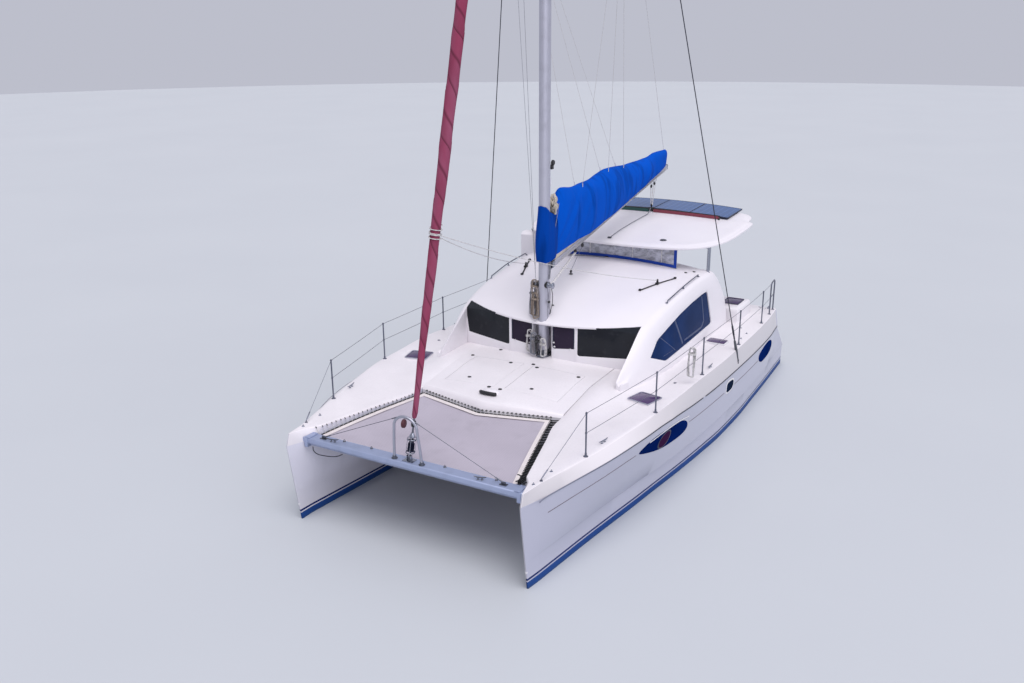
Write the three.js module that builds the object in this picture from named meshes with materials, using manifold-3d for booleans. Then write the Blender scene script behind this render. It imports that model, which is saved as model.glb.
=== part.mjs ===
// Sailing catamaran of 12 m, in millimetres.
// +X is to port, +Y is aft, +Z is up. The origin is on the centreline, at the waterline, amidships.
import * as THREE from "three";
import { mergeVertices } from "three/addons/utils/BufferGeometryUtils.js";
import Module from "manifold-3d";

const wasm = await Module();
wasm.setup();

// Gap between pieces that touch, and between a lid and the deck round it
const TOUCH = 0.3;
const SEAM = 6;

// Hull, port side. The starboard hull is its mirror image.
const STEM_X = 2212;
const STEM_HALF = 14;
const STEM_WATERLINE_Y = -5800;
const STEM_RUB_Y = -6010;
const STEM_DECK_Y = -5935;
const BOW_RUB_Z = 1425;
const BOW_DECK_Z = 1640;
const INNER_WALL_X = 1450;
const TUNNEL_TOP_Z = 740;
const CHINE_Z = 520;
const TRANSOM_Y = 6000;
// Each row: y, keel line z, waterline outer x, waterline inner x, rubbing strake x and z,
// deck edge z, deck inner x, deck inner z
const HULL_STATIONS = [
  [-5550, -190, 2262, 2202, 2298, 1417, 1640, 2015, 1640],
  [-5000, -330, 2318, 2160, 2388, 1407, 1640, 1866, 1645],
  [-4200, -430, 2402, 2098, 2482, 1393, 1642, 1650, 1655],
  [-3400, -490, 2497, 2042, 2592, 1379, 1646, 1455, 1662],
  [-2700, -520, 2585, 1990, 2712, 1367, 1650, INNER_WALL_X, 1757],
  [-2000, -545, 2662, 1940, 2846, 1355, 1655, INNER_WALL_X, 1850],
  [-1000, -560, 2780, 1870, 2952, 1337, 1668, INNER_WALL_X, 1860],
  [0, -560, 2876, 1818, 3012, 1320, 1680, INNER_WALL_X, 1740],
  [1000, -550, 2948, 1790, 3044, 1302, 1688, INNER_WALL_X, 1740],
  [2200, -510, 2966, 1782, 3058, 1281, 1690, INNER_WALL_X, 1740],
  [3200, -450, 2938, 1790, 3048, 1264, 1682, INNER_WALL_X, 1735],
  [4200, -360, 2912, 1810, 3010, 1246, 1666, INNER_WALL_X, 1725],
  [5100, -250, 2880, 1840, 2925, 1226, 1640, INNER_WALL_X, 1710],
  [5550, -190, 2862, 1860, 2905, 1210, 1625, INNER_WALL_X, 1705],
  [TRANSOM_Y, -130, 2845, 1880, 2890, 1190, 1610, INNER_WALL_X, 1700],
];
const DECK_EDGE_INSET = 66;
// Steps down to the water at each stern, each row: y of the riser, z of the tread
const STERN_STEPS = [
  [5110, 1190],
  [5400, 790],
  [5690, 390],
];
const STEP_X = [1920, 2790];

// Bridgedeck, cockpit floor and foredeck between the hulls
const BRIDGEDECK = { front: -860, aft: 5100, bottom: 745, top: 1080 };
// Foredeck over the centreline, each row: y, underside z, top z at the centre, top z at its sides
const FOREDECK_STATIONS = [
  [-3180, 1390, 1640, 1640],
  [-3120, 1180, 1745, 1700],
  [-2950, 960, 1795, 1725],
  [-2500, 800, 1850, 1785],
  [-2000, 750, 1895, 1850],
  [BRIDGEDECK.front - TOUCH, 745, 1930, 1862],
];
const FORE_EDGE_Y = -3180;
const FORE_EDGE_X = INNER_WALL_X - TOUCH;
const FOREDECK_APEX_Y = -3500;
const LOCKER = { x: [110, 1180], y: [-2850, -1720], depth: 520, lid: 30 };

// Coachroof, each row: y, roof z on the centreline, roof corner x and z, x at the base of the side
const ROOF_STATIONS = [
  [-1900, 2110, 1880, 1950, 1965],
  [-1600, 2350, 1895, 2150, 2055],
  [-1300, 2605, 1915, 2340, 2125],
  [-770, 2850, 1945, 2670, 2200],
  [-200, 2990, 1985, 2830, 2235],
  [500, 3095, 2030, 2940, 2245],
  [1200, 3165, 2060, 3015, 2250],
  [2000, 3205, 2080, 3050, 2250],
  [2450, 3215, 2085, 3040, 2250],
];
const CABIN_WALL = 60;
const CABIN_BASE_Z = 1500;
const BROW = { cornerX: 1865, cornerY: -770, centreY: -1290 };
const SIDE_WINDOW = [
  [-950, 2160],
  [-520, 2395],
  [0, 2510],
  [560, 2615],
  [1150, 2685],
  [1750, 2720],
  [2060, 2715],
  [2280, 1960],
  [-280, 1900],
];
const SIDE_WINDOW_MIDDLE = [700, 2330];
const WINDOW_EDGE = 24;
const GLASS = 8;

// Front wall of the saloon under the brow, in plan from the mast recess to the port end
const FRONT_WALL = [
  [0, -905],
  [190, -905],
  [205, -1205],
  [725, -1190],
  [1655, -1020],
  [1862, -965],
];
const FRONT_WALL_THICK = 40;
const FRONT_PANE = { x: [760, 1620], z: [2055, 2640] };
const FRONT_HATCH = { x: [250, 680], z: [2040, 2560] };

// Bulkhead and door between the saloon and the cockpit
const BULKHEAD_Y = 2300;
const DOOR = { x: [-420, 420], top: 2870, thick: 30 };

// Deck hatches on the hulls: name, centre x and y, half width, half length, turn in degrees, rim top z
const DECK_HATCHES = [
  ["fore_hatch", 2425, -1890, 230, 225, -13, 1740],
  ["aft_hatch", 2180, 3900, 190, 250, 0, 2032],
];
const HATCH = { rimWall: 34, lid: 14, well: 300 };

// Cockpit coamings on the hulls aft of the cabin
const COAMING = { x: [1480, 2440], y: [3420, 4380], z: 2010 };
const ENGINE_LID = { x: [2050, 2650], y: [4420, 5060], thick: 26, bayBottom: 330 };
const ENGINE = { x: [2130, 2570], y: [4480, 5000], top: 1010 };

// Rig
const MAST = { y: -1100, long: 220, wide: 150, clear: 12, foot: 1700, top: 18700 };
const SPREADER = { x: 1480, y: 180, z: 10600 };
const HOUNDS_Z = 16700;
const FORESTAY_TOP_Z = 17750;
const CHAINPLATE = [3036, 1640, 1425];
const STAY_R = 8;
// The forestay and furled jib lie on one line: y of it at height 0, and its run aft for each mm up
const FORESTAY = { y: -6041, slope: 0.2664, foot: 1545, drum: [1660, 1880], drumR: 75, swivelTop: 2190 };
// Furled jib, each row: height z, radius
const JIB = [
  [2260, 62],
  [3200, 76],
  [6200, 98],
  [9500, 104],
  [13000, 74],
  [16300, 34],
];
const GOOSENECK = { y: -940, z: [3615, 3680], pinR: 12, pin: [3578, 3717] };
const BOOM = { y: [-890, 5010], frontZ: [3575, 3725], slope: 0.19, halfWide: 62 };
// Stowed mainsail under its cover, each row: y, hem z, top z, half width
const SAIL_COVER = [
  [-800, 3702, 4740, 120],
  [-500, 3759, 5020, 175],
  [300, 3911, 5075, 225],
  [1300, 4101, 5105, 240],
  [2850, 4396, 5125, 215],
  [4290, 4669, 5225, 170],
  [4880, 4781, 5180, 110],
];
const APRON = { thick: 45, z: [3790, 4850], aftY: -1040 };
const MAST_WINCH = { reach: 245, z: 3349, y: -1190, r: 60 };

// Bow gear
const CROSSBEAM = { y: -5630, z: [1375, 1535], wide: 220, halfLong: 2016 };
const HOOP = { halfWide: 265, top: 2325, r: 24 };
const TRAMPOLINE = { thick: 12, foreZ: 1462, aftZ: 1596, foreX: 1900, aftX: 1310 };

// Cockpit roof
const HARDTOP = { middleY: 3560, z: 3560, thick: 90, crown: 60 };
// Port half of the hardtop outline: x, y from the front centre to the aft centre
const HARDTOP_OUTLINE = [
  [0, 1640],
  [900, 1680],
  [1500, 1790],
  [1950, 2060],
  [2230, 2520],
  [2350, 3200],
  [2370, 4560],
  [2240, 4940],
  [1900, 5330],
  [0, 5480],
];
// Posts under the hardtop: x, y, height where each starts inside what carries it
const POSTS = [
  [2030, 2400, 3020],
  [1200, 5040, 1900],
  [-1990, 2560, 3200],
  [-1200, 5040, 1900],
];
const POST_R = 30;
const WINDSCREEN = { x: 1500, y: 1960, thick: 6 };
const SOLAR = { x: 1800, y: [4330, 5430], thick: 35, foot: 60 };
const TRAVELLER = { x: 1650, y: 4210, wide: 60, top: 3765 };

// Helm station on the starboard side, and the cockpit
const CONSOLE = { x: [-2480, -1500], y: [2405, 2800], top: 3450 };
const WHEEL = { x: -1780, y: 2890, z: 2780, r: 390, rim: 16, spokes: 5, shaftR: 20 };
const HELM_SEAT = { x: [-1970, -1490], y: [3560, 3980], seat: 2480, back: 2850 };
const BENCH = { y: [4450, 5095], seat: 1500, back: 1950 };
const SIDE_SEAT = { x: [930, 1449], y: [2750, 4440], seat: 1500 };
const TABLE = { x: [150, 760], y: [3050, 4050], top: 1790 };
const CUSHION = 80;
const SOFA = { x: [-1300, 1300], y: [-840, -250], seat: 1480 };

// Lifelines, each row: y of a stanchion, its distance inboard of the deck edge
const STANCHIONS = [
  [-4290, 24],
  [-2150, 56],
  [-100, 72],
  [1950, 72],
  [3700, 72],
];
const LIFELINE = { high: 740, low: 390, tubeR: 13, wireR: 5, bow: [-5400, 60] };
const PUSHPIT = [
  [4520, 72],
  [4990, 72],
];

// Swim ladder folded up on the port transom, hinged on a rod in two pairs of lugs
const LADDER = { x: [2180, 2560], y: 6020, hingeZ: 330, top: 990, r: 13, rungs: 4, pinR: 8 };
const LUG = { wide: 12, reach: 16, off: 26 };

// Under water
const KEEL = { x: 2330, y: [-1150, 1750], top: -470, bottom: -1250, thick: 260 };
const RUDDER = { x: 2360, stockY: 5300, stockR: 30, chord: [5130, 5560], z: [-1080, -268], thick: 90 };
const DRIVE = { x: 2350, y: 3860, shaftZ: -640, propellerY: 4130, propellerR: 215, shaftR: 14 };

// Finishes: colour, roughness, metalness
const FINISH = {
  gelcoat: [0xf1f0ee, 0.28, 0],
  hull: [0xeceaf0, 0.25, 0],
  glass: [0x1d2733, 0.08, 0],
  tinted: [0x4a2c5e, 0.1, 0],
  alloy: [0xb3b5bb, 0.35, 0.8],
  steel: [0xc5c8cc, 0.22, 0.9],
  sail: [0x9c3349, 0.85, 0],
  canvas: [0x0a4ac4, 0.8, 0],
  net: [0xc9c1c8, 0.9, 0],
  dark: [0x22252c, 0.5, 0.1],
  antifouling: [0x16397e, 0.7, 0],
  bronze: [0xa98752, 0.4, 0.8],
  vinyl: [0xcfd4da, 0.1, 0],
  cushion: [0xd9d4c8, 0.8, 0],
  panel: [0x27406f, 0.2, 0.1],
  engine: [0x6d7278, 0.5, 0.4],
};

// Geometry helpers

function signedVolume(geometry) {
  const position = geometry.attributes.position;
  const index = geometry.index;
  const a = new THREE.Vector3();
  const b = new THREE.Vector3();
  const c = new THREE.Vector3();
  let total = 0;
  for (let i = 0; i < index.count; i += 3) {
    a.fromBufferAttribute(position, index.getX(i));
    b.fromBufferAttribute(position, index.getX(i + 1));
    c.fromBufferAttribute(position, index.getX(i + 2));
    total += a.dot(b.cross(c)) / 6;
  }
  return total;
}

function bareMerged(geometry) {
  const bare = geometry.clone();
  bare.deleteAttribute("normal");
  bare.deleteAttribute("uv");
  return mergeVertices(bare, 1e-3);
}

// A closed body from rings of the same number of points, its ends closed by fans
function loft(rings) {
  const count = rings[0].length;
  const points = rings.flat();
  const faces = [];
  for (let r = 0; r < rings.length - 1; r += 1) {
    for (let i = 0; i < count; i += 1) {
      const j = (i + 1) % count;
      const low = r * count;
      const high = low + count;
      faces.push(low + i, low + j, high + j, low + i, high + j, high + i);
    }
  }
  const last = (rings.length - 1) * count;
  for (const [ring, start, flip] of [[rings[0], 0, true], [rings.at(-1), last, false]]) {
    const centre = [0, 1, 2].map((k) => ring.reduce((sum, p) => sum + p[k], 0) / count);
    const hub = points.push(centre) - 1;
    for (let i = 0; i < count; i += 1) {
      const j = (i + 1) % count;
      faces.push(hub, start + (flip ? j : i), start + (flip ? i : j));
    }
  }
  const geometry = new THREE.BufferGeometry();
  geometry.setAttribute("position", new THREE.Float32BufferAttribute(points.flat(), 3));
  geometry.setIndex(faces);
  if (signedVolume(geometry) < 0) {
    for (let i = 0; i < faces.length; i += 3) {
      [faces[i + 1], faces[i + 2]] = [faces[i + 2], faces[i + 1]];
    }
    geometry.setIndex(faces);
  }
  return geometry;
}

function solid(geometry) {
  const merged = bareMerged(geometry);
  const vertProperties = new Float32Array(merged.attributes.position.array);
  const triVerts = new Uint32Array(merged.index.array);
  return new wasm.Manifold(new wasm.Mesh({ numProp: 3, vertProperties, triVerts }));
}

function geometryOf(manifold) {
  const mesh = manifold.getMesh();
  const geometry = new THREE.BufferGeometry();
  geometry.setAttribute("position", new THREE.Float32BufferAttribute(mesh.vertProperties, mesh.numProp));
  geometry.setIndex([...mesh.triVerts]);
  return geometry;
}

function join(parts) {
  return parts.reduce((whole, part) => whole.add(part));
}

function cut(body, tools) {
  return tools.reduce((rest, tool) => rest.subtract(tool), body);
}

function block(x, y, z) {
  const box = new THREE.BoxGeometry(x[1] - x[0], y[1] - y[0], z[1] - z[0]);
  return solid(box.translate((x[0] + x[1]) / 2, (y[0] + y[1]) / 2, (z[0] + z[1]) / 2));
}

// A plate of a plan outline [x, y], from a low z to a high z
function plate(outline, low, high) {
  const shape = new THREE.Shape(outline.map(([x, y]) => new THREE.Vector2(x, y)));
  const geometry = new THREE.ExtrudeGeometry(shape, { depth: high - low, bevelEnabled: false });
  return solid(geometry.translate(0, 0, low));
}

// A prism of a side outline [y, z], from a low x to a high x
function sidePrism(outline, low, high) {
  const shape = new THREE.Shape(outline.map(([y, z]) => new THREE.Vector2(y, z)));
  const geometry = new THREE.ExtrudeGeometry(shape, { depth: high - low, bevelEnabled: false });
  geometry.rotateX(Math.PI / 2);
  geometry.rotateZ(Math.PI / 2);
  return solid(geometry.translate(low, 0, 0));
}

// A round rod between two points
function rod(from, to, radius, sides = 8, endRadius = radius) {
  const start = new THREE.Vector3(...from);
  const end = new THREE.Vector3(...to);
  const span = end.clone().sub(start);
  const geometry = new THREE.CylinderGeometry(endRadius, radius, span.length(), sides, 1);
  const cylinderAxis = new THREE.Vector3(0, 1, 0);
  geometry.applyQuaternion(new THREE.Quaternion().setFromUnitVectors(cylinderAxis, span.normalize()));
  const middle = start.add(end).multiplyScalar(0.5);
  return solid(geometry.translate(middle.x, middle.y, middle.z));
}

// Radius of a faceted bore in which a rod of the same number of sides can turn
function boreRadius(radius, sides) {
  return (radius + TOUCH) / Math.cos(Math.PI / sides);
}

function mirrored(manifold) {
  return manifold.mirror([1, 0, 0]);
}

function moved(manifold, x, y, z) {
  return manifold.translate([x, y, z]);
}

function mirrorOutline(half) {
  const other = half.filter(([x]) => x > 0).reverse();
  return [...half, ...other.map(([x, y]) => [-x, y])];
}

function lerp(a, b, t) {
  return a + (b - a) * t;
}

// The value of a column of a table at y
function along(table, y, column) {
  const last = table.length - 1;
  let row = 0;
  while (row < last - 1 && table[row + 1][0] < y) {
    row += 1;
  }
  const [low, high] = [table[row], table[row + 1]];
  const t = Math.min(Math.max((y - low[0]) / (high[0] - low[0]), 0), 1);
  return lerp(low[column], high[column], t);
}

// Hulls

function stemY(z) {
  if (z > BOW_RUB_Z) {
    return lerp(STEM_RUB_Y, STEM_DECK_Y, (z - BOW_RUB_Z) / (BOW_DECK_Z - BOW_RUB_Z));
  }
  if (z >= 0) {
    return lerp(STEM_WATERLINE_Y, STEM_RUB_Y, z / BOW_RUB_Z);
  }
  return STEM_WATERLINE_Y - z * 0.9;
}

// The deck edge stands inboard of the rubbing strake
function deckEdgeX(rubX, deckIn) {
  return rubX - Math.min(DECK_EDGE_INSET, (rubX - deckIn) * 0.2);
}

function hullRing([y, keelZ, outer, inner, rubX, rubZ, edgeZ, deckIn, inZ]) {
  const keelX = (outer + inner) / 2;
  const edgeX = deckEdgeX(rubX, deckIn);
  const overBridge = y > -3000;
  const chineIn = lerp(inner, deckIn, overBridge ? 0.05 : 0.22);
  const wallX = overBridge ? INNER_WALL_X + 2 : lerp(inner, deckIn, 0.62);
  return [
    [keelX, y, keelZ],
    [lerp(keelX, outer, 0.55), y, keelZ * 0.88],
    [lerp(keelX, outer, 0.88), y, keelZ * 0.5],
    [outer, y, 0],
    [lerp(outer, rubX, 0.2), y, CHINE_Z - 60],
    [lerp(outer, rubX, 0.62), y, CHINE_Z],
    [rubX - 6, y, rubZ - 40],
    [rubX, y, rubZ],
    [edgeX, y, edgeZ - 16],
    [edgeX - 26, y, edgeZ],
    [lerp(edgeX, deckIn, 0.52), y, lerp(edgeZ, inZ, 0.22)],
    [lerp(edgeX, deckIn, 0.76), y, lerp(edgeZ, inZ, 0.9)],
    [deckIn + 24, y, inZ],
    [deckIn, y, inZ - 24],
    [overBridge ? deckIn : lerp(inner, deckIn, 0.8), y, 1080],
    [wallX, y, TUNNEL_TOP_Z],
    [chineIn, y, CHINE_Z],
    [inner, y, 0],
    [lerp(keelX, inner, 0.88), y, keelZ * 0.5],
    [lerp(keelX, inner, 0.55), y, keelZ * 0.88],
  ];
}

// The stem has the points of a hull ring at its heights: the outer side, the deck, then the inner side
function stemRing() {
  const heights = hullRing([0, -150, 0, 0, 0, BOW_RUB_Z, BOW_DECK_Z, 0, BOW_DECK_Z]).map(([, , z]) => z);
  return heights.map((z, i) => {
    const onOuter = i > 0 && i < 10;
    const onInner = i >= 13;
    const side = (onOuter ? STEM_HALF : 0) - (onInner ? STEM_HALF : 0);
    return [STEM_X + side, stemY(z), z];
  });
}

function hullBody() {
  const rings = [stemRing(), ...HULL_STATIONS.map(hullRing)];
  let body = solid(loft(rings));
  for (const [y, z] of STERN_STEPS) {
    const full = y === STERN_STEPS[0][0];
    const x = full ? [1000, 3200] : STEP_X;
    body = body.subtract(block(x, [y, TRANSOM_Y + 10], [z, 2200]));
  }
  const outerSlope = [
    [5110, 1190],
    [TRANSOM_Y + 10, 460],
    [TRANSOM_Y + 10, 1200],
  ];
  return body.subtract(sidePrism(outerSlope, 1000, 3200));
}

const plainHull = hullBody();

function hatchOutline([, x, y, halfX, halfY, turn], grow) {
  const angle = THREE.MathUtils.degToRad(turn);
  const [cos, sin] = [Math.cos(angle), Math.sin(angle)];
  const corners = [[-1, -1], [1, -1], [1, 1], [-1, 1]];
  return corners.map(([u, v]) => {
    const dx = u * (halfX + grow);
    const dy = v * (halfY + grow);
    return [x + dx * cos - dy * sin, y + dx * sin + dy * cos];
  });
}

function hatchRim(row) {
  const top = row[6];
  return plate(hatchOutline(row, 0), top - 130, top);
}

function hatchWell(row) {
  const top = row[6];
  return plate(hatchOutline(row, -HATCH.rimWall), top - HATCH.well, top + 10);
}

function hatchLid(row) {
  const top = row[6];
  return plate(hatchOutline(row, 4), top + TOUCH, top + TOUCH + HATCH.lid);
}

// The raised coaming beside the cockpit, with its upper edges rounded
function coaming() {
  const { x, y, z } = COAMING;
  const corners = [[x[0], y[0]], [x[1], y[0]], [x[1], y[1]], [x[0], y[1]]];
  const ring = (by, height) => corners.map(([px, py]) => [
    px === x[0] ? px : px - by,
    py === y[0] ? py : py - by,
    height,
  ]);
  return solid(loft([ring(0, 1500), ring(0, z - 60), ring(20, z - 14), ring(60, z)]));
}

function inset([low, high], by) {
  return [low + by, high - by];
}

// Cuts a bay with a ledge under a flush lid, and gives back the body and the lid
function withLid(body, skin, x, y, bottom, thick) {
  const bay = block(x, y, [bottom, 2500]);
  const seat = moved(skin, 0, 0, -thick - TOUCH);
  const frame = cut(block(x, y, [1400, 2500]), [block(inset(x, 30), inset(y, 30), [1300, 2600])]);
  const shelf = frame.intersect(seat).intersect(block([-4000, 4000], [-7000, 7000], [1540, 2500]));
  const lid = skin.intersect(block(inset(x, SEAM), inset(y, SEAM), [1400, 2500]));
  return [body.subtract(bay).add(shelf), lid.subtract(moved(skin, 0, 0, -thick))];
}

function hullAndLid() {
  const { stockY, stockR } = RUDDER;
  const bore = rod([RUDDER.x, stockY, -600], [RUDDER.x, stockY, 150], boreRadius(stockR, 16), 16);
  const { x, y, bayBottom, thick } = ENGINE_LID;
  const [bayed, lid] = withLid(plainHull, plainHull, x, y, bayBottom, thick);
  const rimmed = join([bayed, coaming(), ...DECK_HATCHES.map(hatchRim)]);
  return [cut(rimmed, [...DECK_HATCHES.map(hatchWell), bore]), lid];
}

// Bridgedeck and foredeck

function bridgedeck() {
  const { front, aft, bottom, top } = BRIDGEDECK;
  const side = INNER_WALL_X - TOUCH;
  return block([-side, side], [front, aft], [bottom, top]);
}

function foredeckRing([y, low, centre, edge]) {
  const side = INNER_WALL_X - TOUCH;
  const point = (x) => {
    const reach = Math.max(0, 1 - Math.abs(x) / FORE_EDGE_X);
    const fade = THREE.MathUtils.clamp((-2500 - y) / 600, 0, 1);
    return [x, y - (FORE_EDGE_Y - FOREDECK_APEX_Y) * reach * fade];
  };
  const across = [-1, -0.72, -0.4, 0, 0.4, 0.72, 1].map((t) => t * side);
  const top = across.map((x) => [...point(x), lerp(centre, edge, (x / side) ** 2)]);
  const under = [...across].reverse().map((x) => [...point(x), low]);
  return [...top, ...under];
}

function foredeckAndLids() {
  const plain = solid(loft(FOREDECK_STATIONS.map(foredeckRing)));
  const { x, y, depth, lid } = LOCKER;
  const [onePocket, portLid] = withLid(plain, plain, x, y, 1900 - depth, lid);
  const [both, otherLid] = withLid(onePocket, plain, [-x[1], -x[0]], y, 1900 - depth, lid);
  return [both, portLid, otherLid];
}

// Coachroof

function roofRing([y, crown, cornerX, cornerZ, baseX], wall) {
  const base = baseX - wall;
  const corner = cornerX - wall * 0.7;
  const high = crown - wall;
  const low = cornerZ - wall;
  const shoulder = corner + (base - corner) * 0.42;
  const across = [1, 0.72, 0.4, 0, -0.4, -0.72, -1];
  const roof = across.map((t) => [t * corner, y, high - (high - low) * t * t]);
  const side = (sign) => [
    [sign * base, y, CABIN_BASE_Z],
    [sign * lerp(base, corner, 0.12), y, Math.min(1900, low - 20)],
    [sign * shoulder, y, low - Math.min(150, (low - 1700) * 0.4)],
  ];
  return [...side(1), ...roof, ...side(-1).reverse()];
}

function browCut() {
  const { cornerX, cornerY, centreY } = BROW;
  const arc = [-1, -0.75, -0.5, -0.25, 0, 0.25, 0.5, 0.75, 1].map((t) => [
    t * cornerX,
    lerp(centreY, cornerY, t * t),
  ]);
  return plate([[-cornerX, -3000], ...arc, [cornerX, -3000]].reverse(), CABIN_BASE_Z - 100, 4000);
}

// The outline of a side window, grown away from its middle, as a prism through the cabin side
function sideWindow(grow, low, high) {
  const outline = SIDE_WINDOW.map(([y, z]) => {
    const dy = y - SIDE_WINDOW_MIDDLE[0];
    const dz = z - SIDE_WINDOW_MIDDLE[1];
    const reach = Math.hypot(dy, dz);
    return [y + (dy / reach) * grow, z + (dz / reach) * grow];
  });
  return sidePrism(outline, low, high);
}

// The cabin sides run on past the bulkhead and slope down to the side decks
function wingSlope(low, high) {
  const outline = [
    [2250, 3400],
    [2450, 3060],
    [2590, 2945],
    [2900, 2640],
    [3180, 2240],
    [3330, 1500],
    [5200, 1500],
    [5200, 3400],
  ];
  return sidePrism(outline, low, high);
}

const cabinOuter = solid(loft([
  ...ROOF_STATIONS.map((row) => roofRing(row, 0)),
  roofRing([3360, ...ROOF_STATIONS.at(-1).slice(1)], 0),
]));
const cabinInner = solid(loft([
  ...ROOF_STATIONS.slice(3).map((row) => roofRing(row, CABIN_WALL)),
  roofRing([3500, ...ROOF_STATIONS.at(-1).slice(1)], CABIN_WALL),
]));

// The hollow under the brow runs forward between the arch legs
const underBrow = solid(loft(ROOF_STATIONS.slice(0, 5).map((row) => roofRing(row, CABIN_WALL)))).intersect(
  block([-BROW.cornerX, BROW.cornerX], [-2500, -300], [1000, 3500]),
);

function coachroof(deck) {
  const [halfWide, halfLong] = [MAST.wide / 2 + MAST.clear, MAST.long / 2 + MAST.clear];
  const mastHole = block([-halfWide, halfWide], [MAST.y - halfLong, MAST.y + halfLong], [2300, 3300]);
  const roofEnd = block([-1900, 1900], [2400, 3600], [1400, 3600]);
  const starboardEnd = block([-3000, -1200], [2400, 3600], [1400, 3600]);
  const windows = [sideWindow(0, 1700, 2600), sideWindow(0, -2600, -1700)];
  const ends = [roofEnd, starboardEnd, wingSlope(1200, 3000)];
  return cut(cabinOuter, [cabinInner, underBrow, browCut(), mastHole, ...ends, ...windows, deck]);
}

function sidePane(side) {
  const skin = cabinOuter.subtract(moved(cabinOuter, -GLASS, 0, 0));
  const pane = skin.intersect(sideWindow(-TOUCH, 1700, 2600));
  const placed = moved(pane, -WINDOW_EDGE, 0, 0);
  return side > 0 ? placed : mirrored(placed);
}

// Front wall with its panes and hatches

function wallPlan(offset) {
  const port = FRONT_WALL.map(([x, y]) => [x, y + offset]);
  return [...port.slice(1).reverse().map(([x, y]) => [-x, y]), ...port];
}

function frontWallBody(low, high) {
  const outer = wallPlan(0);
  const inner = wallPlan(FRONT_WALL_THICK).reverse();
  return plate([...outer, ...inner], low, high);
}

function frontOpening({ x, z }, side, grow) {
  const [low, high] = [x[0] - grow, x[1] + grow];
  return block(side > 0 ? [low, high] : [-high, -low], [-1500, -940], [z[0] - grow, z[1] + grow]);
}

function frontWall(deck) {
  const { cornerX } = BROW;
  const between = block([-cornerX + TOUCH, cornerX - TOUCH], [-2500, -300], [1000, 3500]);
  const roofLimit = moved(underBrow, 0, 0, -TOUCH).intersect(between);
  const openings = [1, -1].flatMap((side) => [
    frontOpening(FRONT_PANE, side, 0),
    frontOpening(FRONT_HATCH, side, 0),
  ]);
  return cut(frontWallBody(1700, 2900).intersect(roofLimit), [...openings, deck]);
}

function frontGlass(opening, side) {
  const wall = plate([...wallPlan(16), ...wallPlan(16 + GLASS).reverse()], 1900, 2900);
  return wall.intersect(frontOpening(opening, side, -TOUCH)).intersect(moved(underBrow, 0, 0, -TOUCH));
}

// Bulkhead and door

function bulkhead(deck) {
  const thick = CABIN_WALL;
  const slab = block([-2300, 2300], [BULKHEAD_Y, BULKHEAD_Y + thick], [1000, 3400]);
  const inside = cabinInner.intersect(moved(cabinInner, 0, 0, -TOUCH));
  const opening = block(DOOR.x, [BULKHEAD_Y - 50, BULKHEAD_Y + 200], [BRIDGEDECK.top + 80, DOOR.top]);
  return cut(slab.intersect(inside), [opening, deck]);
}

function door() {
  const y = BULKHEAD_Y + CABIN_WALL + 5;
  const z = [BRIDGEDECK.top + TOUCH, DOOR.top + 30];
  return block([DOOR.x[0] - 40, DOOR.x[1] + 40], [y, y + DOOR.thick], z);
}

// Rig

function stayPoint(z) {
  return [0, FORESTAY.y + FORESTAY.slope * z, z];
}

function ellipseRing([x, y, z], halfX, halfY, sides) {
  return Array.from({ length: sides }, (_, i) => {
    const angle = (i / sides) * Math.PI * 2;
    return [x + halfX * Math.cos(angle), y + halfY * Math.sin(angle), z];
  });
}

function mastTube(grow, low, high) {
  const { y, wide, long } = MAST;
  const ring = (z) => ellipseRing([0, y, z], wide / 2 + grow, long / 2 + grow, 20);
  return solid(loft([ring(low), ring(high)]));
}

function shroudRods(radius) {
  const tip = [SPREADER.x, SPREADER.y, SPREADER.z];
  return rod(CHAINPLATE, tip, radius, 6).add(rod(tip, [40, MAST.y, HOUNDS_Z], radius, 6));
}

function mast(deck) {
  const { z, x, y } = SPREADER;
  const spreader = rod([0, MAST.y, z + 20], [x + 10, y - 6, z], 26, 8, 16);
  const winchAt = (out) => [out, MAST_WINCH.y, MAST_WINCH.z];
  const winch = rod(winchAt(0), winchAt(MAST_WINCH.reach), MAST_WINCH.r, 12);
  const stayTop = stayPoint(FORESTAY_TOP_Z);
  const tang = block([-14, 14], [stayTop[1] - 30, MAST.y], [stayTop[2], stayTop[2] + 90]);
  const tongue = block([-28, 28], [MAST.y, GOOSENECK.y + 25], GOOSENECK.z);
  const [pinLow, pinHigh] = GOOSENECK.pin;
  const pin = rod([0, GOOSENECK.y, pinLow], [0, GOOSENECK.y, pinHigh], GOOSENECK.pinR, 12);
  const pairs = [spreader, mirrored(spreader), winch, mirrored(winch)];
  const whole = join([mastTube(0, MAST.foot, MAST.top), ...pairs, tang, tongue, pin]);
  const stays = shroudRods(STAY_R + TOUCH);
  return cut(whole, [deck, stays, mirrored(stays)]);
}

function shroud(hullSolid) {
  const [x, y, z] = CHAINPLATE;
  const plateBar = block([x - 60, x + 8], [y - 28, y + 28], [z - 40, z + 50]);
  return cut(shroudRods(STAY_R).add(plateBar), [
    moved(hullSolid, 0, 0, TOUCH), moved(hullSolid, TOUCH, 0, 0), mastTube(TOUCH, 16000, 18000),
  ]);
}

function furler(beam) {
  const { foot, drum, drumR, swivelTop } = FORESTAY;
  const whole = join([
    rod(stayPoint(foot - 40), stayPoint(swivelTop), 26, 10),
    rod(stayPoint(drum[0]), stayPoint(drum[1]), drumR, 12),
  ]);
  return whole.subtract(moved(beam, 0, 0, TOUCH));
}

function furledJib() {
  const start = FORESTAY.swivelTop + 7.2;
  const rows = [[start, 30], ...JIB, [JIB.at(-1)[0] + 60, STAY_R]];
  const rings = rows.map(([z, r]) => ellipseRing(stayPoint(z), r, r, 12));
  const end = ellipseRing(stayPoint(FORESTAY_TOP_Z - TOUCH), STAY_R, STAY_R, 12);
  return solid(loft([...rings, end]));
}

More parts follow.
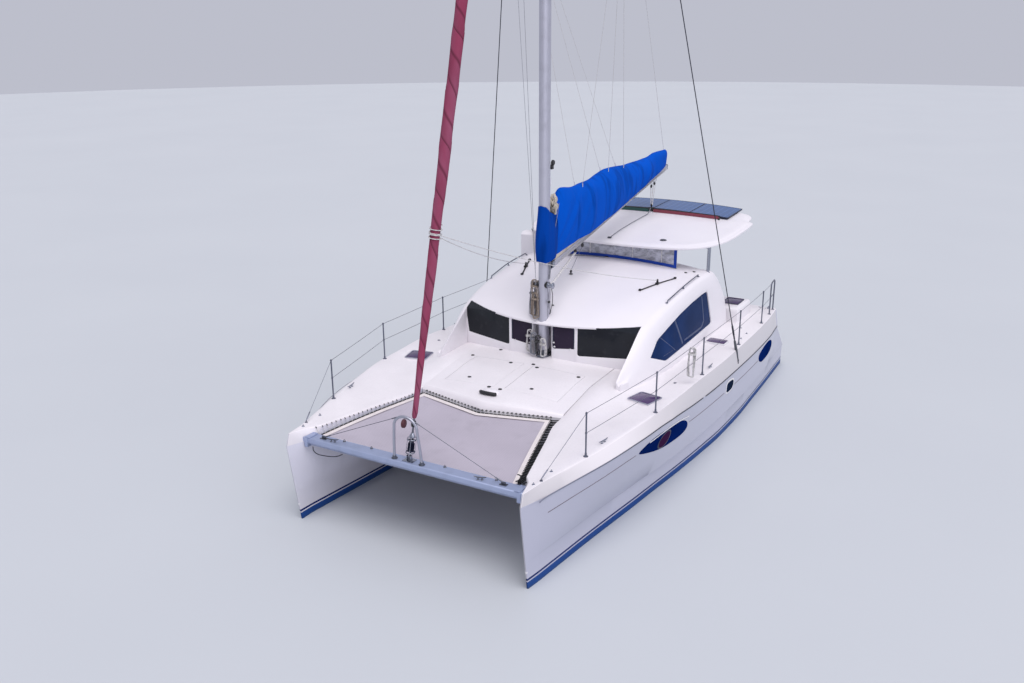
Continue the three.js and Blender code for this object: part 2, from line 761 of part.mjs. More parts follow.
function boomLow(y) {
  return BOOM.frontZ[0] + (y - BOOM.y[0]) * BOOM.slope;
}

function boom() {
  const { y, frontZ, halfWide } = BOOM;
  const deep = frontZ[1] - frontZ[0];
  const outline = [
    [y[0], frontZ[0]],
    [y[0], frontZ[1]],
    [y[1], boomLow(y[1]) + deep],
    [y[1], boomLow(y[1])],
  ];
  const beam = sidePrism(outline, -halfWide, halfWide);
  const fork = block([-30, 30], [GOOSENECK.y - 22, y[0] + 20], GOOSENECK.pin);
  const slot = block([-80, 80], [GOOSENECK.y - 60, y[0] - 2], inset(GOOSENECK.z, -5));
  const [low, high] = inset(GOOSENECK.pin, -50);
  const hole = rod([0, GOOSENECK.y, low], [0, GOOSENECK.y, high], boreRadius(GOOSENECK.pinR, 12), 12);
  return cut(beam.add(fork), [slot, hole]);
}

function sailCover() {
  const rings = SAIL_COVER.map(([y, low, high, half]) => [
    [-half * 0.45, y, low],
    [-half * 0.95, y, lerp(low, high, 0.28)],
    [-half, y, lerp(low, high, 0.5)],
    [-half * 0.72, y, lerp(low, high, 0.82)],
    [0, y, high],
    [half * 0.72, y, lerp(low, high, 0.82)],
    [half, y, lerp(low, high, 0.5)],
    [half * 0.95, y, lerp(low, high, 0.28)],
    [half * 0.45, y, low],
  ]);
  const boomSolid = boom();
  return cut(solid(loft(rings)), [moved(boomSolid, 0, 0, TOUCH), boomSolid, moved(boomSolid, 0, 0, -40)]);
}

function sailApron() {
  const { thick, z, aftY } = APRON;
  const around = mastTube(thick, z[0], z[1]).subtract(mastTube(TOUCH, z[0] - 50, z[1] + 50));
  return around.subtract(block([-400, 400], [aftY, 0], [z[0] - 50, z[1] + 50]));
}

// Bow gear

function crossbeam(hulls) {
  const { y, z, wide } = CROSSBEAM;
  const half = wide / 2;
  const outline = [
    [y - half, z[0] + 70],
    [y - half, z[1] - 16],
    [y - half + 16, z[1]],
    [y + half, z[1]],
    [y + half, z[0] + 50],
    [y + half - 60, z[0]],
    [y - half + 70, z[0]],
  ];
  const beam = sidePrism(outline, -2300, 2300);
  const limit = block([-2120, 2120], [y - 300, y + 300], [z[0] - 50, z[1] + 50]);
  const [port, starboard] = hulls;
  return cut(beam.intersect(limit), [moved(port, -TOUCH, 0, 0), moved(starboard, TOUCH, 0, 0)]);
}

function bowHoop(beam) {
  const { halfWide, top, r } = HOOP;
  const y = CROSSBEAM.y - 30;
  const foot = CROSSBEAM.z[1] - 30;
  const arc = Array.from({ length: 9 }, (_, i) => {
    const angle = (i / 8) * Math.PI;
    return [halfWide * 0.82 * Math.cos(angle), y - 40, top - 190 + 190 * Math.sin(angle)];
  });
  const points = [[halfWide, y, foot], ...arc, [-halfWide, y, foot]];
  const tubes = points.slice(1).map((point, i) => rod(points[i], point, r, 8));
  const wire = rod([150, y - 40, top - 53], [1743, CROSSBEAM.y, CROSSBEAM.z[1] - 20], 5, 6);
  return join([...tubes, wire, mirrored(wire)]).subtract(moved(beam, 0, 0, TOUCH));
}

function trampoline() {
  const { thick, foreZ, aftZ, foreX, aftX } = TRAMPOLINE;
  const foreY = CROSSBEAM.y + CROSSBEAM.wide / 2 + TOUCH;
  const cornerY = lerp(FOREDECK_APEX_Y, FORE_EDGE_Y, aftX / FORE_EDGE_X) - TOUCH;
  const outline = [
    [foreX, foreY],
    [aftX, cornerY],
    [0, FOREDECK_APEX_Y - TOUCH],
    [-aftX, cornerY],
    [-foreX, foreY],
  ];
  const height = (y) => lerp(foreZ, aftZ, (y - foreY) / (FORE_EDGE_Y - foreY));
  const shape = new THREE.Shape(outline.map(([x, y]) => new THREE.Vector2(x, y)));
  const geometry = new THREE.ExtrudeGeometry(shape, { depth: thick, bevelEnabled: false });
  const position = geometry.attributes.position;
  for (let i = 0; i < position.count; i += 1) {
    position.setZ(i, position.getZ(i) + height(position.getY(i)));
  }
  return solid(geometry);
}

// Hardtop over the cockpit and what stands on it

function hardtopRing(scale, z) {
  const { middleY } = HARDTOP;
  return mirrorOutline(HARDTOP_OUTLINE).map(([x, y]) => [x * scale, lerp(middleY, y, scale), z]);
}

function hardtop() {
  const { z, thick, crown } = HARDTOP;
  return solid(loft([
    hardtopRing(0.975, z),
    hardtopRing(1, z + 22),
    hardtopRing(1, z + thick - 30),
    hardtopRing(0.975, z + thick),
    hardtopRing(0.6, z + thick + crown * 0.75),
    hardtopRing(0.25, z + thick + crown),
  ]));
}

function hardtopFrame(carriers) {
  const z = HARDTOP.z - POST_R - TOUCH;
  const posts = POSTS.map(([x, y, low]) => rod([x, y, low], [x, y, HARDTOP.z - TOUCH], POST_R, 8));
  const path = [POSTS[0], POSTS[1], POSTS[3], POSTS[2], POSTS[0]].map(([x, y]) => [x, y, z]);
  const ring = path.slice(1).map((point, i) => rod(path[i], point, POST_R - 2, 8));
  return cut(join([...posts, ...ring]), carriers);
}

function solarPanels(roof) {
  const { x, y, thick, foot } = SOLAR;
  const low = HARDTOP.z + HARDTOP.thick + foot + 45;
  const sheet = block([-x, x], y, [low, low + thick]);
  const feet = [-1, 1].flatMap((side) => [y[0] + 200, y[1] - 330].map((footY) => (
    rod([side * 1200, footY, HARDTOP.z], [side * 1200, footY, low + 10], 25, 8)
  )));
  return cut(join([sheet, ...feet]), [moved(roof, 0, 0, TOUCH), moved(roof, 0, 0, -20)]);
}

function traveller(roof) {
  const { x, y, wide, top } = TRAVELLER;
  const rail = block([-x, x], [y - wide / 2, y + wide / 2], [HARDTOP.z + 40, top]);
  const car = block([-70, 70], [y - 50, y + 50], [top - 20, top + 45]);
  return cut(rail.add(car), [moved(roof, 0, 0, TOUCH), moved(roof, 0, 0, -30)]);
}

function windscreen() {
  const { x, y, thick } = WINDSCREEN;
  return block([-x, x], [y, y + thick], [3000, HARDTOP.z - TOUCH]).subtract(moved(cabinOuter, 0, 0, TOUCH));
}

// Helm station and cockpit

function helmConsole(deck) {
  const { x, y, top } = CONSOLE;
  const outline = [
    [y[0], 1500],
    [y[0], top - 60],
    [y[0] + 60, top],
    [y[1] - 150, top],
    [y[1], top - 220],
    [y[1], 1500],
  ];
  const shaft = rod([WHEEL.x, y[1] - 40, WHEEL.z], [WHEEL.x, WHEEL.y, WHEEL.z], WHEEL.shaftR, 24);
  return cut(sidePrism(outline, x[0], x[1]).add(shaft), [deck]);
}

function helmWheel() {
  const { x, y, z, r, rim, spokes, shaftR } = WHEEL;
  const torus = new THREE.TorusGeometry(r, rim, 8, 28);
  torus.rotateX(Math.PI / 2);
  const parts = [moved(solid(torus), x, y, z), rod([x, y - 30, z], [x, y + 30, z], 50, 12)];
  for (let i = 0; i < spokes; i += 1) {
    const angle = (i / spokes) * Math.PI * 2 + Math.PI / 2;
    parts.push(rod([x, y, z], [x + r * Math.cos(angle), y, z + r * Math.sin(angle)], 9, 6));
  }
  const bore = rod([x, y - 60, z], [x, y + TOUCH, z], boreRadius(shaftR, 24), 24);
  return join(parts).subtract(bore);
}

function helmSeat(deck) {
  const { x, y, seat, back } = HELM_SEAT;
  const outline = [
    [y[0], 1700],
    [y[0], seat],
    [y[1] - 60, seat],
    [y[1] - 40, back],
    [y[1], back],
    [y[1], 1700],
  ];
  return cut(sidePrism(outline, x[0], x[1]), [deck]);
}

function bench() {
  const { y, seat, back } = BENCH;
  const floor = BRIDGEDECK.top + TOUCH;
  const outline = [
    [y[0], floor],
    [y[0], seat],
    [y[1] - 150, seat],
    [y[1] - 110, back],
    [y[1], back],
    [y[1], floor],
  ];
  const side = INNER_WALL_X - TOUCH;
  const portSeat = block(SIDE_SEAT.x, [SIDE_SEAT.y[0], y[0] + 50], [floor, SIDE_SEAT.seat]);
  return sidePrism(outline, -side, side).add(portSeat);
}

function onFloor(x, y, top) {
  return block(x, y, [BRIDGEDECK.top + TOUCH, top]);
}

function cushion(x, y, low) {
  return block(x, y, [low + TOUCH, low + CUSHION]);
}

function pedestalTable({ x, y, top }) {
  const middle = [(x[0] + x[1]) / 2, (y[0] + y[1]) / 2];
  const leg = rod([...middle, BRIDGEDECK.top + TOUCH], [...middle, top - 10], 45, 10);
  const foot = rod([...middle, BRIDGEDECK.top + TOUCH], [...middle, BRIDGEDECK.top + 25], 160, 12);
  return join([block(x, y, [top - 35, top]), leg, foot]);
}

// Lifelines with their stanchions and pushpit, port side

function lifelines(deck) {
  const { high, low, tubeR, wireR, bow } = LIFELINE;
  const at = ([y, inboard], up) => {
    const edgeX = deckEdgeX(along(HULL_STATIONS, y, 4), along(HULL_STATIONS, y, 7));
    return [edgeX - inboard, y, along(HULL_STATIONS, y, 6) + up];
  };
  const [fore, aft] = PUSHPIT;
  const line = [...STANCHIONS, fore];
  const parts = [...line, aft].map((row) => rod(at(row, -60), at(row, high), tubeR, 8));
  line.slice(1).forEach((next, i) => {
    parts.push(rod(at(line[i], high - 20), at(next, high - 20), wireR, 6));
    parts.push(rod(at(line[i], low), at(next, low), wireR, 6));
  });
  parts.push(rod(at(line[0], high - 20), at(bow, -30), wireR, 6));
  parts.push(rod(at(fore, high - 12), at(aft, high - 12), tubeR, 8));
  parts.push(rod(at(fore, low), at(aft, low), tubeR - 3, 8));
  return cut(join(parts), [deck]);
}

// Under water

function foilRing(x, leading, trailing, half, z) {
  const chord = trailing - leading;
  const shape = [[0, 0], [0.04, 0.5], [0.16, 0.86], [0.36, 1], [0.66, 0.66], [1, 0.04]];
  const port = shape.map(([t, h]) => [x + half * h, leading + chord * t, z]);
  const starboard = shape.slice(1).reverse().map(([t, h]) => [x - half * h, leading + chord * t, z]);
  return [...port, ...starboard];
}

function keel() {
  const { x, y, top, bottom, thick } = KEEL;
  const body = solid(loft([
    foilRing(x, y[0], y[1], thick / 2, top + 250),
    foilRing(x, y[0] + 60, y[1] - 20, thick / 2, -700),
    foilRing(x, y[0] + 260, y[1] - 120, thick / 2.4, bottom),
  ]));
  return body.subtract(moved(plainHull, 0, 0, -TOUCH)).subtract(plainHull);
}

function rudder() {
  const { x, stockY, stockR, chord, z, thick } = RUDDER;
  const blade = solid(loft([
    foilRing(x, chord[0], chord[1], thick / 2, z[1]),
    foilRing(x, chord[0] + 20, chord[1] - 10, thick / 2.2, (z[0] + z[1]) / 2),
    foilRing(x, chord[0] + 60, chord[1] - 60, thick / 3, z[0]),
  ]));
  const stock = rod([x, stockY, -500], [x, stockY, 140], stockR, 16);
  return blade.add(stock);
}

function saildrive() {
  const { x, y, shaftZ } = DRIVE;
  const leg = solid(loft([
    foilRing(x, y - 170, y + 150, 62, -200),
    foilRing(x, y - 130, y + 110, 52, shaftZ - 20),
  ]));
  const pod = rod([x, y - 170, shaftZ], [x, y + 190, shaftZ], 62, 12, 48);
  const shaft = rod([x, y + 150, shaftZ], [x, DRIVE.propellerY + 30, shaftZ], DRIVE.shaftR, 12);
  const fin = solid(loft([
    foilRing(x, y - 60, y + 60, 16, shaftZ),
    foilRing(x, y - 20, y + 60, 12, shaftZ - 190),
  ]));
  return join([leg, pod, shaft, fin]).subtract(moved(plainHull, 0, 0, -TOUCH)).subtract(plainHull);
}

function propeller() {
  const { x, propellerY, propellerR, shaftZ, shaftR } = DRIVE;
  const hub = rod([x, propellerY - 45, shaftZ], [x, propellerY + 60, shaftZ], 46, 12, 30);
  const blade = new THREE.CylinderGeometry(78, 40, propellerR - 30, 8, 1);
  blade.scale(1, 1, 0.1);
  blade.rotateY(THREE.MathUtils.degToRad(28));
  blade.translate(0, (propellerR + 30) / 2, 0);
  blade.rotateX(Math.PI / 2);
  const parts = [hub];
  for (let i = 0; i < 3; i += 1) {
    const turned = blade.clone().rotateY((i / 3) * Math.PI * 2);
    parts.push(moved(solid(turned), x, propellerY, shaftZ));
  }
  const boreAt = (y) => [x, propellerY + y, shaftZ];
  return join(parts).subtract(rod(boreAt(-80), boreAt(32), boreRadius(shaftR, 12), 12));
}

function ladderPin(radius) {
  const { x, y, hingeZ } = LADDER;
  const over = LUG.off + LUG.wide;
  return rod([x[0] - over, y, hingeZ], [x[1] + over, y, hingeZ], radius, 16);
}

function ladderLugs() {
  const { x, y, hingeZ } = LADDER;
  const centres = [x[0] - LUG.off, x[1] + LUG.off];
  const lugs = centres.map((middle) => block(
    [middle - LUG.wide / 2, middle + LUG.wide / 2],
    [TRANSOM_Y - 40, y + LUG.reach],
    [hingeZ - LUG.reach, hingeZ + LUG.reach],
  ));
  return join(lugs).subtract(ladderPin(boreRadius(LADDER.pinR, 16)));
}

function swimLadder() {
  const { x, y, hingeZ, top, r, rungs } = LADDER;
  const parts = x.map((side) => rod([side, y, hingeZ - r], [side, y, top], r, 8));
  for (let i = 1; i <= rungs; i += 1) {
    const height = lerp(hingeZ, top - 20, i / rungs);
    parts.push(rod([x[0], y, height], [x[1], y, height], r, 8));
  }
  return join([...parts, ladderPin(LADDER.pinR)]);
}

// Assembly

const catamaran = new THREE.Group();
catamaran.name = "sailing_catamaran";

function add(name, manifold, finish) {
  const [color, roughness, metalness] = FINISH[finish];
  const material = new THREE.MeshStandardMaterial({ color, roughness, metalness });
  const mesh = new THREE.Mesh(geometryOf(manifold), material);
  mesh.name = name;
  catamaran.add(mesh);
}

function addPair(name, manifold, finish) {
  add(`${name}_port`, manifold, finish);
  add(`${name}_starboard`, mirrored(manifold), finish);
}

const [hull, engineLid] = hullAndLid();
const hullPort = hull.add(ladderLugs());
const hullStarboard = mirrored(hull);
const bridge = bridgedeck();
const [fore, lockerPort, lockerStarboard] = foredeckAndLids();
const decks = join([hullPort, hullStarboard, bridge, fore]);
const deckClear = moved(decks, 0, 0, TOUCH);
const roof = coachroof(deckClear);
const roofClear = moved(roof, 0, 0, TOUCH);
const beam = crossbeam([hullPort, hullStarboard]);
const top = hardtop();
const helm = helmConsole(deckClear);
const seats = bench();

add("hull_port", hullPort, "hull");
add("hull_starboard", hullStarboard, "hull");
add("bridgedeck", bridge, "gelcoat");
add("foredeck", fore, "gelcoat");
addPair("engine_lid", engineLid, "gelcoat");
add("locker_lid_port", lockerPort, "gelcoat");
add("locker_lid_starboard", lockerStarboard, "gelcoat");
add("coachroof", roof, "gelcoat");
add("saloon_front", frontWall(deckClear), "gelcoat");
for (const side of [1, -1]) {
  const word = side > 0 ? "port" : "starboard";
  add(`front_window_${word}`, frontGlass(FRONT_PANE, side), "glass");
  add(`front_hatch_${word}`, frontGlass(FRONT_HATCH, side), "tinted");
  add(`side_window_${word}`, sidePane(side), "glass");
}
add("saloon_bulkhead", bulkhead(deckClear), "gelcoat");
add("saloon_door", door(), "glass");
for (const row of DECK_HATCHES) {
  addPair(row[0], hatchLid(row), "tinted");
}
add("mast", mast(deckClear), "alloy");
addPair("shroud", shroud(hullPort), "steel");
add("furler", furler(beam), "dark");
add("furled_jib", furledJib(), "sail");
add("boom", boom(), "alloy");
add("mainsail_cover", sailCover(), "canvas");
add("cover_apron", sailApron(), "canvas");
add("crossbeam", beam, "alloy");
add("bow_hoop", bowHoop(beam), "steel");
add("trampoline", trampoline(), "net");
add("hardtop", top, "gelcoat");
const carriers = [roofClear, deckClear, moved(helm, 0, 0, TOUCH), moved(seats, 0, 0, TOUCH)];
add("hardtop_frame", hardtopFrame(carriers), "steel");
add("solar_panels", solarPanels(top), "panel");
add("traveller", traveller(top), "dark");
add("windscreen", windscreen(), "vinyl");
add("helm_console", helm, "gelcoat");
add("helm_wheel", helmWheel(), "steel");
add("helm_seat", helmSeat(deckClear), "gelcoat");
add("cockpit_bench", seats, "gelcoat");
add("bench_cushion", cushion([-1250, 1250], inset(BENCH.y, 155), BENCH.seat), "cushion");
add("side_cushion", cushion(inset(SIDE_SEAT.x, 15), inset(SIDE_SEAT.y, 15), SIDE_SEAT.seat), "cushion");
add("cockpit_table", pedestalTable(TABLE), "gelcoat");
add("saloon_sofa", onFloor(SOFA.x, SOFA.y, SOFA.seat), "cushion");
addPair("lifelines", lifelines(deckClear), "steel");
addPair("keel", keel(), "antifouling");
addPair("rudder", rudder(), "antifouling");
addPair("saildrive", saildrive(), "engine");
addPair("propeller", propeller(), "bronze");
addPair("engine", block(ENGINE.x, ENGINE.y, [ENGINE_LID.bayBottom + TOUCH, ENGINE.top]), "engine");
add("swim_ladder", swimLadder(), "steel");

export default catamaran;
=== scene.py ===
"""Looks of the sailing catamaran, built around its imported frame. +X is to port, +Y is aft, +Z is up."""

import math
import random

import bpy
import numpy as np
from mathutils import Matrix, Vector


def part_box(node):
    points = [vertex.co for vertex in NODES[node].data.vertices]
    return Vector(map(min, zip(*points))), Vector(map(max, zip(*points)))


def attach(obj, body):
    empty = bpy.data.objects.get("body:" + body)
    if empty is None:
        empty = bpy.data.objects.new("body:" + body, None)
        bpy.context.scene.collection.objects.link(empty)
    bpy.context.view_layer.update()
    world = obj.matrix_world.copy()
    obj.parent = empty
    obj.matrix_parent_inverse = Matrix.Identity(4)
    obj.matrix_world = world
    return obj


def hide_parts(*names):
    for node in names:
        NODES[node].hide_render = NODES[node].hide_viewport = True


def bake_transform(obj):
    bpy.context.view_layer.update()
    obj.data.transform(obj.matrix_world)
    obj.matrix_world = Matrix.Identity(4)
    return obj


bl_info = {
    "name": "Sailing catamaran",
    "version": (1, 0, 0),
    "blender": (4, 5, 0),
    "location": "View3D > Sidebar > Catamaran",
    "description": "Builds the catamaran's hulls, cabin, rig, canvas and fittings around its frame",
    "category": "Object",
}

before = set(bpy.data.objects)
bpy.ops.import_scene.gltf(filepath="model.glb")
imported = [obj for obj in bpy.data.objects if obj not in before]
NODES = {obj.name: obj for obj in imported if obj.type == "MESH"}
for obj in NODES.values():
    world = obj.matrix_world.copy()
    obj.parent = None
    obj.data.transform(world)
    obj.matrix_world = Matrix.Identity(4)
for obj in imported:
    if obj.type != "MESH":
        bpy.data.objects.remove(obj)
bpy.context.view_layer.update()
SIDES = ((1, "port"), (-1, "starboard"))
BOAT = "boat"
BOOM = "boom_and_sail"

# Camera: place and lens in metres and millimetres, turns in degrees
CAMERA_PLACE = (8.2814, -16.7651, 8.0933)
CAMERA_AZIMUTH = 29.909
CAMERA_DOWN = 18.442
CAMERA_ROLL = -0.4066
CAMERA_LENS = 33.828

# Hull, port side. Each row: y, keel line z, waterline outer x, waterline inner x, chine x, rubbing strake x and z,
# deck edge x and z, side deck z, deck inner x, deck inner z
HULL_ROWS = [
    (-5.550, -0.190, 2.262, 2.202, 2.284, 2.370, 1.450, 2.268, 1.652, 1.645, 2.015, 1.640),
    (-5.000, -0.330, 2.318, 2.160, 2.361, 2.540, 1.497, 2.400, 1.670, 1.662, 1.866, 1.645),
    (-4.200, -0.430, 2.402, 2.098, 2.452, 2.785, 1.563, 2.575, 1.703, 1.685, 1.650, 1.655),
    (-3.400, -0.490, 2.497, 2.042, 2.556, 2.928, 1.588, 2.727, 1.744, 1.695, 1.455, 1.662),
    (-2.700, -0.520, 2.585, 1.990, 2.664, 3.003, 1.586, 2.850, 1.772, 1.690, 1.450, 1.757),
    (-2.000, -0.545, 2.662, 1.940, 2.776, 3.044, 1.545, 2.905, 1.772, 1.685, 1.450, 1.850),
    (-1.000, -0.560, 2.780, 1.870, 2.887, 3.056, 1.446, 2.965, 1.785, 1.705, 1.450, 1.860),
    (0.000, -0.560, 2.876, 1.818, 2.960, 3.057, 1.362, 2.975, 1.738, 1.692, 1.450, 1.740),
    (1.000, -0.550, 2.948, 1.790, 3.008, 3.057, 1.314, 2.988, 1.706, 1.690, 1.450, 1.740),
    (2.200, -0.510, 2.966, 1.782, 3.023, 3.058, 1.281, 2.992, 1.692, 1.690, 1.450, 1.740),
    (3.200, -0.450, 2.938, 1.790, 3.006, 3.048, 1.264, 2.982, 1.682, 1.682, 1.450, 1.735),
    (4.200, -0.360, 2.912, 1.810, 2.973, 3.010, 1.246, 2.944, 1.666, 1.666, 1.450, 1.725),
    (5.100, -0.250, 2.880, 1.840, 2.908, 2.925, 1.226, 2.859, 1.640, 1.640, 1.450, 1.710),
    (5.550, -0.190, 2.862, 1.860, 2.889, 2.905, 1.210, 2.839, 1.625, 1.625, 1.450, 1.705),
    (6.000, -0.130, 2.845, 1.880, 2.873, 2.890, 1.190, 2.824, 1.610, 1.610, 1.450, 1.700),
]
STEM_X = 2.212
STEM_HALF = 0.014
BOW_RUB_Z = 1.425
BOW_DECK_Z = 1.640
CHINE_Z = 0.520
STERN_STEPS = [(5.110, 1.190), (5.400, 0.790), (5.690, 0.390)]

# Coachroof, each row: y, roof z on the centreline, roof corner x and z, x at the base of the side
ROOF_ROWS = [
    (-1.900, 2.110, 1.880, 1.950, 1.965),
    (-1.600, 2.350, 1.895, 2.150, 2.055),
    (-1.300, 2.605, 1.915, 2.340, 2.125),
    (-0.770, 2.850, 1.945, 2.670, 2.200),
    (-0.200, 2.990, 1.985, 2.830, 2.235),
    (0.500, 3.095, 2.030, 2.940, 2.245),
    (1.200, 3.165, 2.060, 3.015, 2.250),
    (2.000, 3.205, 2.080, 3.050, 2.250),
    (2.450, 3.215, 2.085, 3.040, 2.250),
]
ROOF_BASE = 1.500
ROOF_WALL = 0.060
SIDE_WINDOW = [
    (-0.950, 2.160),
    (-0.520, 2.395),
    (0.000, 2.510),
    (0.560, 2.615),
    (1.150, 2.685),
    (1.750, 2.720),
    (2.060, 2.715),
    (2.280, 1.960),
    (-0.280, 1.900),
]

# Mast, forestay, boom: y or z in metres, slopes in metres a metre
MAST_Y = -1.100
MAST_MIDDLE_Y = MAST_Y - 0.027
MAST_HALF_WIDE = 0.096
MAST_HALF_LONG = 0.137
STAY_Y = -6.041
STAY_SLOPE = 0.2664
BOOM_FRONT = (-0.890, 3.575)
BOOM_SLOPE = 0.190
BOOM_DEEP = 0.150
BEAM_TOP_Z = 1.5352
TRACK_Y = 4.21

random.seed(12)


# Selection and edit-mode helpers


def only(*objects):
    """Selects these objects alone and makes the first one active."""
    bpy.ops.object.select_all(action="DESELECT")
    for thing in objects:
        thing.select_set(True)
    bpy.context.view_layer.objects.active = objects[0]


def settle(thing):
    """Puts an object's place, turn and scale into its mesh."""
    only(thing)
    bpy.ops.object.transform_apply(location=True, rotation=True, scale=True)
    return thing


def modify(thing, kind, **values):
    """Adds a modifier and applies it."""
    only(thing)
    modifier = thing.modifiers.new(kind.lower(), kind)
    for key, value in values.items():
        setattr(modifier, key, value)
    bpy.ops.object.modifier_apply(modifier=modifier.name)
    return thing


def smooth(thing, degrees=32):
    """Shades a piece smooth but for its sharp edges."""
    only(thing)
    bpy.ops.object.shade_smooth_by_angle(angle=math.radians(degrees))
    return thing


def soften(thing, width=0.006, segments=2, degrees=40):
    """Rounds the sharp edges of a piece."""
    modify(thing, "BEVEL", width=width, segments=segments, limit_method="ANGLE",
           angle_limit=math.radians(degrees), harden_normals=False, use_clamp_overlap=True)
    return smooth(thing, 40)


def edited(thing, *steps):
    """Runs mesh operators, each given with its values, on the whole of a piece."""
    only(thing)
    bpy.ops.object.mode_set(mode="EDIT")
    for operator, values in steps:
        bpy.ops.mesh.select_all(action="SELECT")
        operator(**values)
    bpy.ops.object.mode_set(mode="OBJECT")
    return thing


def flipped(thing):
    """Turns every face of a piece over."""
    return edited(thing, (bpy.ops.mesh.flip_normals, {}))


def closing_steps(near):
    """The steps that merge doubles and point every face outwards."""
    return ((bpy.ops.mesh.remove_doubles, {"threshold": near}),
            (bpy.ops.mesh.normals_make_consistent, {"inside": False}))


def outward(thing):
    """Merges doubles and points every face outwards."""
    return edited(thing, *closing_steps(0.00005))


def join(things, name):
    """Joins several objects into one."""
    only(*things)
    if len(things) > 1:
        bpy.ops.object.join()
    joined = bpy.context.view_layer.objects.active
    joined.name = name
    joined.data.name = name
    return joined


def from_points(name, points, faces, edges=()):
    """A mesh object of given points and faces."""
    mesh = bpy.data.meshes.new(name)
    mesh.from_pydata([tuple(p) for p in points], list(edges), faces)
    thing = bpy.data.objects.new(name, mesh)
    bpy.context.scene.collection.objects.link(thing)
    return thing


def duplicate(thing, name):
    """A copy of a piece with its own mesh."""
    twin = thing.copy()
    twin.data = thing.data.copy()
    twin.name = name
    bpy.context.scene.collection.objects.link(twin)
    return twin


def shifted(thing, name, move):
    """A copy of a piece, moved."""
    twin = duplicate(thing, name)
    twin.data.transform(Matrix.Translation(move))
    return twin


def mirrored(thing, name):
    """A copy of a piece on the other side of the boat."""
    twin = duplicate(thing, name)
    twin.data.name = name
    twin.data.transform(Matrix.Scale(-1, 4, (1, 0, 0)))
    return flipped(twin)


def block(name, x, y, z, round_by=0.0, segments=2):
    """A box between three pairs of bounds, its edges rounded."""
    bpy.ops.object.select_all(action="DESELECT")
    centre = [(low + high) / 2 for low, high in (x, y, z)]
    size = [high - low for low, high in (x, y, z)]
    bpy.ops.mesh.primitive_cube_add(size=1, location=centre)
    thing = bpy.context.view_layer.objects.active
    thing.name = name
    thing.scale = size
    settle(thing)
    if round_by:
        modify(thing, "BEVEL", width=round_by, segments=segments, limit_method="NONE")
        smooth(thing, 40)
    return thing


def rod(name, start, end, radius, sides=16, end_radius=None, round_by=0.0):
    """A round rod or cone between two points."""
    start, end = Vector(start), Vector(end)
    span = end - start
    bpy.ops.object.select_all(action="DESELECT")
    bpy.ops.mesh.primitive_cone_add(
        vertices=sides, radius1=radius, radius2=radius if end_radius is None else end_radius,
        depth=span.length, location=(0, 0, 0))
    thing = bpy.context.view_layer.objects.active
    thing.name = name
    thing.rotation_euler = span.to_track_quat("Z", "Y").to_euler()
    thing.location = (start + end) / 2
    settle(thing)
    if round_by:
        modify(thing, "BEVEL", width=round_by, segments=2, limit_method="ANGLE", angle_limit=math.radians(50))
    return smooth(thing, 40)


def grid_faces(rows, columns):
    """The faces of a grid of points that run along its rows."""
    return [(j * columns + i, j * columns + i + 1, (j + 1) * columns + i + 1, (j + 1) * columns + i)
            for j in range(rows - 1) for i in range(columns - 1)]


def grid_uvs(us, vs):
    """The UV corners of a grid's faces."""
    return [uv for v0, v1 in zip(vs, vs[1:]) for u0, u1 in zip(us, us[1:])
            for uv in ((u0, v0), (u1, v0), (u1, v1), (u0, v1))]


def set_uvs(thing, uvs):
    """Writes the UV map that the cloth and rope materials read."""
    layer = thing.data.uv_layers.new(name="along")
    layer.data.foreach_set("uv", np.array(uvs, np.float32).ravel())
    return thing


def distinct(points, gap, end_gap):
    """Drops points that repeat the one before, and a last one that repeats the first."""
    kept = []
    for point in points:
        if not kept or (point - kept[-1]).length > gap:
            kept.append(point)
    if (kept[0] - kept[-1]).length < end_gap:
        kept.pop()
    return kept


def turned(name, profile, place=(0, 0, 0), axis=(0, 0, 1), steps=24):
    """A turned part: a profile of radius and height spun about its axis."""
    points = [(r, 0, h) for r, h in profile]
    thing = from_points(name, points, [], [(i, i + 1) for i in range(len(points) - 1)])
    spin = {"steps": steps, "angle": math.tau, "center": (0, 0, 0), "axis": (0, 0, 1)}
    edited(thing, (bpy.ops.mesh.spin, spin), *closing_steps(0.00002))
    thing.rotation_euler = Vector(axis).to_track_quat("Z", "Y").to_euler()
    thing.location = place
    settle(thing)
    return smooth(thing, 35)


def disc(name, rim, place, axis=(0, 0, 1), steps=16):
    """A flat-based turned button, from the points of its rim between its top and its base."""
    return turned(name, [(0, rim[0][1]), *rim, (0, 0)], place, axis, steps)


def rounded_path(points, radius, steps=5):
    """A polyline with each corner rounded by an arc-like curve."""
    points = [Vector(p) for p in points]
    path = [points[0]]
    for before, here, after in zip(points, points[1:], points[2:]):
        back, on = before - here, after - here
        reach = min(radius, back.length * 0.48, on.length * 0.48)
        first, last = here + back.normalized() * reach, here + on.normalized() * reach
        for i in range(steps + 1):
            t = i / steps
            path.append(first.lerp(here, t).lerp(here.lerp(last, t), t))
    path.append(points[-1])
    return path


def curved(points, steps=6, closed=False):
    """A smooth curve through the points."""
    points = [Vector(p) for p in points]
    count = len(points)
    path = []
    for i in range(count if closed else count - 1):
        if closed:
            a, b, c, d = (points[(i + k - 1) % count] for k in range(4))
        else:
            b, c = points[i], points[i + 1]
            a = points[i - 1] if i else b * 2 - c
            d = points[i + 2] if i + 2 < count else c * 2 - b
        for k in range(steps):
            t = k / steps
            path.append(0.5 * ((2 * b) + (c - a) * t + (2 * a - 5 * b + 4 * c - d) * t * t
                               + (3 * b - a - 3 * c + d) * t ** 3))
    if not closed:
        path.append(points[-1])
    return path


